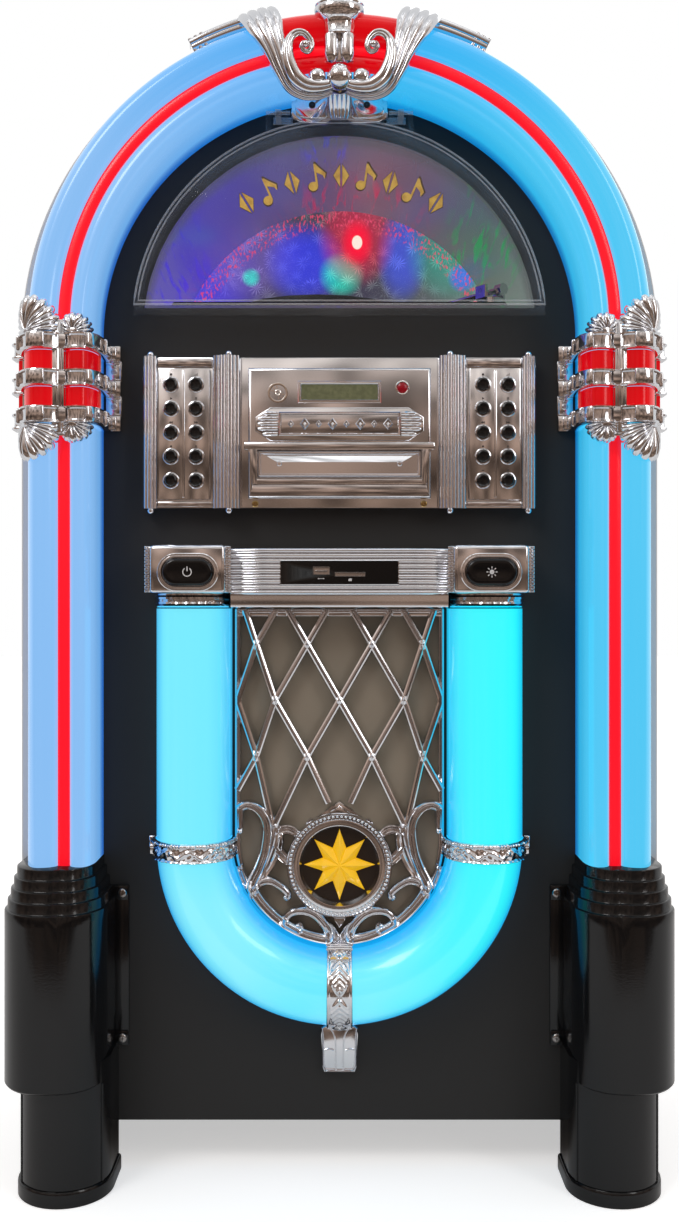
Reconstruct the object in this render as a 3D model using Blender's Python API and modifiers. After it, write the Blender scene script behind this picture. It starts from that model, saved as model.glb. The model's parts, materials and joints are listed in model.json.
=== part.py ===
"""A free-standing jukebox with light tubes, a disc drawer, twenty keys and a turntable behind a lift-up window.

Metres, +Z up. The front faces -Y, and the floor is Z = 0. Places in front of the cabinet are given
as (x, out, z), where out is the distance in front of the baffle's face.
"""

import math

import bmesh
import bpy
from mathutils import Matrix, Vector

# Clearances that many pieces share
SEAT_GAP = 0.0003
OVERRUN = 0.004
FUSE_DEPTH = 0.0008
MERGE_DISTANCE = 0.00001
SHARP_ANGLE = math.radians(35)
MITRE_SHARE = 0.3

# Cabinet
PLATTER_RADIUS = 0.086
PLATTER_FRONT_SPACE = 0.017
PLATTER_SETBACK = PLATTER_RADIUS + PLATTER_FRONT_SPACE
PLATTER_REAR_SPACE = 0.016
ALCOVE_DEPTH = PLATTER_SETBACK + PLATTER_RADIUS + PLATTER_REAR_SPACE
ALCOVE_REAR_SPACE = 0.027
BACK_REBATE = 0.004
CABINET_DEPTH = ALCOVE_DEPTH + ALCOVE_REAR_SPACE + BACK_REBATE
CABINET_HALF_WIDTH = 0.262
BOARD = 0.012
BACK_BOARD = 0.006
BASE_Z = 0.043
ARCH_Z = 0.735
ARCH_STEPS = 28
INLET_HALF_WIDTH = 0.014
INLET_HALF_HEIGHT = 0.010
INLET_Z = 0.110
INLET_WALL = 0.003
INLET_DEPTH = 0.016

# Widths of the disc unit: half widths and distances from the centre line, from its tray outwards
TRAY_HALF_WIDTH = 0.0703
HOOD_MARGIN = 0.0057
HOOD_FLARE = 0.0065
HOOD_HALF_WIDTH = TRAY_HALF_WIDTH + HOOD_MARGIN
HOOD_TOP_HALF_WIDTH = HOOD_HALF_WIDTH + HOOD_FLARE
CENTRE_MARGIN = 0.0092
CENTRE_HALF_WIDTH = TRAY_HALF_WIDTH + CENTRE_MARGIN
INNER_COLUMN_SPACE = 0.0190
INNER_COLUMN_X = CENTRE_HALF_WIDTH + INNER_COLUMN_SPACE
INNER_BALL_OFFSET = 0.0020
INNER_BALL_X = INNER_COLUMN_X - INNER_BALL_OFFSET
KEY_PANEL_SPACE = 0.0150
KEY_PANEL_INNER_X = INNER_COLUMN_X + KEY_PANEL_SPACE
KEY_PANEL_WIDTH = 0.0445
KEY_PANEL_OUTER_X = KEY_PANEL_INNER_X + KEY_PANEL_WIDTH
KEY_COLUMN_MARGIN = 0.0225
KEY_COLUMN_X = KEY_PANEL_INNER_X + KEY_COLUMN_MARGIN
OUTER_COLUMN_SPACE = 0.0072
OUTER_COLUMN_X = KEY_PANEL_OUTER_X + OUTER_COLUMN_SPACE
UNIT_MARGIN = 0.0068
UNIT_HALF_WIDTH = OUTER_COLUMN_X + UNIT_MARGIN

# Light tubes round the cabinet: radii from the arch's centre, which are also distances from the centre line
COLLAR_SPACE = 0.037
TUBE_INNER_RADIUS = UNIT_HALF_WIDTH + COLLAR_SPACE
INNER_LOBE_WIDTH = 0.019
STRIPE_WIDTH = 0.010
OUTER_LOBE_WIDTH = 0.029
TUBE_FLANGE_WIDTH = 0.012
STRIPE_RADIUS = TUBE_INNER_RADIUS + INNER_LOBE_WIDTH + STRIPE_WIDTH / 2
TUBE_OUTER_RADIUS = STRIPE_RADIUS + STRIPE_WIDTH / 2 + OUTER_LOBE_WIDTH
TUBE_FLANGE_RADIUS = TUBE_OUTER_RADIUS + TUBE_FLANGE_WIDTH
STRIPE_THICKNESS = 0.0035
STRIPE_WALL_SHARE = 0.6
STRIPE_CROWN_SHARES = (0.3, 0.25)
TUBE_WALL = 0.0025
INNER_LOBE_SPRING = 0.034
INNER_LOBE_TOP = 0.058
OUTER_LOBE_TOP = 0.060
OUTER_LOBE_SPRING = 0.028
VALLEY_DEPTH = 0.049
TUBE_FLANGE_THICKNESS = 0.011
LOBE_STEPS = 2
TUBE_ARCH_STEPS = 24
TUBE_FOOT_Z = 0.262
TUBE_JOINT_Z = 0.690

# Collars at the spring line
BAND_CLEARANCE = 0.0006
INSERT_THICKNESS = 0.0012
COLLAR_RING_PITCH = 0.0308
COLLAR_RING_HEIGHT = 0.0145
COLLAR_BASE_THICKNESS = 0.0045
COLLAR_BLOCK_THICKNESS = 0.0080
COLLAR_BLOCK_LENGTH = 0.0165
COLLAR_BLOCK_SPACE = 0.0095
COLLAR_BAR_WIDTH = 0.011
COLLAR_BAR_THICKNESS = 0.0065
COLLAR_BAR_OVERHANG = 0.012
COLLAR_LIP_WIDTH = 0.0145
COLLAR_LIP_THICKNESS = 0.0030
FAN_THICKNESS = 0.0055
FAN_RIBS = 5
OUTER_FAN_RADIUS = 0.033
INNER_FAN_RADIUS = 0.021
FAN_SPREAD = math.radians(150)
FAN_RIB_SHARE = 0.10

# Base shrouds and legs
SHROUD_REACH = 0.080
SHROUD_INNER_MARGIN = 0.011
SHROUD_OUTER_MARGIN = 0.006
SHROUD_INNER_X = TUBE_INNER_RADIUS - SHROUD_INNER_MARGIN
SHROUD_OUTER_X = TUBE_FLANGE_RADIUS + SHROUD_OUTER_MARGIN
SHROUD_FOOT_Z = 0.095
SHROUD_SHOULDER_Z = 0.243
SHROUD_CORNER = 0.034
SHROUD_BULGE = 0.006
SHROUD_EDGE_BEVEL = 0.0015
SHROUD_STEPS = 4
SHROUD_STEP_HEIGHT = 0.009
SHROUD_STEP_INSET = 0.0026
SHROUD_NOTCH = 0.006
SHROUD_FLANGE_WIDTH = 0.012
SHROUD_FLANGE_THICKNESS = 0.003
SHROUD_FLANGE_FOOT_Z = 0.110
LEG_INNER_OVERHANG = 0.0025
LEG_OUTER_SETBACK = 0.0125
LEG_INNER_X = SHROUD_INNER_X - LEG_INNER_OVERHANG
LEG_OUTER_X = SHROUD_OUTER_X - LEG_OUTER_SETBACK
LEG_REACH = 0.0735
LEG_TOP_Z = 0.215
LEG_GROOVE = 0.0012
LEG_NECK_INSET = 0.006
LEG_TRIM_ANGLE = math.radians(28)
FOOT_RING_HEIGHT = 0.014
FOOT_RING_LIP = 0.0022

# Window cover, its hinge and the alcove behind it
WINDOW_RADIUS = 0.180
WINDOW_CENTRE_Z = 0.741
WINDOW_SILL_Z = 0.759
WINDOW_REACH = 0.025
WINDOW_WALL = 0.0024
WINDOW_RIM_WIDTH = 0.0030
WINDOW_RIM_THICKNESS = 0.0028
WINDOW_STEPS = 20
TAB_WIDTH = 0.022
TAB_HEIGHT = 0.009
TAB_THICKNESS = 0.004
HINGE_Z = 0.9275
HINGE_OUT = 0.020
HINGE_LUG_X = 0.0535
HINGE_LUG_WIDTH = 0.0040
HINGE_LUG_SPACING = 0.0170
HINGE_LUG_RADIUS = 0.0042
HINGE_PIN_RADIUS = 0.0016
HINGE_PIN_CLEARANCE = 0.0005
HINGE_PLATE_THICKNESS = 0.002
HINGE_PLATE_HEIGHT = 0.0060
HINGE_ARM_WIDTH = 0.0050
ALCOVE_RADIUS = 0.172
ALCOVE_FLOOR_Z = 0.765
ALCOVE_WALL = 0.0022

# Turntable
PLINTH_HEIGHT = 0.006
PLINTH_HALF_WIDTH = 0.150
PLINTH_FRONT_SETBACK = 0.012
PLINTH_REAR_SPACE = 0.013
PLINTH_BACK_SETBACK = ALCOVE_DEPTH - PLINTH_REAR_SPACE
PLATTER_X = -0.020
PLATTER_HEIGHT = 0.006
PLATTER_CLEARANCE = 0.002
PLATTER_RIM = 0.004
PLATTER_MAT_SINK = 0.0015
BEARING_RADIUS = 0.012
SPINDLE_RADIUS = 0.0036
SPINDLE_HEIGHT = 0.008
SPINDLE_CONE = 0.003
SPINDLE_TIP_SHARE = 0.4
ARM_PIVOT_X = 0.141
ARM_PIVOT_SETBACK = 0.060
ARM_BASE_RADIUS = 0.0125
ARM_BASE_HEIGHT = 0.013
ARM_YOKE_WIDTH = 0.026
ARM_YOKE_WALL = 0.003
ARM_YOKE_HEIGHT = 0.012
ARM_YOKE_DEPTH = 0.014
ARM_SLOT_FLOOR = 0.0015
ARM_PIN_RADIUS = 0.0015
ARM_RADIUS = 0.0030
ARM_LENGTH = 0.150
ARM_AXIS_RISE = 0.007
ARM_REST_ANGLE = math.radians(53.5)
HEADSHELL_LENGTH = 0.030
HEADSHELL_WIDTH = 0.015
HEADSHELL_HEIGHT = 0.005
COUNTERWEIGHT_RADIUS = 0.0055
COUNTERWEIGHT_LENGTH = 0.008
COUNTERWEIGHT_REACH = 0.018
HEADSHELL_DROP = 0.0015

# Disc unit
UNIT_LOW_Z = 0.584
UNIT_HIGH_Z = 0.716
UNIT_PLATE = 0.014
UNIT_EDGE = 0.0012
KEY_PANEL_LOW_Z = 0.591
KEY_PANEL_HIGH_Z = 0.706
KEY_PANEL_OUT = 0.018
KEY_COLUMN_SPACING = 0.0218
KEY_TOP_Z = 0.6915
KEY_PITCH = 0.0209
KEY_ROWS = 5
KEY_RADIUS = 0.0052
KEY_PROUD = 0.0042
KEY_TRAVEL = 0.0015
KEY_BACK_ROOM = 0.0015
KEY_SIDES = 8
KEY_BEVEL = 0.0012
OUTER_COLUMN_WIDTH = 0.0125
OUTER_COLUMN_OUT = 0.021
OUTER_COLUMN_FLUTES = 3
INNER_COLUMN_WIDTH = 0.0245
INNER_COLUMN_OUT = 0.027
INNER_COLUMN_FLUTES = 6
COLUMN_LOW_Z = 0.583
COLUMN_HIGH_Z = 0.717
BALL_RADIUS = 0.0034
BALL_RISE = 0.0015
CENTRE_LOW_Z = 0.592
CENTRE_HIGH_Z = 0.7055
CENTRE_OUT = 0.0235
DISPLAY_HALF_WIDTH = 0.0360
DISPLAY_LOW_Z = 0.6745
DISPLAY_HIGH_Z = 0.6935
DISPLAY_FRAME = 0.0025
DISPLAY_FRAME_HEIGHT = 0.0016
DISPLAY_SINK = 0.0012
DISPLAY_THICKNESS = 0.0030
SENSOR_X = 0.0545
SENSOR_Z = 0.688
SENSOR_RADIUS = 0.0048
SENSOR_DEPTH = 0.0060
SENSOR_DOME = 0.0016
LENS_SHARES = (0.7, 0.5)
PLATE_HALF_WIDTH = 0.0730
PLATE_TOP_HALF_WIDTH = 0.0600
PLATE_END_HALF_HEIGHT = 0.0060
PLATE_LOW_Z = 0.6415
PLATE_HIGH_Z = 0.6705
PLATE_HEIGHT = 0.0045
PLATE_WINDOW_HALF_WIDTH = 0.0525
PLATE_WINDOW_HALF_HEIGHT = 0.0095
PLATE_WINDOW_SINK = 0.0015
HOOD_LOW_Z = 0.6035
HOOD_HIGH_Z = 0.6400
HOOD_REACH = 0.0060
TRAY_LOW_Z = 0.6100
TRAY_HIGH_Z = 0.6325
TRAY_CLEARANCE = 0.0008
TRAY_FACE_SINK = 0.0015
TRAY_FACE_THICKNESS = 0.0050
TRAY_PIN_X = 0.0520
TRAY_PIN_RADIUS = 0.0016
TRAY_PIN_HEIGHT = 0.0012
TRAY_BED_HALF_WIDTH = 0.0655
TRAY_BED_THICKNESS = 0.0090
TRAY_BED_RISE = 0.0035
TRAY_LENGTH = 0.150
DISC_RADIUS = 0.0610
DISC_RECESS = 0.0055
DECK_WALL = 0.0018
DECK_LENGTH = 0.172
DECK_FLANGE = 0.008

# Control bar
BAR_HALF_WIDTH = 0.0930
BAR_LOW_Z = 0.5080
BAR_HIGH_Z = 0.5480
BAR_REACH = 0.046
BAR_RIBS = 8
BAR_BAND_LOW_Z = 0.4965
BAR_BAND_REACH = 0.040
POD_INNER_X = 0.0920
POD_OUTER_X = 0.1640
POD_HIGH_Z = 0.5500
POD_LOW_Z = 0.5090
POD_REACH = 0.058
POD_CORNER = 0.008
POD_BAND_LOW_Z = 0.4970
POD_BAND_REACH = 0.0535
OVAL_X = 0.1275
OVAL_Z = 0.5270
OVAL_HALF_WIDTH = 0.0213
OVAL_HALF_HEIGHT = 0.0113
OVAL_PROUD = 0.0045
OVAL_DEPTH = 0.014
OVAL_TRAVEL = 0.0030
OVAL_RIM = 0.0026
OVAL_RIM_HEIGHT = 0.0022
OVAL_BEVEL = 0.0018
PORT_HALF_WIDTH = 0.0500
PORT_LOW_Z = 0.5170
PORT_HIGH_Z = 0.5368
PORT_SINK = 0.0010
PORT_THICKNESS = 0.0160
USB_X = -0.0155
USB_Z = 0.5285
USB_HALF_WIDTH = 0.0066
USB_HALF_HEIGHT = 0.0029
USB_DEPTH = 0.0120
CARD_X = 0.0090
CARD_Z = 0.5255
CARD_HALF_WIDTH = 0.0125
CARD_HALF_HEIGHT = 0.0014
CARD_DEPTH = 0.0120

# U-shaped tube and its clips
U_INNER_RADIUS = 0.0950
U_WIDTH = 0.0650
U_OUTER_RADIUS = U_INNER_RADIUS + U_WIDTH
U_CENTRE_Z = 0.2925
U_TOP_Z = 0.4965
U_REACH = 0.045
U_SPRING = 0.012
U_WALL = 0.0025
U_SECTION_STEPS = 6
U_BEND_STEPS = 18
CLIP_Z = 0.2875
CLIP_HEIGHT = 0.0175
CLIP_THICKNESS = 0.0022
CLIP_CLEARANCE = 0.0005
CLIP_EAR = 0.005

# Grille, medallion, mesh and loudspeaker
GRILLE_CLEARANCE = 0.0032
GRILLE_TOP_CLEARANCE = 0.0005
GRILLE_HALF_WIDTH = U_INNER_RADIUS - GRILLE_CLEARANCE
GRILLE_TOP_Z = U_TOP_Z - GRILLE_TOP_CLEARANCE
GRILLE_BACK = 0.0021
GRILLE_RAIL_WIDTH = 0.0050
GRILLE_RAIL_THICKNESS = 0.0090
LATTICE_OUT = 0.0105
LATTICE_RADIUS = 0.0024
LATTICE_TOP_ROW_Z = 0.465
LATTICE_ROW_PITCH = 0.0492
LATTICE_HALF_PITCH = 0.0283
SCROLL_OUT = 0.0110
SCROLL_RADIUS = 0.0038
SCROLL_BAR_SHARE = 0.75
LAYER_STEP = 0.0002
MEDALLION_Z = 0.2710
MEDALLION_RADIUS = 0.0440
MEDALLION_INNER_RADIUS = 0.0335
MEDALLION_OUT = 0.0150
MEDALLION_DISC = 0.0050
MEDALLION_BEVEL = 0.0025
CREST_WIDTH = 0.030
CREST_HEIGHT = 0.012
STAR_RADIUS = 0.0290
STAR_ROOT_RADIUS = 0.0150
STAR_POINTS = 8
STAR_RISE = 0.0060
STAR_EDGE = 0.0016
STRAP_HALF_WIDTH = 0.0112
STRAP_THICKNESS = 0.0040
STRAP_CLEARANCE = 0.0005
STRAP_CUT_STEPS = 2
TAIL_HALF_WIDTH = 0.0168
TAIL_DROP = 0.0040
TAIL_LENGTH = 0.0425
TAIL_HIGH_Z = U_CENTRE_Z - U_OUTER_RADIUS - TAIL_DROP
TAIL_LOW_Z = TAIL_HIGH_Z - TAIL_LENGTH
TAIL_THICKNESS = 0.0075
TAIL_BEVEL = 0.0015
MESH_THICKNESS = 0.0015
SPEAKER_Z = 0.370
SPEAKER_RADIUS = 0.0760
SPEAKER_FLANGE_RADIUS = 0.0860
SPEAKER_FLANGE = 0.0040
SPEAKER_DEPTH = 0.0620
SPEAKER_MAGNET_RADIUS = 0.0380
SPEAKER_MAGNET_DEPTH = 0.0200
SPEAKER_NECK_RADIUS = 0.0300
SPEAKER_CAP_RADIUS = 0.0200
SPEAKER_SURROUND = 0.0100
SPEAKER_CONE_DEPTH = 0.0280
SPEAKER_CAP_SHARE = 0.7
SPEAKER_ROLL_SHARES = (1.4, 0.8, 0.2)

# Crown
CROWN_INSERT_ANGLE = math.radians(15)
CROWN_FOOT_HALF_WIDTH = 0.0430
CROWN_FOOT_DROP = 0.0170
CROWN_FOOT_HEIGHT = 0.0350
CROWN_FOOT_LOW_Z = ARCH_Z + TUBE_INNER_RADIUS - CROWN_FOOT_DROP
CROWN_FOOT_HIGH_Z = CROWN_FOOT_LOW_Z + CROWN_FOOT_HEIGHT
CROWN_FOOT_PLATE_OUT = 0.0180
CROWN_BALL_RADIUS = 0.0082
CROWN_BALL_OUT = 0.0660
CROWN_BALL_RISE = 0.0030
CROWN_BALL_Z = ARCH_Z + TUBE_INNER_RADIUS + CROWN_BALL_RISE
CROWN_CAP_HALF_WIDTH = 0.0215
CROWN_CAP_BACK_SHARE = 0.8
CROWN_TOP_RISE = 0.0065
CROWN_TOP_Z = ARCH_Z + TUBE_FLANGE_RADIUS + CROWN_TOP_RISE
CROWN_COLUMN_RADIUS = 0.0125
CROWN_COLUMN_OUT = 0.0520
CROWN_CAP_HEIGHT = 0.0300
CROWN_CUT_ANGLE = math.radians(37.5)
CROWN_RIDGE_ANGLE = 2.1
CROWN_RIDGE_SHARE = 0.70
CROWN_SCROLL_RADIUS = 0.0065
CROWN_WING_RADIUS = 0.0072

BAFFLE_Y = (SHROUD_REACH - CABINET_DEPTH) / 2

# Colour, roughness, metallic and glow of each finish
FINISHES = {
    "black_vinyl": ((0.012, 0.012, 0.014), 0.45, 0.0, 0.0),
    "black_plastic": ((0.020, 0.018, 0.017), 0.35, 0.0, 0.0),
    "dark_board": ((0.060, 0.045, 0.035), 0.70, 0.0, 0.0),
    "chrome": ((0.72, 0.68, 0.64), 0.12, 1.0, 0.0),
    "blue_light": ((0.20, 0.62, 1.00), 0.30, 0.0, 1.0),
    "cyan_light": ((0.10, 0.85, 1.00), 0.30, 0.0, 1.0),
    "red_light": ((0.85, 0.00, 0.02), 0.30, 0.0, 0.8),
    "clear": ((0.80, 0.85, 0.90), 0.05, 0.0, 0.0),
    "foil": ((0.35, 0.30, 0.60), 0.20, 0.8, 0.0),
    "display": ((0.20, 0.22, 0.15), 0.25, 0.0, 0.0),
    "red_lens": ((0.60, 0.01, 0.01), 0.15, 0.0, 0.0),
    "gold": ((0.90, 0.55, 0.03), 0.30, 0.0, 0.0),
    "woven_mesh": ((0.06, 0.055, 0.05), 0.60, 0.3, 0.0),
    "rubber": ((0.02, 0.02, 0.02), 0.80, 0.0, 0.0),
}


def clear_scene():
    for obj in list(bpy.data.objects):
        bpy.data.objects.remove(obj, do_unlink=True)


def new_collection(name, hidden=False):
    collection = bpy.data.collections.new(name)
    collection.hide_render = hidden
    bpy.context.scene.collection.children.link(collection)
    return collection


def new_material(name):
    colour, roughness, metallic, glow = FINISHES[name]
    material = bpy.data.materials.new(name)
    material.use_nodes = True
    shader = material.node_tree.nodes["Principled BSDF"]
    shader.inputs["Base Color"].default_value = (*colour, 1.0)
    shader.inputs["Roughness"].default_value = roughness
    shader.inputs["Metallic"].default_value = metallic
    shader.inputs["Emission Color"].default_value = (*colour, 1.0)
    shader.inputs["Emission Strength"].default_value = glow
    material.diffuse_color = (*colour, 1.0)
    return material


clear_scene()
PARTS = new_collection("jukebox")
HELPERS = new_collection("jukebox_helpers", hidden=True)


def at(x, out, z):
    """The world point at this distance in front of the baffle's face."""
    return Vector((x, BAFFLE_Y - out, z))


def node(name, shape, finish, pivot=None):
    """One piece from a bmesh in world places, with its origin on pivot."""
    pivot = pivot or Vector()
    bmesh.ops.remove_doubles(shape, verts=shape.verts, dist=MERGE_DISTANCE)
    bmesh.ops.recalc_face_normals(shape, faces=shape.faces)
    bmesh.ops.translate(shape, verts=shape.verts, vec=-pivot)
    mesh = bpy.data.meshes.new(name)
    shape.to_mesh(mesh)
    shape.free()
    mesh.materials.append(new_material(finish))
    mesh.shade_smooth()
    mesh.set_sharp_from_angle(angle=SHARP_ANGLE)
    piece = bpy.data.objects.new(name, mesh)
    piece.location = pivot
    PARTS.objects.link(piece)
    return piece


def helper(shape):
    """A hidden helper object that holds a bmesh while a modifier works on it."""
    bmesh.ops.remove_doubles(shape, verts=shape.verts, dist=MERGE_DISTANCE)
    bmesh.ops.recalc_face_normals(shape, faces=shape.faces)
    mesh = bpy.data.meshes.new("helper")
    shape.to_mesh(mesh)
    shape.free()
    piece = bpy.data.objects.new("helper", mesh)
    piece.hide_render = True
    piece.display_type = "WIRE"
    HELPERS.objects.link(piece)
    return piece


def evaluated(piece, matrix=None):
    """The bmesh of an object with its modifiers applied, and the object removed."""
    graph = bpy.context.evaluated_depsgraph_get()
    mesh = bpy.data.meshes.new_from_object(piece.evaluated_get(graph))
    shape = bmesh.new()
    shape.from_mesh(mesh)
    shape.transform(matrix or piece.matrix_world)
    bpy.data.objects.remove(piece, do_unlink=True)
    bpy.data.meshes.remove(mesh)
    bmesh.ops.remove_doubles(shape, verts=shape.verts, dist=MERGE_DISTANCE)
    return shape


def combined(base, others, operation):
    """The Boolean of a closed shape with each of the others, one after the other."""
    body = helper(base)
    tools = [helper(other) for other in others]
    for tool in tools:
        step = body.modifiers.new(operation.lower(), "BOOLEAN")
        step.operation = operation
        step.solver = "EXACT"
        step.object = tool
    shape = evaluated(body)
    for tool in tools:
        bpy.data.objects.remove(tool, do_unlink=True)
    return shape


def joined(*shapes):
    return combined(shapes[0], shapes[1:], "UNION")


def cut(base, *cutters):
    return combined(base, cutters, "DIFFERENCE")


def mirrored(shape):
    """A copy of the shape on the other side of the centre plane."""
    other = shape.copy()
    other.transform(Matrix.Scale(-1, 4, Vector((1, 0, 0))))
    bmesh.ops.reverse_faces(other, faces=other.faces)
    return other


def box(x_low, x_high, out_low, out_high, z_low, z_high):
    """A block given by its limits to the right, in front of the baffle and up."""
    shape = bmesh.new()
    bmesh.ops.create_cube(shape, size=1.0)
    centre = at((x_low + x_high) / 2, (out_low + out_high) / 2, (z_low + z_high) / 2)
    size = Matrix.Diagonal((x_high - x_low, out_high - out_low, z_high - z_low, 1))
    shape.transform(Matrix.Translation(centre) @ size)
    return shape


def flat_curve(outlines, thickness):
    """A filled 2D curve through closed outlines, the first outside and the rest as holes."""
    curve = bpy.data.curves.new("outline", "CURVE")
    curve.dimensions = "2D"
    curve.fill_mode = "BOTH"
    curve.extrude = thickness / 2
    for outline in outlines:
        spline = curve.splines.new("POLY")
        spline.points.add(len(outline) - 1)
        for point, (across, up) in zip(spline.points, outline):
            point.co = (across, up, 0, 1)
        spline.use_cyclic_u = True
    piece = bpy.data.objects.new("outline", curve)
    HELPERS.objects.link(piece)
    return piece


def plate(outlines, out_low, out_high):
    """A plate parallel to the baffle, with outlines of (x, z) points."""
    stand = Matrix(((1, 0, 0, 0), (0, 0, -1, 0), (0, 1, 0, 0), (0, 0, 0, 1)))
    place = Matrix.Translation(at(0, (out_low + out_high) / 2, 0))
    return evaluated(flat_curve(outlines, out_high - out_low), place @ stand)


def prism(outlines, z_low, z_high):
    """An upright solid, with outlines of (x, out) points seen from above."""
    turn = Matrix(((1, 0, 0, 0), (0, -1, 0, 0), (0, 0, 1, 0), (0, 0, 0, 1)))
    place = Matrix.Translation(at(0, 0, (z_low + z_high) / 2))
    shape = evaluated(flat_curve(outlines, z_high - z_low), place @ turn)
    bmesh.ops.recalc_face_normals(shape, faces=shape.faces)
    return shape


def beam(outlines, x_low, x_high):
    """A solid that runs from side to side, with outlines of (out, z) points."""
    lay = Matrix(((0, 0, 1, 0), (-1, 0, 0, 0), (0, 1, 0, 0), (0, 0, 0, 1)))
    place = Matrix.Translation(at((x_low + x_high) / 2, 0, 0))
    shape = evaluated(flat_curve(outlines, x_high - x_low), place @ lay)
    bmesh.ops.recalc_face_normals(shape, faces=shape.faces)
    return shape


def turned(profile, place, steps=32):
    """A body turned about its own Z axis from (radius, height) points, top to bottom, then placed."""
    mesh = bpy.data.meshes.new("profile")
    points = [(radius, 0, height) for radius, height in profile]
    mesh.from_pydata(points, [(i, i + 1) for i in range(len(points) - 1)], [])
    piece = bpy.data.objects.new("profile", mesh)
    HELPERS.objects.link(piece)
    screw = piece.modifiers.new("turn", "SCREW")
    screw.steps = steps
    screw.render_steps = steps
    screw.use_merge_vertices = True
    screw.merge_threshold = MERGE_DISTANCE
    shape = evaluated(piece, place)
    bmesh.ops.recalc_face_normals(shape, faces=shape.faces)
    return shape


def forward(x, out, z):
    """A placement whose Z axis points to the front."""
    return Matrix.Translation(at(x, out, z)) @ Matrix.Rotation(math.radians(90), 4, "X")


def upward(x, out, z):
    return Matrix.Translation(at(x, out, z))


def ball(x, out, z, radius, segments=10, rings=6):
    shape = bmesh.new()
    bmesh.ops.create_uvsphere(shape, u_segments=segments, v_segments=rings, radius=radius)
    shape.transform(Matrix.Translation(at(x, out, z)))
    return shape


def rod(points, radius, sides_step=1, tapers=None):
    """A round bar along world points, with its radius times each point's taper."""
    curve = bpy.data.curves.new("rod", "CURVE")
    curve.dimensions = "3D"
    curve.bevel_depth = radius
    curve.bevel_resolution = sides_step
    curve.use_fill_caps = True
    spline = curve.splines.new("POLY")
    spline.points.add(len(points) - 1)
    for i, (point, place) in enumerate(zip(spline.points, points)):
        point.co = (*place, 1)
        point.radius = tapers[i] if tapers else 1.0
    piece = bpy.data.objects.new("rod", curve)
    HELPERS.objects.link(piece)
    shape = evaluated(piece)
    bmesh.ops.recalc_face_normals(shape, faces=shape.faces)
    return shape


def shell(shape, thickness):
    """An open surface with its wall added behind its faces."""
    body = helper_open(shape)
    wall = body.modifiers.new("wall", "SOLIDIFY")
    wall.thickness = thickness
    wall.offset = -1
    wall.use_even_offset = True
    return evaluated(body)


def helper_open(shape):
    """Like helper, for a surface whose faces already point the right way."""
    mesh = bpy.data.meshes.new("helper")
    shape.to_mesh(mesh)
    shape.free()
    piece = bpy.data.objects.new("helper", mesh)
    HELPERS.objects.link(piece)
    return piece


def bevelled(shape, width, segments=1, angle=math.radians(40)):
    body = helper(shape)
    edge = body.modifiers.new("edge", "BEVEL")
    edge.width = width
    edge.segments = segments
    edge.limit_method = "ANGLE"
    edge.angle_limit = angle
    return evaluated(body)


def arc(centre, radius, start, end, steps, squash=1.0):
    """Points on an arc from one angle to another, in degrees from the right, anticlockwise."""
    points = []
    for i in range(steps + 1):
        angle = math.radians(start + (end - start) * i / steps)
        points.append((centre[0] + radius * math.cos(angle), centre[1] + squash * radius * math.sin(angle)))
    return points


def arch_outline(radius, foot_z, inset=0.0):
    """Upright sides and a half-round top about the arch's centre."""
    reach = radius - inset
    return [(reach, foot_z), *arc((0, ARCH_Z), reach, 0, 180, ARCH_STEPS), (-reach, foot_z)]


def bowl_outline(radius, centre_z, sill_z, steps):
    """The part of a disc above a straight sill."""
    start = math.degrees(math.asin((sill_z - centre_z) / radius))
    return arc((0, centre_z), radius, start, 180 - start, steps)


def rectangle(x_low, x_high, z_low, z_high):
    return [(x_low, z_low), (x_high, z_low), (x_high, z_high), (x_low, z_high)]


def circle(x, z, radius, steps=32):
    return arc((x, z), radius, 0, 360 - 360 / steps, steps - 1)


def window_outline(inset=0.0):
    return bowl_outline(WINDOW_RADIUS - inset, WINDOW_CENTRE_Z, WINDOW_SILL_Z + inset, WINDOW_STEPS)


def alcove_outline(grow=0.0):
    return bowl_outline(ALCOVE_RADIUS + grow, WINDOW_CENTRE_Z, ALCOVE_FLOOR_Z - grow, WINDOW_STEPS)


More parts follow.
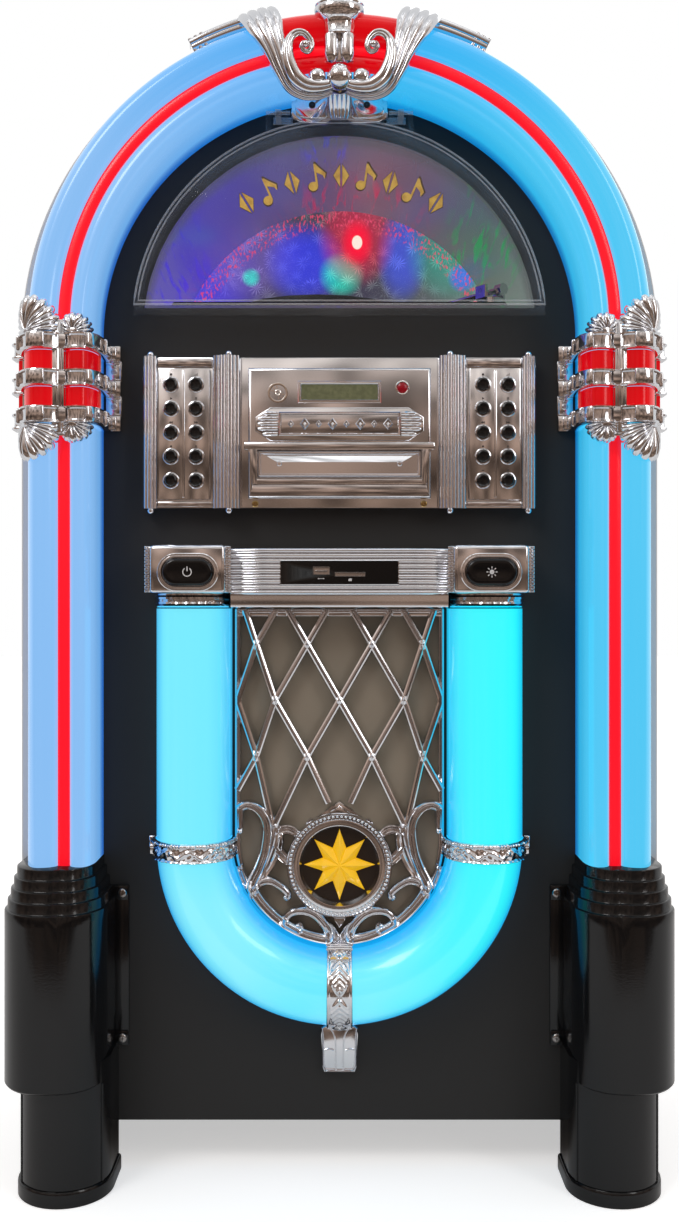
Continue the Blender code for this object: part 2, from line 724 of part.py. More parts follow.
def build_cabinet():
    """Sides, arch and floor board in one frame, the baffle in front of it and the back panel in its rebate."""
    outer = [
        (-CABINET_HALF_WIDTH, 0), (-CABINET_HALF_WIDTH + BOARD, 0), (-CABINET_HALF_WIDTH + BOARD, BASE_Z),
        (CABINET_HALF_WIDTH - BOARD, BASE_Z), (CABINET_HALF_WIDTH - BOARD, 0),
        *arch_outline(CABINET_HALF_WIDTH, 0),
    ]
    inner = arch_outline(CABINET_HALF_WIDTH, BASE_Z + BOARD, BOARD)
    front, back = -BOARD - SEAT_GAP, -CABINET_DEPTH
    frame = plate([outer, inner], back, front)
    rebate = plate([arch_outline(CABINET_HALF_WIDTH, BASE_Z + BOARD - BACK_REBATE, BOARD - BACK_REBATE)],
                   back - OVERRUN, back + BACK_BOARD)
    node("cabinet_shell", cut(frame, rebate), "black_vinyl")

    speaker_hole = circle(0, SPEAKER_Z, SPEAKER_RADIUS + SEAT_GAP)
    deck_half = TRAY_BED_HALF_WIDTH + TRAY_CLEARANCE + DECK_WALL + SEAT_GAP
    deck_hole = rectangle(-deck_half, deck_half, deck_low() - SEAT_GAP, deck_high() + SEAT_GAP)
    holes = [alcove_outline(ALCOVE_WALL + SEAT_GAP), deck_hole, speaker_hole]
    node("front_baffle", plate([arch_outline(CABINET_HALF_WIDTH, BASE_Z), *holes], -BOARD, 0), "black_vinyl")

    panel_edge = BOARD - BACK_REBATE + SEAT_GAP
    panel = plate([arch_outline(CABINET_HALF_WIDTH, BASE_Z + BOARD - BACK_REBATE + SEAT_GAP, panel_edge)],
                  back, back + BACK_BOARD - SEAT_GAP)
    inlet_x, inlet_z = INLET_HALF_WIDTH + INLET_WALL, INLET_HALF_HEIGHT + INLET_WALL
    housing = box(-inlet_x, inlet_x, back + BACK_BOARD - FUSE_DEPTH, back + INLET_DEPTH + INLET_WALL,
                  INLET_Z - inlet_z, INLET_Z + inlet_z)
    socket = box(-INLET_HALF_WIDTH, INLET_HALF_WIDTH, back - OVERRUN, back + INLET_DEPTH,
                 INLET_Z - INLET_HALF_HEIGHT, INLET_Z + INLET_HALF_HEIGHT)
    node("back_panel", cut(joined(panel, housing), socket), "dark_board")


def lobe(start, top, end):
    """A rounded hump in the tube's section, from its first spring point over its top to its last."""
    rise, fall = [], []
    for i in range(LOBE_STEPS):
        turn = math.radians(90) * i / LOBE_STEPS
        rise.append((top[0] - (top[0] - start[0]) * math.cos(turn), start[1] + (top[1] - start[1]) * math.sin(turn)))
    for i in range(LOBE_STEPS + 1):
        turn = math.radians(90) * i / LOBE_STEPS
        fall.append((top[0] + (end[0] - top[0]) * math.sin(turn), top[1] - (top[1] - end[1]) * (1 - math.cos(turn))))
    return rise + fall


def tube_section(valley):
    """The light tube's outer face as (radius, out) points, from the inner wall over both lobes to the flange."""
    valley_in, valley_out = STRIPE_RADIUS - STRIPE_WIDTH / 2, STRIPE_RADIUS + STRIPE_WIDTH / 2
    inner_top = ((TUBE_INNER_RADIUS + valley_in) / 2, INNER_LOBE_TOP)
    outer_top = ((valley_out + TUBE_OUTER_RADIUS) / 2, OUTER_LOBE_TOP)
    return [
        (TUBE_INNER_RADIUS, 0.0),
        *lobe((TUBE_INNER_RADIUS, INNER_LOBE_SPRING), inner_top, (valley_in, valley)),
        *lobe((valley_out, valley), outer_top, (TUBE_OUTER_RADIUS, OUTER_LOBE_SPRING)),
        (TUBE_OUTER_RADIUS, TUBE_FLANGE_THICKNESS),
        (TUBE_FLANGE_RADIUS, TUBE_FLANGE_THICKNESS - FUSE_DEPTH),
        (TUBE_FLANGE_RADIUS, 0.0),
    ]


def offset_line(line, distance):
    """The open line moved sideways to its outer side, with mitred corners."""
    moved = []
    for i, point in enumerate(line):
        before = Vector(line[i]) - Vector(line[i - 1]) if i else None
        after = Vector(line[i + 1]) - Vector(point) if i + 1 < len(line) else None
        normals = [Vector((-way.y, way.x)).normalized() for way in (before, after) if way is not None]
        mitre = sum(normals, Vector((0, 0))).normalized()
        reach = distance / max(mitre.dot(normals[0]), MITRE_SHARE)
        moved.append((point[0] + mitre.x * reach, point[1] + mitre.y * reach))
    return moved


def line_shape(line, z):
    """Loose edges through (radius, out) points, lifted to the baffle by the seat gap."""
    shape = bmesh.new()
    verts = [shape.verts.new(at(radius, out + SEAT_GAP, z)) for radius, out in line]
    return shape, [shape.edges.new(pair) for pair in zip(verts, verts[1:])]


def pull(shape, edges, way):
    """Extrudes the edges and returns the ones at the far end."""
    result = bmesh.ops.extrude_edge_only(shape, edges=edges)["geom"]
    verts = [part for part in result if isinstance(part, bmesh.types.BMVert)]
    bmesh.ops.translate(shape, verts=verts, vec=way)
    return [part for part in result if isinstance(part, bmesh.types.BMEdge)]


def swing(shape, edges, centre_z, angle, steps):
    """Turns the edges about the front-to-back axis through (0, centre_z) and returns the last ones."""
    result = bmesh.ops.spin(shape, geom=edges, cent=(0, 0, centre_z), axis=(0, 1, 0), angle=angle, steps=steps,
                            use_merge=False, use_duplicate=False)["geom_last"]
    return [part for part in result if isinstance(part, bmesh.types.BMEdge)]


def face_out(shape):
    """Turns the faces of an open cover so that they point to the front."""
    bmesh.ops.recalc_face_normals(shape, faces=shape.faces)
    facing = sum(face.normal.y * face.calc_area() for face in shape.faces)
    if facing > 0:
        bmesh.ops.reverse_faces(shape, faces=shape.faces)
    return shape


def arch_sweep(line, foot_z, angle_from=0.0, angle_to=math.pi):
    """The section carried round the arch, with an upright run to foot_z on each side where it reaches it."""
    shape, edges = line_shape(line, ARCH_Z)
    if angle_from > 0:
        bmesh.ops.rotate(shape, verts=shape.verts, cent=(0, 0, ARCH_Z), matrix=Matrix.Rotation(-angle_from, 3, "Y"))
    elif foot_z < ARCH_Z:
        bmesh.ops.translate(shape, verts=shape.verts, vec=(0, 0, foot_z - ARCH_Z))
        edges = pull(shape, edges, (0, 0, ARCH_Z - foot_z))
    steps = max(2, round(TUBE_ARCH_STEPS * (angle_to - angle_from) / math.pi))
    edges = swing(shape, edges, ARCH_Z, -(angle_to - angle_from), steps)
    if angle_from == 0 and foot_z < ARCH_Z:
        pull(shape, edges, (0, 0, foot_z - ARCH_Z))
    bmesh.ops.remove_doubles(shape, verts=shape.verts, dist=MERGE_DISTANCE)
    return face_out(shape)


def stripe_line():
    low, high = STRIPE_RADIUS - STRIPE_WIDTH / 2 + SEAT_GAP, STRIPE_RADIUS + STRIPE_WIDTH / 2 - SEAT_GAP
    top = VALLEY_DEPTH + STRIPE_THICKNESS
    crown = (STRIPE_WIDTH * STRIPE_CROWN_SHARES[0], STRIPE_THICKNESS * STRIPE_CROWN_SHARES[1])
    return [(low, top - crown[1]), (low + crown[0], top), (high - crown[0], top), (high, top - crown[1])]


def build_tubes():
    """The arch tube, the two pillars below it and the red stripe in their common valley."""
    section = tube_section(VALLEY_DEPTH)
    node("arch_tube", shell(arch_sweep(section, TUBE_JOINT_Z + SEAT_GAP), TUBE_WALL), "blue_light")
    pillar, edges = line_shape(section, TUBE_FOOT_Z)
    pull(pillar, edges, (0, 0, TUBE_JOINT_Z - SEAT_GAP - TUBE_FOOT_Z))
    right = shell(face_out(pillar), TUBE_WALL)
    node("left_pillar_tube", mirrored(right), "blue_light")
    node("right_pillar_tube", right, "cyan_light")
    node("stripe", shell(arch_sweep(stripe_line(), TUBE_FOOT_Z), STRIPE_THICKNESS * STRIPE_WALL_SHARE), "red_light")


def deck_low():
    return TRAY_LOW_Z + TRAY_BED_RISE - TRAY_CLEARANCE - DECK_WALL


def deck_high():
    return TRAY_HIGH_Z - TRAY_CLEARANCE


def over_section(distance):
    """The line that a band over the light tube follows: it crosses the valley just above the stripe."""
    bridge = VALLEY_DEPTH + STRIPE_THICKNESS + SEAT_GAP
    return offset_line(tube_section(bridge), distance)


def collar_line():
    """The collar's back face: a lip on the baffle, then round the tube over the insert band."""
    line = over_section(BAND_CLEARANCE + INSERT_THICKNESS + SEAT_GAP)
    return [(line[0][0] - COLLAR_LIP_WIDTH, 0.0), (line[0][0], 0.0), *line[1:]]


def lengths_along(line):
    marks = [0.0]
    for start, end in zip(line, line[1:]):
        marks.append(marks[-1] + (Vector(end) - Vector(start)).length)
    return marks


def length_at(line, radius):
    """How far along the line it reaches this radius on the outer side of the valley."""
    marks = lengths_along(line)
    for i, (start, end) in enumerate(zip(line, line[1:])):
        if start[0] < radius <= end[0] and start[1] > INNER_LOBE_SPRING:
            return marks[i] + (marks[i + 1] - marks[i]) * (radius - start[0]) / (end[0] - start[0])
    return marks[-1] / 2


def wrapped(shape, line):
    """A shape laid out flat, x along the line and out as thickness, bent round the line."""
    marks = lengths_along(line)
    for mark in marks[1:-1]:
        parts = shape.verts[:] + shape.edges[:] + shape.faces[:]
        bmesh.ops.bisect_plane(shape, geom=parts, plane_co=(mark, 0, 0), plane_no=(1, 0, 0), dist=MERGE_DISTANCE)
    mitres = [Vector(moved) - Vector(point) for moved, point in zip(offset_line(line, 1.0), line)]
    for vert in shape.verts:
        along, thickness = vert.co.x, BAFFLE_Y - vert.co.y
        i = max(0, min(len(line) - 2, sum(mark <= along + MERGE_DISTANCE for mark in marks) - 1))
        share = (along - marks[i]) / (marks[i + 1] - marks[i])
        place = Vector(line[i]).lerp(Vector(line[i + 1]), share)
        mitre = mitres[i].lerp(mitres[i + 1], share)
        vert.co = at(place.x + mitre.x * thickness, SEAT_GAP + place.y + mitre.y * thickness, vert.co.z)
    bmesh.ops.recalc_face_normals(shape, faces=shape.faces)
    return shape


def ring_outline(length):
    """The ring seen flat from above: raised blocks along a thinner base."""
    outline = [(length, 0.0), (0.0, 0.0), (0.0, COLLAR_BASE_THICKNESS)]
    pitch = COLLAR_BLOCK_LENGTH + COLLAR_BLOCK_SPACE
    count = int((length - COLLAR_BLOCK_SPACE) / pitch)
    first = (length - count * pitch + COLLAR_BLOCK_SPACE) / 2
    for i in range(count):
        start, end = first + i * pitch, first + i * pitch + COLLAR_BLOCK_LENGTH
        outline += [(start, COLLAR_BASE_THICKNESS), (start, COLLAR_BLOCK_THICKNESS),
                    (end, COLLAR_BLOCK_THICKNESS), (end, COLLAR_BASE_THICKNESS)]
    return outline + [(length, COLLAR_BASE_THICKNESS)]


def fan(along, z, radius, up):
    """Half a fluted scallop shell laid flat, standing on the ring at z."""
    shape = bmesh.new()
    bmesh.ops.create_circle(shape, cap_ends=True, cap_tris=True, segments=4 * FAN_RIBS, radius=radius)
    bmesh.ops.rotate(shape, verts=shape.verts, matrix=Matrix.Rotation(math.pi / (4 * FAN_RIBS), 3, "Z"))
    top = bmesh.ops.extrude_face_region(shape, geom=shape.faces[:])["geom"]
    raised = [part for part in top if isinstance(part, bmesh.types.BMVert)]
    for vert in raised:
        vert.co.z += FAN_THICKNESS
    for vert in shape.verts:
        if vert.co.xy.length > MERGE_DISTANCE:
            turn = math.degrees(math.atan2(vert.co.y, vert.co.x)) * 4 * FAN_RIBS / 360
            if round(turn - 0.5) % 2 == 0:
                vert.co.x *= 1 - FAN_RIB_SHARE
                vert.co.y *= 1 - FAN_RIB_SHARE
                vert.co.z *= 0.5
    parts = shape.verts[:] + shape.edges[:] + shape.faces[:]
    result = bmesh.ops.bisect_plane(shape, geom=parts, plane_no=(0, -1, 0), clear_outer=True)
    rim = [part for part in result["geom_cut"] if isinstance(part, bmesh.types.BMEdge)]
    bmesh.ops.holes_fill(shape, edges=rim)
    stand = Matrix(((1, 0, 0, 0), (0, 0, -1, 0), (0, 1 if up else -1, 0, 0), (0, 0, 0, 1)))
    shape.transform(Matrix.Translation(at(along, 0, z)) @ stand)
    bmesh.ops.recalc_face_normals(shape, faces=shape.faces)
    return shape


def build_collars():
    """Three chrome rings, bars, lips and scallop fans round each spring line, over a red insert band."""
    line = collar_line()
    length = lengths_along(line)[-1]
    bar = length_at(line, STRIPE_RADIUS)
    ring_zs = [TUBE_JOINT_Z + step * COLLAR_RING_PITCH for step in (-1, 0, 1)]
    low, high = ring_zs[0] - COLLAR_RING_HEIGHT / 2, ring_zs[-1] + COLLAR_RING_HEIGHT / 2
    pieces = [prism([ring_outline(length)], z - COLLAR_RING_HEIGHT / 2, z + COLLAR_RING_HEIGHT / 2) for z in ring_zs]
    pieces.append(box(bar - COLLAR_BAR_WIDTH / 2, bar + COLLAR_BAR_WIDTH / 2, 0, COLLAR_BAR_THICKNESS,
                      low - COLLAR_BAR_OVERHANG, high + COLLAR_BAR_OVERHANG))
    inset = COLLAR_RING_HEIGHT / 2
    pieces.append(box(FUSE_DEPTH, COLLAR_LIP_WIDTH, 0, COLLAR_LIP_THICKNESS, low + inset, high - inset))
    pieces.append(box(length - COLLAR_LIP_WIDTH, length - FUSE_DEPTH, 0, COLLAR_LIP_THICKNESS,
                      low + inset, high - inset))
    outer_fan = (bar + length) / 2 - COLLAR_BAR_WIDTH / 2
    inner_fan = bar - COLLAR_BAR_WIDTH / 2 - INNER_FAN_RADIUS
    for z, up in ((high - FUSE_DEPTH, True), (low + FUSE_DEPTH, False)):
        pieces.append(fan(outer_fan, z, OUTER_FAN_RADIUS, up))
        pieces.append(fan(inner_fan, z, INNER_FAN_RADIUS, up))
    right = wrapped(joined(*pieces), line)
    node("left_collar", mirrored(right), "chrome")
    node("right_collar", right, "chrome")

    band, edges = line_shape(over_section(BAND_CLEARANCE + INSERT_THICKNESS), low + inset)
    pull(band, edges, (0, 0, high - low - 2 * inset))
    right = shell(face_out(band), INSERT_THICKNESS)
    node("left_collar_insert", mirrored(right), "red_light")
    node("right_collar_insert", right, "red_light")


def shroud_outline(inset, notch):
    """The shroud seen from above: rounded front corners, a slight bulge and a notch where two scallops meet."""
    low, high = SHROUD_INNER_X + inset, SHROUD_OUTER_X - inset
    reach, corner = SHROUD_REACH - inset, SHROUD_CORNER - inset
    spring = reach - SHROUD_BULGE - corner
    points = [(high, 0.0), *arc((high - corner, spring), corner, 0, 90, 4)]
    middle, half = (low + high) / 2, (high - low) / 2 - corner
    reach_in = SHROUD_NOTCH * 2
    for i in range(1, 8):
        x = middle + half * (1 - i / 4)
        bulge = SHROUD_BULGE * (1 - ((x - middle) / half) ** 2)
        dip = notch * max(0.0, 1 - abs(x - STRIPE_RADIUS) / reach_in)
        points.append((x, reach - SHROUD_BULGE + bulge - dip))
    points += [*arc((low + corner, spring), corner, 90, 180, 4), (low, 0.0)]
    return [(x, out + SEAT_GAP) for x, out in points]


def leg_outline(grow, steps=8):
    """The leg seen from above: straight sides and a half-round front."""
    radius = (LEG_OUTER_X - LEG_INNER_X) / 2 + grow
    centre = (LEG_OUTER_X + LEG_INNER_X) / 2
    spring = LEG_REACH - (LEG_OUTER_X - LEG_INNER_X) / 2
    points = [(centre + radius, 0.0), *arc((centre, spring), radius, 0, 180, steps), (centre - radius, 0.0)]
    return [(x, max(out, 0.0) + SEAT_GAP) for x, out in points]


def build_bases():
    """The stepped shroud that each pillar stands in, and the leg below it with its foot ring."""
    body = bevelled(prism([shroud_outline(0, 0)], SHROUD_FOOT_Z, SHROUD_SHOULDER_Z), SHROUD_EDGE_BEVEL)
    steps = []
    for i in range(SHROUD_STEPS):
        inset = (i + 1) * SHROUD_STEP_INSET
        low = SHROUD_SHOULDER_Z + i * SHROUD_STEP_HEIGHT
        steps.append(prism([shroud_outline(inset, SHROUD_NOTCH)], low - FUSE_DEPTH, low + SHROUD_STEP_HEIGHT))
    flange = box(SHROUD_INNER_X - SHROUD_FLANGE_WIDTH, SHROUD_INNER_X + SHROUD_FLANGE_WIDTH, SEAT_GAP,
                 SHROUD_FLANGE_THICKNESS, SHROUD_FLANGE_FOOT_Z, SHROUD_SHOULDER_Z + SHROUD_STEP_HEIGHT)
    top = SHROUD_SHOULDER_Z + SHROUD_STEPS * SHROUD_STEP_HEIGHT
    section = offset_line(tube_section(VALLEY_DEPTH + STRIPE_THICKNESS), 2 * SEAT_GAP)
    well = [(section[0][0], -OVERRUN), *[(u, v + SEAT_GAP) for u, v in section], (section[-1][0], -OVERRUN)]
    tube_well = prism([well], TUBE_FOOT_Z - SEAT_GAP, top + OVERRUN)
    neck_well = prism([leg_outline(SEAT_GAP - LEG_NECK_INSET)], SHROUD_FOOT_Z - OVERRUN, LEG_TOP_Z + SEAT_GAP)
    right = cut(joined(body, *steps, flange), tube_well, neck_well)
    node("left_base_shroud", mirrored(right), "black_plastic")
    node("right_base_shroud", right, "black_plastic")

    leg = prism([leg_outline(0)], 0, SHROUD_FOOT_Z - SEAT_GAP)
    neck = prism([leg_outline(-LEG_NECK_INSET)], SHROUD_FOOT_Z - OVERRUN, LEG_TOP_Z)
    ring = bevelled(prism([leg_outline(FOOT_RING_LIP)], 0, FOOT_RING_HEIGHT), FOOT_RING_LIP / 2)
    centre = (LEG_INNER_X + LEG_OUTER_X) / 2
    spring = LEG_REACH - (LEG_OUTER_X - LEG_INNER_X) / 2
    radius = (LEG_OUTER_X - LEG_INNER_X) / 2
    grooves = []
    for turn in (LEG_TRIM_ANGLE, math.pi - LEG_TRIM_ANGLE):
        x, out = centre + radius * math.cos(turn), spring + radius * math.sin(turn)
        grooves.append(box(x - LEG_GROOVE, x + LEG_GROOVE, out - LEG_GROOVE, out + LEG_GROOVE,
                           FOOT_RING_HEIGHT, SHROUD_FOOT_Z + OVERRUN))
    right = joined(cut(leg, *grooves), neck, ring)
    node("left_leg", mirrored(right), "black_plastic")
    node("right_leg", right, "black_plastic")


def build_window():
    """The clear lift-up cover with its rim, tab and lugs, the hinge strip that carries it, and the lit alcove."""
    shape = bmesh.new()
    loops = [[shape.verts.new(at(x, WINDOW_RIM_THICKNESS, z)) for x, z in window_outline(inset)]
             for inset in (-WINDOW_RIM_WIDTH, 0)]
    for outer, inner, last_outer, last_inner in zip(*loops, *[loop[-1:] + loop[:-1] for loop in loops]):
        shape.faces.new((last_outer, outer, inner, last_inner))
    edges = [shape.edges.get(pair) for pair in zip(loops[1], loops[1][1:] + loops[1][:1])]
    edges = pull(shape, edges, (0, WINDOW_RIM_THICKNESS - SEAT_GAP - WINDOW_REACH, 0))
    bmesh.ops.holes_fill(shape, edges=edges)
    bmesh.ops.recalc_face_normals(shape, faces=shape.faces)
    if max(shape.faces, key=lambda face: face.calc_area()).normal.y > 0:
        bmesh.ops.reverse_faces(shape, faces=shape.faces)
    dish = shell(shape, WINDOW_WALL)
    reach = SEAT_GAP + WINDOW_REACH
    tab = box(-TAB_WIDTH / 2, TAB_WIDTH / 2, reach - TAB_THICKNESS - FUSE_DEPTH, reach - FUSE_DEPTH,
              WINDOW_SILL_Z - TAB_HEIGHT, WINDOW_SILL_Z + WINDOW_WALL / 2)
    lugs, pins = [], []
    for side in (-1, 1):
        for step in (-1, 1):
            x = side * HINGE_LUG_X + step * HINGE_LUG_SPACING / 2
            root = WINDOW_CENTRE_Z + math.sqrt(WINDOW_RADIUS**2 - (abs(x) + HINGE_LUG_WIDTH / 2) ** 2)
            outline = [(reach - FUSE_DEPTH, root - WINDOW_WALL / 2), (HINGE_OUT + HINGE_LUG_RADIUS, HINGE_Z),
                       *arc((HINGE_OUT, HINGE_Z), HINGE_LUG_RADIUS, 30, 180, 6),
                       (WINDOW_RIM_THICKNESS, root - WINDOW_WALL / 2)]
            lugs.append(beam([outline], x - HINGE_LUG_WIDTH / 2, x + HINGE_LUG_WIDTH / 2))
    bore = beam([circle(HINGE_OUT, HINGE_Z, HINGE_PIN_RADIUS + HINGE_PIN_CLEARANCE, 12)],
                -CABINET_HALF_WIDTH, CABINET_HALF_WIDTH)
    behind = box(-CABINET_HALF_WIDTH, CABINET_HALF_WIDTH, -CABINET_DEPTH, SEAT_GAP, CABINET_HALF_WIDTH, CROWN_TOP_Z)
    cover = cut(joined(dish, tab, *lugs), bore, behind)
    node("window_cover", cover, "clear", pivot=at(0, HINGE_OUT, HINGE_Z))

    strip_half = HINGE_LUG_X + HINGE_ARM_WIDTH
    strip = box(-strip_half, strip_half, SEAT_GAP, HINGE_PLATE_THICKNESS, HINGE_Z - HINGE_PLATE_HEIGHT / 2 + SEAT_GAP,
                HINGE_Z + HINGE_PLATE_HEIGHT / 2)
    pin_half = HINGE_LUG_SPACING / 2 + HINGE_LUG_WIDTH / 2
    for side in (-1, 1):
        x = side * HINGE_LUG_X
        arm = [(SEAT_GAP, HINGE_Z - HINGE_PLATE_HEIGHT / 2 + 2 * SEAT_GAP),
               (HINGE_OUT, HINGE_Z - HINGE_PIN_RADIUS * 2),
               *arc((HINGE_OUT, HINGE_Z), HINGE_PIN_RADIUS * 2, -60, 80, 5),
               (SEAT_GAP, HINGE_Z + HINGE_PLATE_HEIGHT / 2 - SEAT_GAP)]
        pins.append(beam([arm], x - HINGE_ARM_WIDTH / 2, x + HINGE_ARM_WIDTH / 2))
        pins.append(beam([circle(HINGE_OUT, HINGE_Z, HINGE_PIN_RADIUS, 12)], x - pin_half, x + pin_half))
    node("window_hinge", joined(strip, *pins), "chrome")

    wall = plate([alcove_outline(ALCOVE_WALL), alcove_outline()], -ALCOVE_DEPTH, -SEAT_GAP)
    back = plate([alcove_outline(ALCOVE_WALL)], -ALCOVE_DEPTH - ALCOVE_WALL, -ALCOVE_DEPTH + FUSE_DEPTH)
    node("alcove_liner", joined(wall, back), "foil")


def build_turntable():
    """A plinth on the alcove's floor with a platter, and a tonearm that turns and tilts in its base."""
    floor = ALCOVE_FLOOR_Z + SEAT_GAP
    deck = floor + PLINTH_HEIGHT
    plinth = bevelled(box(-PLINTH_HALF_WIDTH, PLINTH_HALF_WIDTH, -PLINTH_BACK_SETBACK, -PLINTH_FRONT_SETBACK,
                          floor, deck), PLATTER_MAT_SINK)
    node("turntable_plinth", plinth, "black_plastic")

    low = deck + PLATTER_CLEARANCE
    high = low + PLATTER_HEIGHT
    profile = [
        (0, high + SPINDLE_HEIGHT), (SPINDLE_RADIUS * SPINDLE_TIP_SHARE, high + SPINDLE_HEIGHT),
        (SPINDLE_RADIUS, high + SPINDLE_HEIGHT - SPINDLE_CONE), (SPINDLE_RADIUS, high - PLATTER_MAT_SINK),
        (PLATTER_RADIUS - PLATTER_RIM, high - PLATTER_MAT_SINK), (PLATTER_RADIUS - PLATTER_RIM, high),
        (PLATTER_RADIUS - PLATTER_MAT_SINK, high), (PLATTER_RADIUS, high - PLATTER_MAT_SINK), (PLATTER_RADIUS, low),
        (BEARING_RADIUS, low), (BEARING_RADIUS, deck + SEAT_GAP), (0, deck + SEAT_GAP),
    ]
    node("platter", turned(profile, upward(PLATTER_X, -PLATTER_SETBACK, 0), 20), "rubber",
         pivot=at(PLATTER_X, -PLATTER_SETBACK, low))

    base_top = deck + ARM_BASE_HEIGHT
    axis_z = base_top + ARM_AXIS_RISE
    place = upward(ARM_PIVOT_X, -ARM_PIVOT_SETBACK, 0)
    post = turned([(0, base_top), (ARM_BASE_RADIUS, base_top), (ARM_BASE_RADIUS, deck + SEAT_GAP),
                   (0, deck + SEAT_GAP)], place, 24)
    half, depth = ARM_YOKE_WIDTH / 2, ARM_YOKE_DEPTH / 2
    yoke = bmesh.new()
    bmesh.ops.create_cube(yoke, size=1.0)
    rise = ARM_YOKE_HEIGHT + FUSE_DEPTH
    yoke.transform(Matrix.Translation((0, 0, base_top - FUSE_DEPTH + rise / 2)) @ Matrix.Diagonal(
        (2 * half, 2 * depth, rise, 1)))
    slot = bmesh.new()
    bmesh.ops.create_cube(slot, size=1.0)
    slot.transform(Matrix.Translation((0, 0, base_top + ARM_SLOT_FLOOR + ARM_YOKE_HEIGHT / 2)) @ Matrix.Diagonal(
        (2 * (half - ARM_YOKE_WALL), 2 * depth + OVERRUN, ARM_YOKE_HEIGHT, 1)))
    bore = bmesh.new()
    bmesh.ops.create_cone(bore, cap_ends=True, segments=12, radius1=ARM_PIN_RADIUS + HINGE_PIN_CLEARANCE,
                          radius2=ARM_PIN_RADIUS + HINGE_PIN_CLEARANCE, depth=4 * half)
    bore.transform(Matrix.Translation((0, 0, axis_z)) @ Matrix.Rotation(math.radians(90), 4, "Y"))
    turn = arm_turn()
    yoke = cut(bevelled(yoke, PLATTER_MAT_SINK / 2), slot, bore)
    yoke.transform(place @ turn)
    node("tonearm_base", joined(post, yoke), "chrome", pivot=at(ARM_PIVOT_X, -ARM_PIVOT_SETBACK, deck))

    pin = bmesh.new()
    bmesh.ops.create_cone(pin, cap_ends=True, segments=12, radius1=ARM_PIN_RADIUS, radius2=ARM_PIN_RADIUS,
                          depth=2 * half)
    pin.transform(Matrix.Rotation(math.radians(90), 4, "Y"))
    tube = rod([(0, -COUNTERWEIGHT_REACH, 0), (0, ARM_LENGTH - HEADSHELL_LENGTH / 2, 0)], ARM_RADIUS, 2)
    weight = rod([(0, -COUNTERWEIGHT_REACH, 0), (0, COUNTERWEIGHT_LENGTH - COUNTERWEIGHT_REACH, 0)],
                 COUNTERWEIGHT_RADIUS, 2)
    head = bmesh.new()
    bmesh.ops.create_cube(head, size=1.0)
    head.transform(Matrix.Translation((0, ARM_LENGTH - HEADSHELL_LENGTH / 2, -HEADSHELL_DROP)) @ Matrix.Diagonal(
        (HEADSHELL_WIDTH, HEADSHELL_LENGTH, HEADSHELL_HEIGHT, 1)))
    arm = joined(tube, weight, bevelled(head, PLATTER_MAT_SINK / 2), pin)
    arm.transform(upward(ARM_PIVOT_X, -ARM_PIVOT_SETBACK, axis_z) @ turn)
    node("tonearm", arm, "chrome", pivot=at(ARM_PIVOT_X, -ARM_PIVOT_SETBACK, axis_z))


def arm_turn():
    """The rest direction of the tonearm: from the pivot to the back left, where a turn of zero points to the back."""
    return Matrix.Rotation(math.radians(90) - ARM_REST_ANGLE, 4, "Z")


def gathered(*shapes):
    """Shapes that don't touch, as one bmesh."""
    whole = bmesh.new()
    for shape in shapes:
        mesh = bpy.data.meshes.new("gathered")
        shape.to_mesh(mesh)
        shape.free()
        whole.from_mesh(mesh)
        bpy.data.meshes.remove(mesh)
    return whole


def both_sides(shape):
    return gathered(shape, mirrored(shape))


def fluted_column(x, width, reach, flutes):
    """An upright column with rounded flutes on its front and a ball on each end."""
    outline = [(x + width / 2, 0.0)]
    for i in range(flutes):
        start = x + width / 2 - i * width / flutes
        outline += [(start, reach - width / flutes / 2), (start - width / flutes / 3, reach),
                    (start - width / flutes * 2 / 3, reach)]
    outline += [(x - width / 2, reach - width / flutes / 2), (x - width / 2, 0.0)]
    return prism([[(across, out + SEAT_GAP) for across, out in outline]], COLUMN_LOW_Z, COLUMN_HIGH_Z)


def key_places():
    """The centre of each key, left block first, each block row by row from the top."""
    places = []
    for side in (-1, 1):
        for row in range(KEY_ROWS):
            for column in (-1, 1):
                x = side * KEY_COLUMN_X + column * KEY_COLUMN_SPACING / 2
                places.append(("left" if side < 0 else "right", x, KEY_TOP_Z - row * KEY_PITCH))
    return places


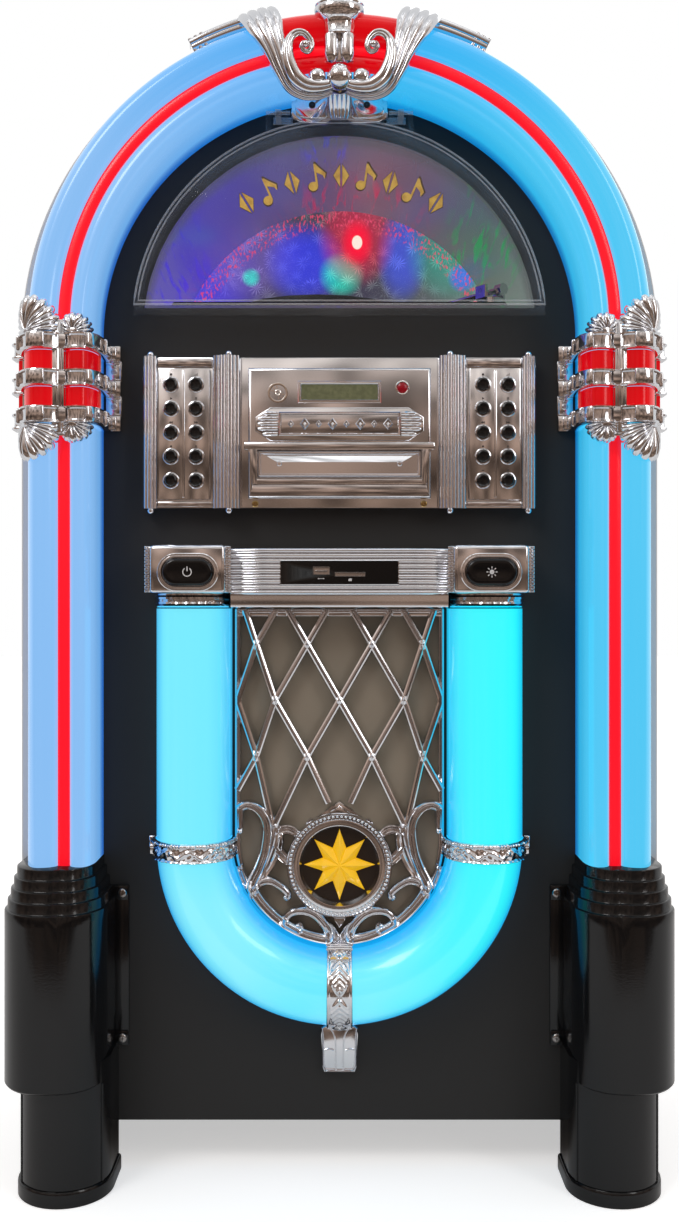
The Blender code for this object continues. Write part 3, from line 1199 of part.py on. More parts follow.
def build_disc_unit():
    """The chrome fascia with its columns, panels, display, sensor and drawer opening, and what sits in it."""
    slab = bevelled(box(-UNIT_HALF_WIDTH, UNIT_HALF_WIDTH, SEAT_GAP, UNIT_PLATE, UNIT_LOW_Z, UNIT_HIGH_Z), UNIT_EDGE)
    key_panels = both_sides(box(KEY_PANEL_INNER_X, KEY_PANEL_OUTER_X, UNIT_PLATE - FUSE_DEPTH, KEY_PANEL_OUT,
                                KEY_PANEL_LOW_Z, KEY_PANEL_HIGH_Z))
    outer = both_sides(fluted_column(OUTER_COLUMN_X, OUTER_COLUMN_WIDTH, OUTER_COLUMN_OUT, OUTER_COLUMN_FLUTES))
    inner = both_sides(fluted_column(INNER_COLUMN_X, INNER_COLUMN_WIDTH, INNER_COLUMN_OUT, INNER_COLUMN_FLUTES))
    balls = []
    for x, out in ((OUTER_COLUMN_X, OUTER_COLUMN_OUT), (INNER_BALL_X, INNER_COLUMN_OUT)):
        for z in (COLUMN_LOW_Z - BALL_RISE, COLUMN_HIGH_Z + BALL_RISE):
            balls.append(both_sides(ball(x, out - 2 * BALL_RADIUS, z, BALL_RADIUS, 8, 6)))
    centre = bevelled(box(-CENTRE_HALF_WIDTH, CENTRE_HALF_WIDTH, UNIT_PLATE - FUSE_DEPTH, CENTRE_OUT,
                          CENTRE_LOW_Z, CENTRE_HIGH_Z), UNIT_EDGE)
    display = rectangle(-DISPLAY_HALF_WIDTH, DISPLAY_HALF_WIDTH, DISPLAY_LOW_Z, DISPLAY_HIGH_Z)
    frame = rectangle(-DISPLAY_HALF_WIDTH - DISPLAY_FRAME, DISPLAY_HALF_WIDTH + DISPLAY_FRAME,
                      DISPLAY_LOW_Z - DISPLAY_FRAME, DISPLAY_HIGH_Z + DISPLAY_FRAME)
    frame_ring = plate([frame], CENTRE_OUT - FUSE_DEPTH, CENTRE_OUT + DISPLAY_FRAME_HEIGHT)
    middle = (PLATE_LOW_Z + PLATE_HIGH_Z) / 2
    octagon = [(PLATE_TOP_HALF_WIDTH, PLATE_HIGH_Z), (PLATE_HALF_WIDTH, middle + PLATE_END_HALF_HEIGHT),
               (PLATE_HALF_WIDTH, middle - PLATE_END_HALF_HEIGHT), (PLATE_TOP_HALF_WIDTH, PLATE_LOW_Z)]
    octagon += [(-x, z) for x, z in reversed(octagon)]
    name_plate = bevelled(plate([octagon], CENTRE_OUT - FUSE_DEPTH, CENTRE_OUT + PLATE_HEIGHT), UNIT_EDGE)
    hood_front = CENTRE_OUT + HOOD_REACH
    hood = plate([[(-HOOD_HALF_WIDTH, HOOD_LOW_Z), (HOOD_HALF_WIDTH, HOOD_LOW_Z),
                   (HOOD_TOP_HALF_WIDTH, HOOD_HIGH_Z), (-HOOD_TOP_HALF_WIDTH, HOOD_HIGH_Z)]],
                 UNIT_PLATE - FUSE_DEPTH, hood_front)
    body = joined(slab, key_panels, outer, inner, *balls, centre, frame_ring, name_plate, hood)

    tray_hole = box(-TRAY_HALF_WIDTH - TRAY_CLEARANCE, TRAY_HALF_WIDTH + TRAY_CLEARANCE, -OVERRUN,
                    hood_front + OVERRUN, TRAY_LOW_Z - TRAY_CLEARANCE, TRAY_HIGH_Z + TRAY_CLEARANCE)
    display_hole = plate([display], CENTRE_OUT - DISPLAY_THICKNESS, CENTRE_OUT + DISPLAY_FRAME_HEIGHT + OVERRUN)
    window_sink = box(-PLATE_WINDOW_HALF_WIDTH, PLATE_WINDOW_HALF_WIDTH, CENTRE_OUT + PLATE_HEIGHT - PLATE_WINDOW_SINK,
                      CENTRE_OUT + PLATE_HEIGHT + OVERRUN, middle - PLATE_WINDOW_HALF_HEIGHT,
                      middle + PLATE_WINDOW_HALF_HEIGHT)
    sensor_hole = plate([circle(SENSOR_X, SENSOR_Z, SENSOR_RADIUS + SEAT_GAP, 16)],
                        CENTRE_OUT - SENSOR_DEPTH, CENTRE_OUT + OVERRUN)
    key_holes = [plate([circle(x, z, KEY_RADIUS + SEAT_GAP, KEY_SIDES)], -OVERRUN, KEY_PANEL_OUT + OVERRUN)
                 for _, x, z in key_places()]
    node("cd_fascia", cut(body, tray_hole, display_hole, window_sink, sensor_hole, gathered(*key_holes)), "chrome")

    fit = SEAT_GAP
    glass = rectangle(-DISPLAY_HALF_WIDTH + fit, DISPLAY_HALF_WIDTH - fit, DISPLAY_LOW_Z + fit, DISPLAY_HIGH_Z - fit)
    node("lcd_window", plate([glass], CENTRE_OUT - DISPLAY_THICKNESS + fit,
                             CENTRE_OUT + DISPLAY_FRAME_HEIGHT - DISPLAY_SINK), "display")
    back = CENTRE_OUT - SENSOR_DEPTH + fit
    lens = [(0, CENTRE_OUT + SENSOR_DOME), (SENSOR_RADIUS * LENS_SHARES[0], CENTRE_OUT + SENSOR_DOME * LENS_SHARES[1]),
            (SENSOR_RADIUS, CENTRE_OUT), (SENSOR_RADIUS, back), (0, back)]
    node("ir_window", turned(lens, forward(SENSOR_X, 0, SENSOR_Z), 16), "red_lens")

    rows = {"left": 0, "right": 0}
    for side, x, z in key_places():
        rows[side] += 1
        low, high = KEY_BACK_ROOM + KEY_TRAVEL, KEY_PANEL_OUT + KEY_PROUD
        profile = [(0, high), (KEY_RADIUS - KEY_BEVEL, high), (KEY_RADIUS, high - KEY_BEVEL), (KEY_RADIUS, low),
                   (0, low)]
        node(f"key_{side}_{rows[side]}", turned(profile, forward(x, 0, z), KEY_SIDES), "black_plastic",
             pivot=at(x, high, z))


def build_drawer():
    """The disc drawer with its face and disc recess, and the deck that it slides in."""
    front = CENTRE_OUT + HOOD_REACH - TRAY_FACE_SINK
    face = bevelled(box(-TRAY_HALF_WIDTH, TRAY_HALF_WIDTH, front - TRAY_FACE_THICKNESS, front, TRAY_LOW_Z,
                        TRAY_HIGH_Z), UNIT_EDGE)
    bed_low = TRAY_LOW_Z + TRAY_BED_RISE
    back = front - TRAY_FACE_THICKNESS - TRAY_LENGTH
    bed = box(-TRAY_BED_HALF_WIDTH, TRAY_BED_HALF_WIDTH, back, front - TRAY_FACE_THICKNESS + FUSE_DEPTH, bed_low,
              bed_low + TRAY_BED_THICKNESS)
    pins = []
    for x in (-TRAY_PIN_X, TRAY_PIN_X):
        profile = [(0, front + TRAY_PIN_HEIGHT), (TRAY_PIN_RADIUS, front + TRAY_PIN_HEIGHT),
                   (TRAY_PIN_RADIUS, front - FUSE_DEPTH), (0, front - FUSE_DEPTH)]
        pins.append(turned(profile, forward(x, 0, (TRAY_LOW_Z + TRAY_HIGH_Z) / 2), 8))
    disc_out = back + TRAY_LENGTH / 2
    disc = turned([(0, bed_low + TRAY_BED_THICKNESS + OVERRUN), (DISC_RADIUS, bed_low + TRAY_BED_THICKNESS + OVERRUN),
                   (DISC_RADIUS, bed_low + TRAY_BED_THICKNESS - DISC_RECESS),
                   (0, bed_low + TRAY_BED_THICKNESS - DISC_RECESS)], upward(0, disc_out, 0), 32)
    node("cd_tray", cut(joined(face, bed, *pins), disc), "chrome", pivot=at(0, front, (TRAY_LOW_Z + TRAY_HIGH_Z) / 2))

    half = TRAY_BED_HALF_WIDTH + TRAY_CLEARANCE
    case = box(-half - DECK_WALL, half + DECK_WALL, -DECK_LENGTH, -SEAT_GAP, deck_low(), deck_high())
    flange_front = -BOARD - SEAT_GAP
    flange = box(-half - DECK_WALL - DECK_FLANGE, half + DECK_WALL + DECK_FLANGE, flange_front - DECK_WALL,
                 flange_front, deck_low() - DECK_FLANGE, deck_high() + DECK_FLANGE)
    hollow = box(-half, half, -DECK_LENGTH + DECK_WALL, OVERRUN, deck_low() + DECK_WALL, deck_high() - DECK_WALL)
    node("cd_deck", cut(joined(case, flange), hollow), "dark_board")


def oval(x, z, half_width, half_height):
    """A level slot shape with half-round ends."""
    straight = half_width - half_height
    return arc((x + straight, z), half_height, -90, 90, 8) + arc((x - straight, z), half_height, 90, 270, 8)


def build_control_bar():
    """The ribbed chrome bar between two pods, its oval buttons and its black socket panel."""
    height = (BAR_HIGH_Z - BAR_LOW_Z) / BAR_RIBS
    outline = [(SEAT_GAP, BAR_HIGH_Z), (SEAT_GAP, BAR_LOW_Z)]
    for i in range(BAR_RIBS):
        low = BAR_LOW_Z + i * height
        outline += [(BAR_REACH - height / 3, low), (BAR_REACH, low + height / 3), (BAR_REACH, low + height * 2 / 3)]
    outline.append((BAR_REACH - height / 3, BAR_HIGH_Z))
    bar = beam([outline], -BAR_HALF_WIDTH, BAR_HALF_WIDTH)
    band = box(-BAR_HALF_WIDTH, BAR_HALF_WIDTH, SEAT_GAP, BAR_BAND_REACH, BAR_BAND_LOW_Z, BAR_LOW_Z + FUSE_DEPTH)
    pod = bevelled(box(POD_INNER_X, POD_OUTER_X, SEAT_GAP, POD_REACH, POD_LOW_Z, POD_HIGH_Z), UNIT_EDGE * 2)
    corner = POD_CORNER
    plan = [(POD_INNER_X, SEAT_GAP), (POD_OUTER_X, SEAT_GAP),
            *arc((POD_OUTER_X - corner, POD_BAND_REACH - corner), corner, 0, 90, 4),
            *arc((POD_INNER_X + corner, POD_BAND_REACH - corner), corner, 90, 180, 4)]
    pod_band = prism([plan], POD_BAND_LOW_Z, POD_LOW_Z + FUSE_DEPTH)
    rim = plate([oval(OVAL_X, OVAL_Z, OVAL_HALF_WIDTH + OVAL_RIM, OVAL_HALF_HEIGHT + OVAL_RIM)],
                POD_REACH - FUSE_DEPTH, POD_REACH + OVAL_RIM_HEIGHT)
    pods = both_sides(joined(pod, pod_band, rim))
    oval_hole = both_sides(plate([oval(OVAL_X, OVAL_Z, OVAL_HALF_WIDTH + SEAT_GAP, OVAL_HALF_HEIGHT + SEAT_GAP)],
                                 POD_REACH - OVAL_DEPTH - OVAL_TRAVEL - KEY_BACK_ROOM, POD_REACH + OVERRUN * 2))
    port_hole = box(-PORT_HALF_WIDTH, PORT_HALF_WIDTH, BAR_REACH - PORT_SINK - PORT_THICKNESS, BAR_REACH + OVERRUN,
                    PORT_LOW_Z, PORT_HIGH_Z)
    node("control_bar", cut(joined(bar, band, pods), oval_hole, port_hole), "chrome")

    for name, side in (("power_button", -1), ("light_button", 1)):
        cap = bevelled(plate([oval(side * OVAL_X, OVAL_Z, OVAL_HALF_WIDTH, OVAL_HALF_HEIGHT)],
                             POD_REACH - OVAL_DEPTH, POD_REACH + OVAL_PROUD), OVAL_BEVEL)
        node(name, cap, "black_plastic", pivot=at(side * OVAL_X, POD_REACH + OVAL_PROUD, OVAL_Z))

    front, fit = BAR_REACH - PORT_SINK, SEAT_GAP
    panel = box(-PORT_HALF_WIDTH + fit, PORT_HALF_WIDTH - fit, front - PORT_THICKNESS + fit, front, PORT_LOW_Z + fit,
                PORT_HIGH_Z - fit)
    usb = box(USB_X - USB_HALF_WIDTH, USB_X + USB_HALF_WIDTH, front - USB_DEPTH, front + OVERRUN,
              USB_Z - USB_HALF_HEIGHT, USB_Z + USB_HALF_HEIGHT)
    card = box(CARD_X - CARD_HALF_WIDTH, CARD_X + CARD_HALF_WIDTH, front - CARD_DEPTH, front + OVERRUN,
               CARD_Z - CARD_HALF_HEIGHT, CARD_Z + CARD_HALF_HEIGHT)
    node("port_panel", cut(panel, gathered(usb, card)), "black_plastic")


def u_section():
    """The U tube's outer face as (radius, out) points, from its inner foot over its crown to its outer foot."""
    centre, half = (U_INNER_RADIUS + U_OUTER_RADIUS) / 2, (U_OUTER_RADIUS - U_INNER_RADIUS) / 2
    crown = [(centre - half * math.cos(math.pi * i / U_SECTION_STEPS),
              U_SPRING + (U_REACH - U_SPRING) * math.sin(math.pi * i / U_SECTION_STEPS))
             for i in range(U_SECTION_STEPS + 1)]
    return [(U_INNER_RADIUS, 0.0), *crown, (U_OUTER_RADIUS, 0.0)]


def build_u_tube():
    """The U-shaped light tube and the chrome clip on each of its arms."""
    shape, edges = line_shape(u_section(), U_TOP_Z - SEAT_GAP)
    edges = pull(shape, edges, (0, 0, U_CENTRE_Z - U_TOP_Z))
    edges = swing(shape, edges, U_CENTRE_Z, math.pi, U_BEND_STEPS)
    pull(shape, edges, (0, 0, U_TOP_Z - SEAT_GAP - U_CENTRE_Z))
    node("u_tube", shell(face_out(shape), U_WALL), "cyan_light")

    line = offset_line(u_section(), CLIP_CLEARANCE + CLIP_THICKNESS)
    ear = (line[-1][0] + CLIP_EAR, CLIP_THICKNESS)
    line = [*line[:-1], (line[-1][0], CLIP_THICKNESS), ear]
    band, edges = line_shape(line, CLIP_Z)
    pull(band, edges, (0, 0, CLIP_HEIGHT))
    right = shell(face_out(band), CLIP_THICKNESS)
    node("left_clip", mirrored(right), "chrome")
    node("right_clip", right, "chrome")


def u_frame(half_width, top_z):
    """The outline of the space inside the U: upright sides and a half-round bottom."""
    return [(half_width, top_z), (-half_width, top_z), *arc((0, U_CENTRE_Z), half_width, 180, 360, 16)]


# Where the lattice bars end, in rows down from the top crossing and in half pitches from the centre
RAIL_END_ROWS_SHARE = 2.6
MEDALLION_END_SHARE = 1.85
CREST_END_SHARE = 0.4
CREST_END_ROWS_SHARE = 0.3


def lattice_lines():
    """Centre lines of the lattice bars on the right half, as (x, z) points through the crossings of each row."""
    step, pitch = LATTICE_HALF_PITCH, LATTICE_ROW_PITCH
    top, rail = LATTICE_TOP_ROW_Z, GRILLE_HALF_WIDTH - GRILLE_RAIL_WIDTH / 2
    edge = (rail + 2 * step) / 2
    high, low = GRILLE_TOP_Z - FUSE_DEPTH, top - 3 * pitch
    lift = (high - top) / pitch
    return [
        [(step * (1 - lift), high), (step, top), (2 * step, top - pitch), (edge, top - 2 * pitch),
         (rail, top - RAIL_END_ROWS_SHARE * pitch)],
        [(step * (1 + lift), high), (step, top), (0, top - pitch), (-step, top - 2 * pitch),
         (-MEDALLION_END_SHARE * step, low)],
        [(edge - lift * step, high), (edge, top), (rail, top - pitch), (edge, top - 2 * pitch),
         (MEDALLION_END_SHARE * step, low)],
        [(edge + lift * (rail - edge), high), (edge, top), (2 * step, top - pitch), (step, top - 2 * pitch),
         (CREST_END_SHARE * step, low + CREST_END_ROWS_SHARE * pitch)],
    ]


# The crest's outline, as shares of its width and height
CREST_SHARES = [(-0.5, -0.333), (0.5, -0.333), (0.333, 0.667), (0, 1), (-0.333, 0.667)]

# Scroll lines on the right half, as shares of the grille's half width from the medallion's centre
SIDE_SCROLL_SHARES = [
    (0.95, 0.32), (0.96, 0.46), (0.89, 0.57), (0.78, 0.52), (0.70, 0.39), (0.69, 0.25), (0.74, 0.10),
    (0.82, -0.09), (0.83, -0.26), (0.76, -0.44), (0.61, -0.58),
]
SIDE_SCROLL_TAPER_SHARES = [1.3, 0.8, 0.9, 1.0, 1.1, 1.2, 1.2, 1.1, 1.1, 1.1, 1.1]
LOWER_SCROLL_SHARES = [
    (0.71, -0.50), (0.60, -0.585), (0.40, -0.68), (0.20, -0.70), (0.12, -0.62), (0.19, -0.49), (0.32, -0.41), (0.45, -0.42),
    (0.51, -0.50), (0.46, -0.565),
]
LOWER_SCROLL_TAPER_SHARES = [1.0, 1.05, 1.1, 1.0, 0.9, 0.9, 0.8, 0.8, 0.8, 0.85]
INNER_SCROLL_SHARES = [(0.85, -0.30), (0.75, -0.16), (0.68, -0.09), (0.56, -0.12), (0.52, -0.22), (0.48, -0.18)]
INNER_SCROLL_TAPER_SHARES = [0.8, 0.9, 0.8, 0.7, 0.8, 1.0]
LEAF_SHARES = [(0.62, 0.42), (0.66, 0.22), (0.75, 0.02), (0.83, -0.18)]
LEAF_TAPER_SHARES = [1.0, 1.9, 1.6, 0.9]
BRANCH_SHARES = [(0.62, 0.42), (0.56, 0.28), (0.44, 0.16)]
BRANCH_TAPER_SHARES = [1.1, 1.3, 1.0]
SMALL_SCROLL_SHARES = [(0.98, 0.06), (0.95, -0.04), (0.90, -0.10), (0.82, -0.08)]
SMALL_SCROLL_TAPER_SHARES = [0.9, 0.8, 0.8, 1.0]
STEM_SHARES = [(0.09, -0.44), (0.03, -0.54), (0.08, -0.66), (0.01, -0.78)]
STEM_TAPER_SHARES = [1.0, 0.9, 0.9, 1.0]


def inside_u(x, z):
    """The nearest point at which a scroll still lies within the grille's rail."""
    limit = GRILLE_HALF_WIDTH - SCROLL_RADIUS
    if z > U_CENTRE_Z:
        return max(-limit, min(limit, x)), z
    reach = math.hypot(x, z - U_CENTRE_Z)
    share = min(1, limit / reach)
    return x * share, U_CENTRE_Z + (z - U_CENTRE_Z) * share


def scroll(shares, tapers, out):
    """A scroll bar of the grille from its line and its thickness at each point of it."""
    points = [(*inside_u(x * GRILLE_HALF_WIDTH, MEDALLION_Z + z * GRILLE_HALF_WIDTH), taper)
              for (x, z), taper in zip(shares, tapers)]
    return rod([at(x, out, z) for x, z, _ in points], SCROLL_RADIUS * SCROLL_BAR_SHARE,
               tapers=[taper for _, _, taper in points])


def tube_envelope(line, centre_z, angle, steps, way=1):
    """A solid round the tube's top (way 1) or bottom (-1), up to this angle to each side, with this section line."""
    line = [(line[0][0], -OVERRUN), *line, (line[-1][0], -OVERRUN)]
    shape, edges = line_shape(line, centre_z)
    shape.verts.ensure_lookup_table()
    edges.append(shape.edges.new((shape.verts[-1], shape.verts[0])))
    bmesh.ops.rotate(shape, verts=shape.verts, cent=(0, 0, centre_z),
                     matrix=Matrix.Rotation(way * (angle - math.pi / 2), 3, "Y"))
    swing(shape, edges, centre_z, -2 * way * angle, steps)
    bmesh.ops.holes_fill(shape, edges=[edge for edge in shape.edges if edge.is_boundary])
    bmesh.ops.recalc_face_normals(shape, faces=shape.faces)
    return shape


def strap_and_tail():
    """The strap over the bottom of the U tube and the bracket below it, in one with the grille."""
    top = offset_line(u_section(), STRAP_CLEARANCE + STRAP_THICKNESS)
    under = offset_line(u_section(), STRAP_CLEARANCE)
    ring = [(out + SEAT_GAP, U_CENTRE_Z - radius) for radius, out in top]
    ring += [(out + SEAT_GAP, U_CENTRE_Z - radius) for radius, out in reversed(u_section())]
    way_round = 2 * STRAP_CUT_STEPS
    envelope = tube_envelope(under, U_CENTRE_Z, math.pi * STRAP_CUT_STEPS / U_BEND_STEPS, way_round, -1)
    strap = cut(beam([ring], -STRAP_HALF_WIDTH, STRAP_HALF_WIDTH), envelope)
    root = box(-STRAP_HALF_WIDTH, STRAP_HALF_WIDTH, GRILLE_BACK + MEDALLION_BEVEL, SCROLL_OUT,
               U_CENTRE_Z - GRILLE_HALF_WIDTH + SEAT_GAP, U_CENTRE_Z - GRILLE_HALF_WIDTH + 2 * GRILLE_RAIL_WIDTH)
    tail = bevelled(box(-TAIL_HALF_WIDTH, TAIL_HALF_WIDTH, SEAT_GAP, TAIL_THICKNESS, TAIL_LOW_Z, TAIL_HIGH_Z),
                    TAIL_BEVEL)
    return [root, strap, tail]


def build_grille():
    """The lattice with its rails, scrolls, medallion and strap, the star on it, the mesh and the loudspeaker."""
    frame = plate([u_frame(GRILLE_HALF_WIDTH, GRILLE_TOP_Z), u_frame(GRILLE_HALF_WIDTH - GRILLE_RAIL_WIDTH,
                   GRILLE_TOP_Z - GRILLE_RAIL_WIDTH)], GRILLE_BACK, GRILLE_BACK + GRILLE_RAIL_THICKNESS)
    pieces = []
    for index, line in enumerate(lattice_lines()):
        for side, turn in enumerate((1, -1)):
            out = LATTICE_OUT + LAYER_STEP * (2 * index + side)
            pieces.append(rod([at(turn * x, out, z) for x, z in line], LATTICE_RADIUS))
    scrolls = (
        (SIDE_SCROLL_SHARES, SIDE_SCROLL_TAPER_SHARES), (LOWER_SCROLL_SHARES, LOWER_SCROLL_TAPER_SHARES),
        (INNER_SCROLL_SHARES, INNER_SCROLL_TAPER_SHARES),
        (LEAF_SHARES, LEAF_TAPER_SHARES), (BRANCH_SHARES, BRANCH_TAPER_SHARES),
        (SMALL_SCROLL_SHARES, SMALL_SCROLL_TAPER_SHARES), (STEM_SHARES, STEM_TAPER_SHARES),
    )
    for index, (shares, tapers) in enumerate(scrolls):
        for side, turn in enumerate((1, -1)):
            line = [(turn * x, z) for x, z in shares]
            pieces.append(scroll(line, tapers, SCROLL_OUT + LAYER_STEP * (2 * index + side)))
    front, back = MEDALLION_OUT, GRILLE_BACK
    profile = [(0, back + MEDALLION_DISC), (MEDALLION_INNER_RADIUS, back + MEDALLION_DISC),
               (MEDALLION_INNER_RADIUS + MEDALLION_BEVEL, front), (MEDALLION_RADIUS - MEDALLION_BEVEL, front),
               (MEDALLION_RADIUS, front - MEDALLION_BEVEL), (MEDALLION_RADIUS, back), (0, back)]
    medallion = turned([(r, h) for r, h in profile], forward(0, 0, MEDALLION_Z), 24)
    crest_low = MEDALLION_Z + MEDALLION_RADIUS - MEDALLION_BEVEL
    crest = plate([[(CREST_WIDTH * across, crest_low + CREST_HEIGHT * up) for across, up in CREST_SHARES]],
                  back, front - MEDALLION_BEVEL)
    node("grille", joined(frame, *pieces, medallion, crest, *strap_and_tail()), "chrome")

    star = bmesh.new()
    bmesh.ops.create_circle(star, cap_ends=True, cap_tris=True, segments=2 * STAR_POINTS, radius=STAR_RADIUS)
    for vert in star.verts:
        if vert.co.xy.length < MERGE_DISTANCE:
            vert.co.z = STAR_RISE
        elif round(math.degrees(math.atan2(vert.co.y, vert.co.x)) * STAR_POINTS / 180) % 2:
            vert.co.xy *= STAR_ROOT_RADIUS / STAR_RADIUS
    base = bmesh.ops.extrude_face_region(star, geom=star.faces[:])["geom"]
    for vert in [part for part in base if isinstance(part, bmesh.types.BMVert)]:
        vert.co.z = -STAR_EDGE
    star.transform(forward(0, back + MEDALLION_DISC + SEAT_GAP + STAR_EDGE, MEDALLION_Z))
    node("medallion_star", star, "gold")
    fit = GRILLE_BACK - SEAT_GAP
    mesh_half = GRILLE_HALF_WIDTH - SEAT_GAP
    strap_low = U_CENTRE_Z - min(radius for radius, _ in u_section()) + STRAP_CLEARANCE + STRAP_THICKNESS + SEAT_GAP
    notch = box(-STRAP_HALF_WIDTH - SEAT_GAP, STRAP_HALF_WIDTH + SEAT_GAP, -OVERRUN, fit + OVERRUN,
                U_CENTRE_Z - GRILLE_HALF_WIDTH - OVERRUN, strap_low)
    mesh = plate([u_frame(mesh_half, GRILLE_TOP_Z - SEAT_GAP)], SEAT_GAP, fit)
    node("grille_mesh", cut(mesh, notch), "woven_mesh")

    front = -BOARD - SEAT_GAP
    cone = front - SPEAKER_CONE_DEPTH
    profile = [
        (0, cone + SPEAKER_SURROUND),
        (SPEAKER_CAP_RADIUS * SPEAKER_CAP_SHARE, cone + SPEAKER_SURROUND * SPEAKER_CAP_SHARE),
        (SPEAKER_CAP_RADIUS, cone),
        (SPEAKER_RADIUS - SPEAKER_ROLL_SHARES[0] * SPEAKER_SURROUND, front - SPEAKER_FLANGE),
        (SPEAKER_RADIUS - SPEAKER_ROLL_SHARES[1] * SPEAKER_SURROUND, front - SEAT_GAP),
        (SPEAKER_RADIUS - SPEAKER_ROLL_SHARES[2] * SPEAKER_SURROUND, front - SPEAKER_FLANGE / 2),
        (SPEAKER_RADIUS, front),
        (SPEAKER_FLANGE_RADIUS, front), (SPEAKER_FLANGE_RADIUS, front - SPEAKER_FLANGE),
        (SPEAKER_RADIUS, front - SPEAKER_FLANGE), (SPEAKER_NECK_RADIUS, front - SPEAKER_DEPTH + SPEAKER_MAGNET_DEPTH),
        (SPEAKER_MAGNET_RADIUS, front - SPEAKER_DEPTH + SPEAKER_MAGNET_DEPTH),
        (SPEAKER_MAGNET_RADIUS, front - SPEAKER_DEPTH), (0, front - SPEAKER_DEPTH),
    ]
    node("speaker", turned(profile, forward(0, 0, SPEAKER_Z), 16), "black_plastic")


def polar(angle, radius, out):
    """The world point at this angle from the top of the arch, in degrees to the right."""
    turn = math.radians(angle)
    return at(radius * math.sin(turn), out, ARCH_Z + radius * math.cos(turn))


# Half of the crown's foot, as shares of its half width and of its height
FOOT_SHARES = [(0.0, 0.02), (0.20, 0.08), (0.32, 0.0), (0.62, -0.02), (0.90, 0.12), (1.0, 0.40), (0.92, 0.55),
               (0.98, 0.80), (0.70, 1.0), (0.0, 1.0)]
# The wing's ridges and the volute, as degrees from the top, share of the tube's width and share of its depth
WING_SHARES = [(3.5, -0.28, 1.10), (6.0, -0.10, 1.13), (8.8, 0.12, 1.12), (11.0, 0.40, 1.14), (12.6, 0.68, 1.10),
               (13.8, 0.88, 0.80), (15.0, 1.02, 0.45), (20.0, 1.02, 0.38), (26.5, 1.00, 0.30)]
WING_TAPER_SHARES = [0.7, 0.9, 1.0, 1.1, 1.1, 1.0, 0.9, 0.8, 0.7]
VOLUTE_SHARES = [(0.5, -0.10, 1.16), (4.0, -0.16, 1.16), (7.8, 0.02, 1.18), (9.6, 0.28, 1.17), (8.8, 0.50, 1.15),
                 (6.8, 0.54, 1.15), (5.6, 0.42, 1.15), (6.4, 0.30, 1.15), (7.3, 0.34, 1.15)]
VOLUTE_TAPER_SHARES = [1.0, 1.1, 1.0, 0.9, 0.75, 0.7, 0.6, 0.6, 0.9]
COLUMN_SHARES = [(0.0, 1.0), (0.80, 0.985), (1.0, 0.88), (0.93, 0.74), (0.70, 0.62), (0.64, 0.45), (0.70, 0.20),
                 (0.55, 0.0), (0.0, 0.0)]


def crown_bar(shares, tapers, radius, side, turn=0.0, rise=0.0):
    """A rounded bar of the crown over the top of the tube, on the right (side 1) or the left (-1)."""
    width = TUBE_FLANGE_RADIUS - TUBE_INNER_RADIUS
    points = [(side * (angle + turn), TUBE_INNER_RADIUS + across * width, depth * OUTER_LOBE_TOP + rise, taper)
              for (angle, across, depth), taper in zip(shares, tapers)]
    return rod([polar(*place) for *place, _ in points], radius, tapers=[taper for *_, taper in points])


def build_crown():
    """The chrome crown over the top of the arch, and the red insert band under it."""
    height = CROWN_FOOT_HIGH_Z - CROWN_FOOT_LOW_Z
    half = [(x * CROWN_FOOT_HALF_WIDTH, CROWN_FOOT_LOW_Z + z * height) for x, z in FOOT_SHARES]
    outline = half + [(-x, z) for x, z in reversed(half[1:-1])]
    foot = bevelled(plate([outline], HINGE_PLATE_THICKNESS + SEAT_GAP, CROWN_FOOT_PLATE_OUT), UNIT_EDGE * 2)
    neck = box(-CROWN_COLUMN_RADIUS, CROWN_COLUMN_RADIUS, CROWN_FOOT_PLATE_OUT / 2, CROWN_BALL_OUT,
               CROWN_BALL_Z - CROWN_BALL_RADIUS, CROWN_BALL_Z)
    bead = ball(0, CROWN_BALL_OUT, CROWN_BALL_Z, CROWN_BALL_RADIUS)
    low = CROWN_BALL_Z + CROWN_BALL_RADIUS / 2
    profile = [(r * CROWN_CAP_HALF_WIDTH, low + h * (CROWN_TOP_Z - low)) for r, h in COLUMN_SHARES]
    column = turned(profile, upward(0, CROWN_COLUMN_OUT, 0), 14)
    back_half = CROWN_CAP_HALF_WIDTH * CROWN_CAP_BACK_SHARE
    cap = box(-back_half, back_half, SEAT_GAP, CROWN_COLUMN_OUT,
              CROWN_TOP_Z - CROWN_CAP_HEIGHT, CROWN_TOP_Z - SEAT_GAP)
    bars = []
    for index, turn in enumerate((-CROWN_RIDGE_ANGLE, 0.0, CROWN_RIDGE_ANGLE)):
        for place, side in enumerate((1, -1)):
            rise = LAYER_STEP * (2 * index + place)
            radius = CROWN_WING_RADIUS * CROWN_RIDGE_SHARE
            bars.append(crown_bar(WING_SHARES, WING_TAPER_SHARES, radius, side, turn, rise))
    for place, side in enumerate((1, -1)):
        rise = LAYER_STEP * place
        bars.append(crown_bar(VOLUTE_SHARES, VOLUTE_TAPER_SHARES, CROWN_SCROLL_RADIUS, side, rise=rise))
    body = joined(foot, neck, bead, column, cap, *bars)
    clear = BAND_CLEARANCE + INSERT_THICKNESS + SEAT_GAP
    steps = 2 * round(TUBE_ARCH_STEPS * CROWN_CUT_ANGLE / math.pi)
    node("crown", cut(body, tube_envelope(over_section(clear), ARCH_Z, CROWN_CUT_ANGLE, steps)), "chrome")
    band = arch_sweep(over_section(BAND_CLEARANCE + INSERT_THICKNESS), ARCH_Z, math.pi / 2 - CROWN_INSERT_ANGLE,
                      math.pi / 2 + CROWN_INSERT_ANGLE)
    node("crown_insert", shell(band, INSERT_THICKNESS), "red_light")


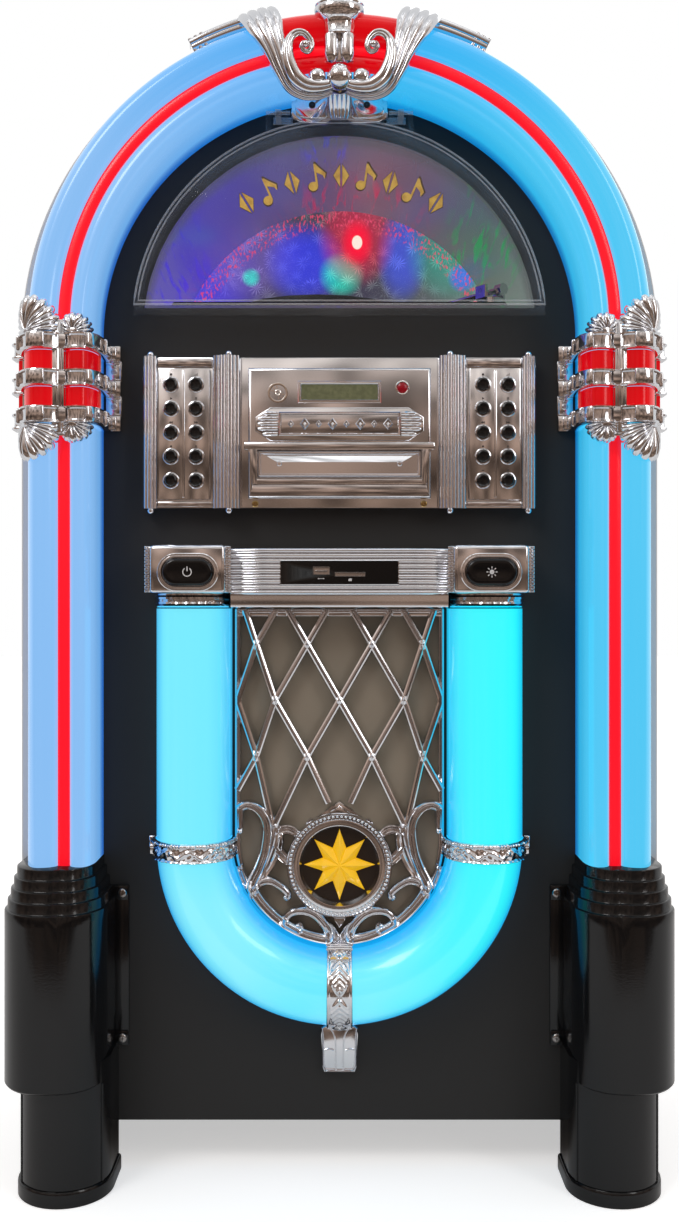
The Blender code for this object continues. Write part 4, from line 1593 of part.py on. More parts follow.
def main():
    build_cabinet()
    build_tubes()
    build_collars()
    build_bases()
    build_window()
    build_turntable()
    build_disc_unit()
    build_drawer()
    build_control_bar()
    build_u_tube()
    build_grille()
    build_crown()


main()
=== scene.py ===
"""Looks of a floor-standing jukebox with lit tubes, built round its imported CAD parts.

Each sub-assembly is a class with its sizes, and each finish is a frozen dataclass that draws its own shader.
Lengths are in metres, +Z is up and the front faces -Y.
"""

import json  # noqa: E402
import logging  # noqa: E402
import math  # noqa: E402
from collections.abc import Callable, Iterable, Sequence  # noqa: E402
from dataclasses import dataclass, field  # noqa: E402
from enum import Enum  # noqa: E402
from typing import Union  # noqa: E402

import bmesh  # noqa: E402
import bpy  # noqa: E402
from mathutils import Matrix, Vector  # noqa: E402

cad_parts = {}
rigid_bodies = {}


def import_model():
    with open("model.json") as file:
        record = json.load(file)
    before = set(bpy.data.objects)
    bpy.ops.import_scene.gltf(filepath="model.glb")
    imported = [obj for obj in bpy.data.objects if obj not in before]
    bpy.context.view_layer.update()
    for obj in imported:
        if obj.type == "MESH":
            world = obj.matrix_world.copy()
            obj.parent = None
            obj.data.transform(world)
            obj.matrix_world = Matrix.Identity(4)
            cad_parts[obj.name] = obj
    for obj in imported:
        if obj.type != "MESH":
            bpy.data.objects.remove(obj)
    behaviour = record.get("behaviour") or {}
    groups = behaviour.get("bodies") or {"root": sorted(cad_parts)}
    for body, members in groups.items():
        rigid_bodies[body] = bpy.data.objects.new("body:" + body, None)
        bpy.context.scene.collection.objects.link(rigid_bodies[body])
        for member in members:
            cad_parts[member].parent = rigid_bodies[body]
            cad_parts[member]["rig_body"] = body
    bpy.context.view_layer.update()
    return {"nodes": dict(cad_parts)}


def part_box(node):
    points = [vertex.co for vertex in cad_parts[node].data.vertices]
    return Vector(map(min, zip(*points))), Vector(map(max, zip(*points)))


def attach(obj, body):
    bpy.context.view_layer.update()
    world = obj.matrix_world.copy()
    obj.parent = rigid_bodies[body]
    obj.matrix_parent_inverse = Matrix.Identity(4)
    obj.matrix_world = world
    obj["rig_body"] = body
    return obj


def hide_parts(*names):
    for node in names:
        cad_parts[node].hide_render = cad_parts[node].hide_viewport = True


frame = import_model()

LOG = logging.getLogger("jukebox")
STANDS_FOR: set[str] = set()

Colour = tuple[float, float, float]
Point2 = tuple[float, float]
Scalar = Union["Term", float]

BAFFLE_Y = -0.078
ARCH_Z = 0.735
WINDOW_Z = 0.741
SEAT = 0.0003


class Side(Enum):
    """The two sides of the cabinet, with the sign of X on each."""

    LEFT = -1
    RIGHT = 1


class Body(Enum):
    """The moving bodies that pieces of this script ride on."""

    CABINET = "cabinet"
    COVER = "window_cover"
    PLATTER = "platter"
    ARM = "tonearm"
    TRAY = "cd_tray"
    POWER = "power_button"
    LIGHT = "light_button"


def at(x: float, out: float, z: float) -> Vector:
    """The world point this far to the right, in front of the baffle, and up."""
    return Vector((x, BAFFLE_Y - out, z))


# Shaders


class Term:
    """A shader value. Python's arithmetic on it adds Math nodes to its sketch."""

    def __init__(self, sketch: "Sketch", socket: bpy.types.NodeSocket) -> None:
        """Wraps an output socket of the sketch's node tree."""
        self.sketch = sketch
        self.socket = socket

    def __add__(self, other: Scalar) -> "Term":
        """Sum."""
        return self.sketch.math("ADD", self, other)

    __radd__ = __add__

    def __sub__(self, other: Scalar) -> "Term":
        """Difference."""
        return self.sketch.math("SUBTRACT", self, other)

    def __rsub__(self, other: Scalar) -> "Term":
        """Difference from a number."""
        return self.sketch.math("SUBTRACT", other, self)

    def __mul__(self, other: Scalar) -> "Term":
        """Product."""
        return self.sketch.math("MULTIPLY", self, other)

    __rmul__ = __mul__

    def __truediv__(self, other: Scalar) -> "Term":
        """Quotient."""
        return self.sketch.math("DIVIDE", self, other)

    def __rtruediv__(self, other: Scalar) -> "Term":
        """A number divided by this value."""
        return self.sketch.math("DIVIDE", other, self)

    def __pow__(self, other: Scalar) -> "Term":
        """Power."""
        return self.sketch.math("POWER", self, other)

    def absolute(self) -> "Term":
        """The value without its sign."""
        return self.sketch.math("ABSOLUTE", self)

    def sine(self) -> "Term":
        """The sine of an angle in radians."""
        return self.sketch.math("SINE", self)

    def fraction(self) -> "Term":
        """What is left over the next lower whole number."""
        return self.sketch.math("FRACT", self)

    def at_least(self, low: Scalar) -> "Term":
        """The larger of this value and another."""
        return self.sketch.math("MAXIMUM", self, low)

    def at_most(self, high: Scalar) -> "Term":
        """The smaller of this value and another."""
        return self.sketch.math("MINIMUM", self, high)

    def step(self, low: float, high: float) -> "Term":
        """Eases from 0 at low to 1 at high.

        Args:
            low: Where the value is still 0.
            high: Where it reaches 1; it may be below low.

        Returns:
            The eased value.
        """
        flipped = high < low
        settings = {"interpolation_type": "SMOOTHSTEP"}
        values = {"Value": self, "From Min": min(low, high), "From Max": max(low, high)}
        eased = Term(self.sketch, self.sketch.node("ShaderNodeMapRange", settings, values).outputs["Result"])
        return 1 - eased if flipped else eased


class Sketch:
    """One material's node tree."""

    def __init__(self, name: str) -> None:
        """Starts a material with a Principled surface."""
        self.material = bpy.data.materials.new(name)
        self.material.use_nodes = True
        self.tree = self.material.node_tree
        self.surface = self.tree.nodes["Principled BSDF"]

    def node(self, kind: str, settings: dict | None = None, values: dict | None = None) -> bpy.types.Node:
        """Adds a node.

        Args:
            kind: The node's type.
            settings: Properties to set first; "stops" fills a colour ramp with (place, colour) pairs.
            values: Numbers, colours, terms or sockets for its inputs, by name or by index.

        Returns:
            The node.
        """
        node = self.tree.nodes.new(kind)
        for name, value in (settings or {}).items():
            if name == "stops":
                ramp = node.color_ramp
                while len(ramp.elements) < len(value):
                    ramp.elements.new(0.5)
                for element, (place, colour) in zip(ramp.elements, value):
                    element.position = place
                    element.color = (*colour, 1.0)
            else:
                setattr(node, name, value)
        for name, value in (values or {}).items():
            self.feed(node.inputs[name], value)
        return node

    def feed(self, socket: bpy.types.NodeSocket, value: object) -> None:
        """Links a term or socket to an input, or sets the input to a constant."""
        if isinstance(value, Term):
            self.tree.links.new(value.socket, socket)
        elif isinstance(value, bpy.types.NodeSocket):
            self.tree.links.new(value, socket)
        elif isinstance(value, tuple) and len(value) == 3 and socket.type == "RGBA":
            socket.default_value = (*value, 1.0)
        else:
            socket.default_value = value

    def math(self, operation: str, *values: Scalar) -> Term:
        """A Math node on terms and numbers."""
        node = self.node("ShaderNodeMath", {"operation": operation}, dict(enumerate(values)))
        return Term(self, node.outputs[0])

    def coordinates(self) -> bpy.types.NodeSocket:
        """The point on the piece in its own axes, which are the world's."""
        return self.node("ShaderNodeTexCoord").outputs["Object"]

    def point(self) -> tuple[Term, Term, Term]:
        """The point's X, Y and Z."""
        split = self.node("ShaderNodeSeparateXYZ", values={0: self.coordinates()})
        return tuple(Term(self, socket) for socket in split.outputs)

    def stretched(self, scale: Sequence[float], turn: Sequence[float] = (0, 0, 0)) -> bpy.types.NodeSocket:
        """Object coordinates turned and then scaled along each axis."""
        mapping = self.node("ShaderNodeMapping", values={"Vector": self.coordinates(), "Rotation": tuple(turn),
                                                         "Scale": tuple(scale)})
        return mapping.outputs["Vector"]

    def noise(self, scale: float, detail: float = 2.0, stretch: Sequence[float] = (1, 1, 1),
              distortion: float = 0.0) -> Term:
        """Cloudy noise from 0 to 1."""
        values = {"Vector": self.stretched(stretch), "Scale": scale, "Detail": detail, "Distortion": distortion}
        return Term(self, self.node("ShaderNodeTexNoise", values=values).outputs["Fac"])

    def cells(self, scale: float, output: str = "Distance", stretch: Sequence[float] = (1, 1, 1)) -> object:
        """A Voronoi pattern's distance as a term, or its colour as a socket."""
        node = self.node("ShaderNodeTexVoronoi", values={"Vector": self.stretched(stretch), "Scale": scale})
        return Term(self, node.outputs[output]) if output == "Distance" else node.outputs[output]

    def combined(self, x: Scalar, y: Scalar, z: Scalar) -> bpy.types.NodeSocket:
        """A vector from three values."""
        return self.node("ShaderNodeCombineXYZ", values={0: x, 1: y, 2: z}).outputs[0]

    def mix(self, factor: Scalar, low: object, high: object, blend: str = "MIX") -> bpy.types.NodeSocket:
        """A colour between two others."""
        node = self.node("ShaderNodeMix", {"data_type": "RGBA", "blend_type": blend})
        for name, value in (("Factor", factor), ("A", low), ("B", high)):
            kind = "VALUE" if name == "Factor" else "RGBA"
            self.feed(next(s for s in node.inputs if s.name == name and s.type == kind), value)
        return next(s for s in node.outputs if s.type == "RGBA")

    def ramp(self, factor: Scalar, *stops: tuple[float, Colour]) -> bpy.types.NodeSocket:
        """A colour read off a ramp."""
        return self.node("ShaderNodeValToRGB", {"stops": stops}, {"Fac": factor}).outputs["Color"]

    def bump(self, height: Scalar, strength: float, distance: float) -> bpy.types.NodeSocket:
        """A normal that follows a height, in metres over the given distance."""
        values = {"Height": height, "Strength": strength, "Distance": distance}
        return self.node("ShaderNodeBump", values=values).outputs["Normal"]

    def dress(self, **inputs: object) -> bpy.types.Material:
        """Feeds the Principled surface, with underscores for the spaces in its sockets' names."""
        for name, value in inputs.items():
            self.feed(self.surface.inputs[name.replace("_", " ")], value)
        return self.material


@dataclass(frozen=True)
class Finish:
    """What every finish has: a name, and a shader that it draws if no material has that name yet."""

    name: str

    def draw(self) -> bpy.types.Material:
        """Draws the shader."""
        raise NotImplementedError

    def material(self) -> bpy.types.Material:
        """The material of this name, which is the CAD frame's plain one where it has one, or else the drawn one."""
        return bpy.data.materials.get(self.name) or self.draw()


@dataclass(frozen=True)
class Chrome(Finish):
    """Bright plating over moulded plastic, with faint waves and a little dust."""

    tint: Colour = (0.80, 0.75, 0.71)
    roughness: float = 0.05
    waviness: float = 0.06

    def draw(self) -> bpy.types.Material:
        """Plating whose roughness and gloss vary a little over the piece."""
        sketch = Sketch(self.name)
        smudge = sketch.noise(38.0, 3.0)
        waves = sketch.noise(90.0, 1.0)
        dull = tuple(channel * 0.90 for channel in self.tint)
        return sketch.dress(
            Base_Color=sketch.mix(smudge.step(0.45, 0.75), self.tint, dull),
            Metallic=1.0, Roughness=smudge.step(0.35, 0.8) * 0.06 + self.roughness,
            Normal=sketch.bump(waves, self.waviness, 0.001))


@dataclass(frozen=True)
class GrainedVinyl(Finish):
    """Black vinyl with an open, wavy, upright wood grain."""

    base: Colour = (0.0012, 0.0012, 0.0014)
    streak: Colour = (0.017, 0.017, 0.019)

    def draw(self) -> bpy.types.Material:
        """Wavy pores that run up the boards."""
        sketch = Sketch(self.name)
        x, y, _ = sketch.point()
        drift = sketch.noise(5.0, 3.0, (1.0, 1.0, 0.28)) * 0.065
        rings = ((x + y * 0.7 + drift) * 520.0).sine() * 0.5 + 0.5
        pores = sketch.noise(420.0, 2.0, (1.0, 1.0, 0.045), 0.4).step(0.50, 0.66)
        grain = rings.step(0.25, 0.95) * 0.55 + pores * 0.45
        return sketch.dress(
            Base_Color=sketch.mix(grain * pores, self.base, self.streak),
            Roughness=0.44 + grain * 0.16, Specular_IOR_Level=0.12,
            Normal=sketch.bump(grain, 0.55, 0.0005))


@dataclass(frozen=True)
class MouldedPlastic(Finish):
    """Moulded plastic with a fine sparkle."""

    base: Colour = (0.0045, 0.0045, 0.005)
    fleck: Colour = (0.09, 0.09, 0.10)
    roughness: float = 0.24
    flecks: float = 1.0

    def draw(self) -> bpy.types.Material:
        """Even gloss with bright specks and a slight orange peel."""
        sketch = Sketch(self.name)
        specks = sketch.cells(1500.0).step(0.16, 0.05) * self.flecks
        peel = sketch.noise(600.0, 1.0)
        return sketch.dress(
            Base_Color=sketch.mix(specks, self.base, self.fleck), Specular_IOR_Level=0.35,
            Roughness=self.roughness + sketch.noise(30.0) * 0.08,
            Normal=sketch.bump(peel, 0.08, 0.0004), Coat_Weight=0.08, Coat_Roughness=0.12)


@dataclass(frozen=True)
class Board(Finish):
    """Bare dark fibreboard."""

    base: Colour = (0.035, 0.028, 0.022)

    def draw(self) -> bpy.types.Material:
        """Matt board with pressed fibres."""
        sketch = Sketch(self.name)
        fibres = sketch.noise(260.0, 4.0, (1.0, 1.0, 2.5))
        pale = tuple(channel * 1.9 for channel in self.base)
        return sketch.dress(Base_Color=sketch.mix(fibres.step(0.4, 0.7), self.base, pale), Roughness=0.78,
                            Normal=sketch.bump(fibres, 0.25, 0.0004))


@dataclass(frozen=True)
class TubeGlow(Finish):
    """Frosted tube lit from inside: pale where it faces the viewer, deep at its sides."""

    pale: Colour = (0.26, 0.55, 0.97)
    middle: Colour = (0.18, 0.49, 0.98)
    deep: Colour = (0.01, 0.14, 0.60)
    top: Colour = (0.0, 0.42, 1.0)
    reach: float = 0.060
    sink: float = 0.0
    light: float = 0.90

    def draw(self) -> bpy.types.Material:
        """A glow that follows how far the surface stands out, and turns deeper towards the top."""
        sketch = Sketch(self.name)
        _, y, z = sketch.point()
        out = BAFFLE_Y - y
        clouds = sketch.noise(9.0, 2.0)
        facing = out.step(self.sink, self.reach + 0.001)
        colour = sketch.ramp(facing * (0.92 + clouds * 0.16), (0.0, self.deep), (0.22, self.middle),
                             (0.85, self.pale))
        colour = sketch.mix(z.step(0.86, 1.02) * 0.75, colour, self.top)
        speckle = sketch.noise(900.0, 1.0)
        return sketch.dress(
            Base_Color=(0.03, 0.05, 0.08), Roughness=0.24, Emission_Color=colour, Emission_Strength=self.light,
            Normal=sketch.bump(speckle, 0.04, 0.0003), Coat_Weight=0.5, Coat_Roughness=0.08)


@dataclass(frozen=True)
class LitPlastic(Finish):
    """Coloured plastic with lamps behind it."""

    colour: Colour = (0.86, 0.0, 0.006)
    shade: Colour = (0.62, 0.0, 0.004)
    light: float = 0.75
    body: float = 0.25

    def draw(self) -> bpy.types.Material:
        """A glow that is a little uneven along the piece."""
        sketch = Sketch(self.name)
        clouds = sketch.noise(14.0, 2.0)
        glow = sketch.mix(clouds.step(0.35, 0.7), self.shade, self.colour)
        dark = tuple(channel * self.body for channel in self.colour)
        return sketch.dress(Base_Color=dark, Roughness=0.22, Emission_Color=glow, Emission_Strength=self.light,
                            Specular_IOR_Level=0.3, Coat_Weight=0.25, Coat_Roughness=0.08)


# Meshes


def piece(name: str, shape: bmesh.types.BMesh, finish: Finish, body: "Body | str", replaces: Iterable[str] = (),
          sharp: float = 35.0) -> bpy.types.Object:
    """Turns a finished shape in world places into a piece that rides on a body.

    Args:
        name: The piece's name.
        shape: Its mesh; it is used up.
        finish: Its material.
        body: The CAD body it moves with.
        replaces: CAD nodes that it stands for.
        sharp: The angle in degrees above which an edge stays sharp.

    Returns:
        The new object.
    """
    bmesh.ops.remove_doubles(shape, verts=shape.verts, dist=0.000002)
    bmesh.ops.recalc_face_normals(shape, faces=shape.faces)
    mesh = bpy.data.meshes.new(name)
    shape.to_mesh(mesh)
    shape.free()
    return adopt(name, mesh, finish, body, replaces, sharp)


def adopt(name: str, mesh: bpy.types.Mesh, finish: Finish, body: "Body | str", replaces: Iterable[str] = (),
          sharp: float = 35.0) -> bpy.types.Object:
    """Makes a piece from a plain mesh, smooth but for its sharp edges."""
    mesh.materials.clear()
    mesh.materials.append(finish.material())
    mesh.shade_smooth()
    mesh.set_sharp_from_angle(angle=math.radians(sharp))
    thing = bpy.data.objects.new(name, mesh)
    bpy.context.scene.collection.objects.link(thing)
    home = body.value if isinstance(body, Body) else body
    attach(thing, home)
    if replaces:
        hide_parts(*replaces)
        STANDS_FOR.update(replaces)
    LOG.info("%s: %d faces on %s", name, len(mesh.polygons), home)
    return thing


def grid(rows: Sequence[Sequence[Vector]], around: bool = False, along: bool = False,
         caps: bool = False) -> bmesh.types.BMesh:
    """Quads between rows of points.

    Args:
        rows: Rows of equally many points.
        around: Whether each row closes on itself.
        along: Whether the last row meets the first.
        caps: Whether the first and last rows are filled.

    Returns:
        The shape.
    """
    shape = bmesh.new()
    verts = [[shape.verts.new(point) for point in row] for row in rows]
    pairs = list(zip(verts, verts[1:])) + ([(verts[-1], verts[0])] if along else [])
    for row, after in pairs:
        count = len(row) if around else len(row) - 1
        for i in range(count):
            j = (i + 1) % len(row)
            shape.faces.new((row[i], row[j], after[j], after[i]))
    if caps:
        shape.faces.new(verts[0])
        shape.faces.new(verts[-1])
    return shape


def merged(*shapes: bmesh.types.BMesh) -> bmesh.types.BMesh:
    """Several shapes as one; they are used up."""
    whole = bmesh.new()
    for shape in shapes:
        mesh = bpy.data.meshes.new("part")
        shape.to_mesh(mesh)
        shape.free()
        whole.from_mesh(mesh)
        bpy.data.meshes.remove(mesh)
    return whole


def mirrored(shape: bmesh.types.BMesh) -> bmesh.types.BMesh:
    """A copy of a shape on the other side of the centre plane."""
    other = shape.copy()
    other.transform(Matrix.Scale(-1, 4, Vector((1, 0, 0))))
    bmesh.ops.reverse_faces(other, faces=other.faces)
    return other


def both(shape: bmesh.types.BMesh) -> bmesh.types.BMesh:
    """A shape and its mirror image."""
    return merged(shape.copy(), mirrored(shape))


def slab(outline: Sequence[Point2], low: float, high: float, bevel: float = 0.0,
         place: Callable[[float, float, float], Vector] = None, segments: int = 2) -> bmesh.types.BMesh:
    """A plate with bevelled edges.

    Args:
        outline: Its outline; by default (x, z) points.
        low: How far in front of the baffle its back is.
        high: How far its front is.
        bevel: The width of the bevel along its front edges.
        place: Turns two outline values and a height into a world point.
        segments: How many faces the bevel has.

    Returns:
        The closed shape.
    """
    put = place or (lambda x, z, out: at(x, out, z))
    shape = grid([[put(a, b, low) for a, b in outline], [put(a, b, high) for a, b in outline]], around=True,
                 caps=True)
    if bevel > 0:
        shape.faces.ensure_lookup_table()
        front = shape.faces[-1]
        bmesh.ops.bevel(shape, geom=front.edges[:], offset=bevel, segments=segments, affect="EDGES", profile=0.5,
                        clamp_overlap=True)
    return shape


def block(x: Point2, out: Point2, z: Point2, bevel: float = 0.0, segments: int = 2) -> bmesh.types.BMesh:
    """A box between limits to the right, in front of the baffle and up, bevelled on every edge."""
    corners = [(x[0], z[0]), (x[1], z[0]), (x[1], z[1]), (x[0], z[1])]
    shape = slab(corners, out[0], out[1])
    if bevel > 0:
        bmesh.ops.bevel(shape, geom=shape.edges[:], offset=bevel, segments=segments, affect="EDGES", profile=0.5,
                        clamp_overlap=True)
    return shape


def tube(path: Sequence[Vector], radii: Sequence[float], sides: int = 10, flat: float = 1.0,
         closed: bool = False) -> bmesh.types.BMesh:
    """A round bar along points, without twist.

    Args:
        path: Points along its centre.
        radii: Its radius at each point.
        sides: How many faces go round it.
        flat: How thick it is towards the viewer, as a share of its width.
        closed: Whether the last point joins the first.

    Returns:
        The shape.
    """
    rows = []
    for i, point in enumerate(path):
        before = path[i - 1] if i or closed else path[0]
        after = path[(i + 1) % len(path)] if i + 1 < len(path) or closed else path[-1]
        ahead = (after - before).normalized()
        across = ahead.cross(Vector((0, 1, 0)))
        across = across.normalized() if across.length > 1e-6 else Vector((1, 0, 0))
        up = across.cross(ahead).normalized()
        rows.append([point + (across * math.cos(a) + up * math.sin(a) * flat) * radii[i]
                     for a in (2 * math.pi * k / sides for k in range(sides))])
    return grid(rows, around=True, along=closed, caps=not closed)


def smooth(points: Sequence[Sequence[float]], steps: int = 4) -> list[tuple[float, ...]]:
    """A rounder line through points, by the Catmull-Rom rule."""
    line = []
    for i in range(len(points) - 1):
        quad = (points[max(i - 1, 0)], points[i], points[i + 1], points[min(i + 2, len(points) - 1)])
        for j in range(steps):
            t = j / steps
            line.append(tuple(0.5 * (2 * b + (c - a) * t + (2 * a - 5 * b + 4 * c - d) * t**2
                                     + (3 * b - a - 3 * c + d) * t**3) for a, b, c, d in zip(*quad)))
    return line + [tuple(points[-1])]


def arc(centre: Point2, radius: float, start: float, end: float, steps: int) -> list[Point2]:
    """Points on an arc between two angles in degrees, anticlockwise from the right."""
    turns = (math.radians(start + (end - start) * i / steps) for i in range(steps + 1))
    return [(centre[0] + radius * math.cos(turn), centre[1] + radius * math.sin(turn)) for turn in turns]


def lathe(profile: Sequence[Point2], centre: Point2, base: float, steps: int = 32) -> bmesh.types.BMesh:
    """A turned shape whose axis points at the viewer.

    Args:
        profile: (radius, rise) points from the centre of the front outwards.
        centre: The axis, as (x, z).
        base: How far in front of the baffle a rise of 0 is.
        steps: How many faces go round it.

    Returns:
        The shape, open at the back.
    """
    rows = [[at(x, base + rise, z) for x, z in arc(centre, max(radius, 0.000004), 0, 360 - 360 / steps, steps - 1)]
            for radius, rise in profile]
    return grid(rows, around=True, caps=True)


def offset(line: Sequence[Point2], distance: float) -> list[Point2]:
    """An open line moved to its outer side, with mitred corners."""
    moved = []
    for i, point in enumerate(line):
        here = Vector(point)
        ways = [here - Vector(line[i - 1])] if i else []
        ways += [Vector(line[i + 1]) - here] if i + 1 < len(line) else []
        normals = [Vector((-way.y, way.x)).normalized() for way in ways]
        mitre = sum(normals, Vector((0, 0))).normalized()
        moved.append(tuple(here + mitre * (distance / max(mitre.dot(normals[0]), 0.4))))
    return moved


# Geometry Nodes


class Pattern:
    """A Geometry Nodes tree that sets one small shape again and again on points."""

    def __init__(self, name: str) -> None:
        """Starts a tree with a geometry input and output."""
        self.tree = bpy.data.node_groups.new(name, "GeometryNodeTree")
        self.tree.interface.new_socket("Geometry", in_out="INPUT", socket_type="NodeSocketGeometry")
        self.tree.interface.new_socket("Geometry", in_out="OUTPUT", socket_type="NodeSocketGeometry")
        self.start = self.tree.nodes.new("NodeGroupInput")
        self.end = self.tree.nodes.new("NodeGroupOutput")

    def entry(self, name: str, kind: str, default: object = None) -> bpy.types.NodeSocket:
        """Adds a named input of the tree and returns its socket inside."""
        item = self.tree.interface.new_socket(name, in_out="INPUT", socket_type=kind)
        if default is not None:
            item.default_value = default
        return next(s for s in self.start.outputs if s.identifier == item.identifier)

    def node(self, kind: str, settings: dict | None = None, values: dict | None = None) -> bpy.types.Node:
        """Adds a node, with its settings before its inputs."""
        node = self.tree.nodes.new(kind)
        for name, value in (settings or {}).items():
            setattr(node, name, value)
        for name, value in (values or {}).items():
            if isinstance(value, bpy.types.NodeSocket):
                self.tree.links.new(value, node.inputs[name])
            else:
                node.inputs[name].default_value = value
        return node

    def close(self, geometry: bpy.types.NodeSocket, material: bpy.types.NodeSocket) -> None:
        """Ends the tree with real meshes in one material."""
        real = self.node("GeometryNodeRealizeInstances", values={0: geometry}).outputs[0]
        dressed = self.node("GeometryNodeSetMaterial", values={"Geometry": real, "Material": material})
        self.tree.links.new(dressed.outputs[0], self.end.inputs[0])


@dataclass(frozen=True)
class Spot:
    """A place for a repeated shape: where, facing which way, and how large."""

    place: Vector
    facing: Vector = Vector((0, -1, 0))
    size: float = 1.0
    turn: float = 0.0


class Scatter:
    """Copies of one shape on spots, made by Geometry Nodes."""

    tree: Pattern | None = None

    @classmethod
    def pattern(cls) -> Pattern:
        """The shared tree: the shape is set on each point, turned and sized by the points' attributes."""
        if cls.tree is None:
            cls.tree = Pattern("set_on_points")
            stamp = cls.tree.entry("Shape", "NodeSocketObject")
            scale = cls.tree.entry("Scale", "NodeSocketFloat", 1.0)
            finish = cls.tree.entry("Finish", "NodeSocketMaterial")
            info = cls.tree.node("GeometryNodeObjectInfo", {"transform_space": "ORIGINAL"}, {"Object": stamp})
            turn = cls.tree.node("GeometryNodeInputNamedAttribute", {"data_type": "FLOAT_VECTOR"}, {"Name": "turn"})
            size = cls.tree.node("GeometryNodeInputNamedAttribute", {"data_type": "FLOAT"}, {"Name": "size"})
            turned = cls.tree.node("FunctionNodeEulerToRotation", values={0: turn.outputs["Attribute"]})
            sized = cls.tree.node("ShaderNodeMath", {"operation": "MULTIPLY"},
                                  {0: size.outputs["Attribute"], 1: scale})
            points = cls.tree.node("GeometryNodeMeshToPoints", values={"Mesh": cls.tree.start.outputs[0]})
            copies = cls.tree.node("GeometryNodeInstanceOnPoints", values={
                "Points": points.outputs[0], "Instance": info.outputs["Geometry"],
                "Rotation": turned.outputs[0], "Scale": sized.outputs[0]})
            cls.tree.close(copies.outputs[0], finish)
        return cls.tree

    @classmethod
    def make(cls, name: str, stamp: bmesh.types.BMesh, spots: Sequence[Spot], finish: Finish, body: Body,
             scale: float = 1.0, sharp: float = 35.0) -> bpy.types.Object:
        """Sets copies of a shape on spots.

        Args:
            name: The new piece's name.
            stamp: The shape, whose front faces -Y at the origin; it is used up.
            spots: Where the copies go.
            finish: Their material.
            body: The CAD body that they move with.
            scale: The size of every copy, as a share of the shape's.
            sharp: The angle in degrees above which an edge stays sharp.

        Returns:
            The new piece, a plain mesh.
        """
        bmesh.ops.recalc_face_normals(stamp, faces=stamp.faces)
        shape = bpy.data.meshes.new(f"{name}_shape")
        stamp.to_mesh(shape)
        stamp.free()
        model = bpy.data.objects.new(f"{name}_shape", shape)
        bpy.context.scene.collection.objects.link(model)
        seats = bpy.data.meshes.new(f"{name}_spots")
        seats.from_pydata([spot.place for spot in spots], [], [])
        seats.attributes.new("turn", "FLOAT_VECTOR", "POINT")
        seats.attributes.new("size", "FLOAT", "POINT")
        turns, sizes = seats.attributes["turn"], seats.attributes["size"]
        for i, spot in enumerate(spots):
            spin = Matrix.Rotation(spot.turn, 3, "Y")
            aim = Vector((0, -1, 0)).rotation_difference(spot.facing).to_matrix()
            turns.data[i].vector = (aim @ spin).to_euler()
            sizes.data[i].value = spot.size
        carrier = bpy.data.objects.new(f"{name}_carrier", seats)
        bpy.context.scene.collection.objects.link(carrier)
        modifier = carrier.modifiers.new("set_on_points", "NODES")
        modifier.node_group = cls.pattern().tree
        entries = {"Shape": model, "Scale": scale, "Finish": finish.material()}
        for item in modifier.node_group.interface.items_tree:
            if item.in_out == "INPUT" and item.name in entries:
                modifier[item.identifier] = entries[item.name]
        graph = bpy.context.evaluated_depsgraph_get()
        mesh = bpy.data.meshes.new_from_object(carrier.evaluated_get(graph))
        mesh.name = name
        for spare in (carrier, model):
            spare.modifiers.clear()
            bpy.data.objects.remove(spare)
        return adopt(name, mesh, finish, body, sharp=sharp)


def dome(radius: float, rise: float, sides: int = 10, rings: int = 3) -> bmesh.types.BMesh:
    """A low round bump facing -Y at the origin, closed behind."""
    rows = [[Vector((radius * math.cos(a) * math.cos(t), -rise * math.sin(t), radius * math.cos(a) * 0
                     + radius * math.sin(a) * math.cos(t))) for a in (2 * math.pi * k / sides for k in range(sides))]
            for t in (math.pi / 2 * i / rings for i in range(rings))]
    shape = grid(rows, around=True)
    shape.verts.ensure_lookup_table()
    tip = shape.verts.new((0, -rise, 0))
    last = shape.verts[-1 - sides:-1]
    for i in range(sides):
        shape.faces.new((last[i], last[(i + 1) % sides], tip))
    shape.faces.new(shape.verts[:sides])
    return shape


def screw_head(radius: float, rise: float) -> bmesh.types.BMesh:
    """A domed cross-slot screw head facing -Y at the origin."""
    sides, arms = 24, 0.62
    rows = []
    for share, height in ((1.0, 0.0), (1.0, 0.45), (0.86, 0.82), (arms, 1.0)):
        rows.append([Vector((radius * share * math.cos(a), -rise * height, radius * share * math.sin(a)))
                     for a in (2 * math.pi * k / sides for k in range(sides))])
    slot = []
    for k in range(sides):
        angle = 2 * math.pi * k / sides
        cross = abs(math.sin(2 * angle)) < 0.45
        slot.append(Vector((radius * (0.55 if cross else 0.20) * math.cos(angle), -rise * (0.94 if cross else 0.94),
                            radius * (0.55 if cross else 0.20) * math.sin(angle))))
    rows.append(slot)
    floor = [Vector((v.x * 0.75, -rise * 0.25, v.z * 0.75)) for v in slot]
    rows.append(floor)
    shape = grid(rows, around=True, caps=True)
    return shape


def ball(radius: float, sides: int = 12, rings: int = 8) -> bmesh.types.BMesh:
    """A small sphere at the origin."""
    shape = bmesh.new()
    bmesh.ops.create_uvsphere(shape, u_segments=sides, v_segments=rings, radius=radius)
    return shape


# Finishes of this jukebox

CHROME = Chrome("chrome")
SOFT_CHROME = Chrome("soft_chrome", roughness=0.16, waviness=0.10)
BRUSHED = Chrome("brushed_metal", tint=(0.62, 0.62, 0.63), roughness=0.26)
VINYL = GrainedVinyl("black_vinyl")
PLASTIC = MouldedPlastic("black_plastic")
GLOSS = MouldedPlastic("gloss_plastic", roughness=0.10, flecks=0.3)
RUBBER = MouldedPlastic("rubber", base=(0.018, 0.018, 0.019), roughness=0.55, flecks=0.2)
BOARD = Board("dark_board")


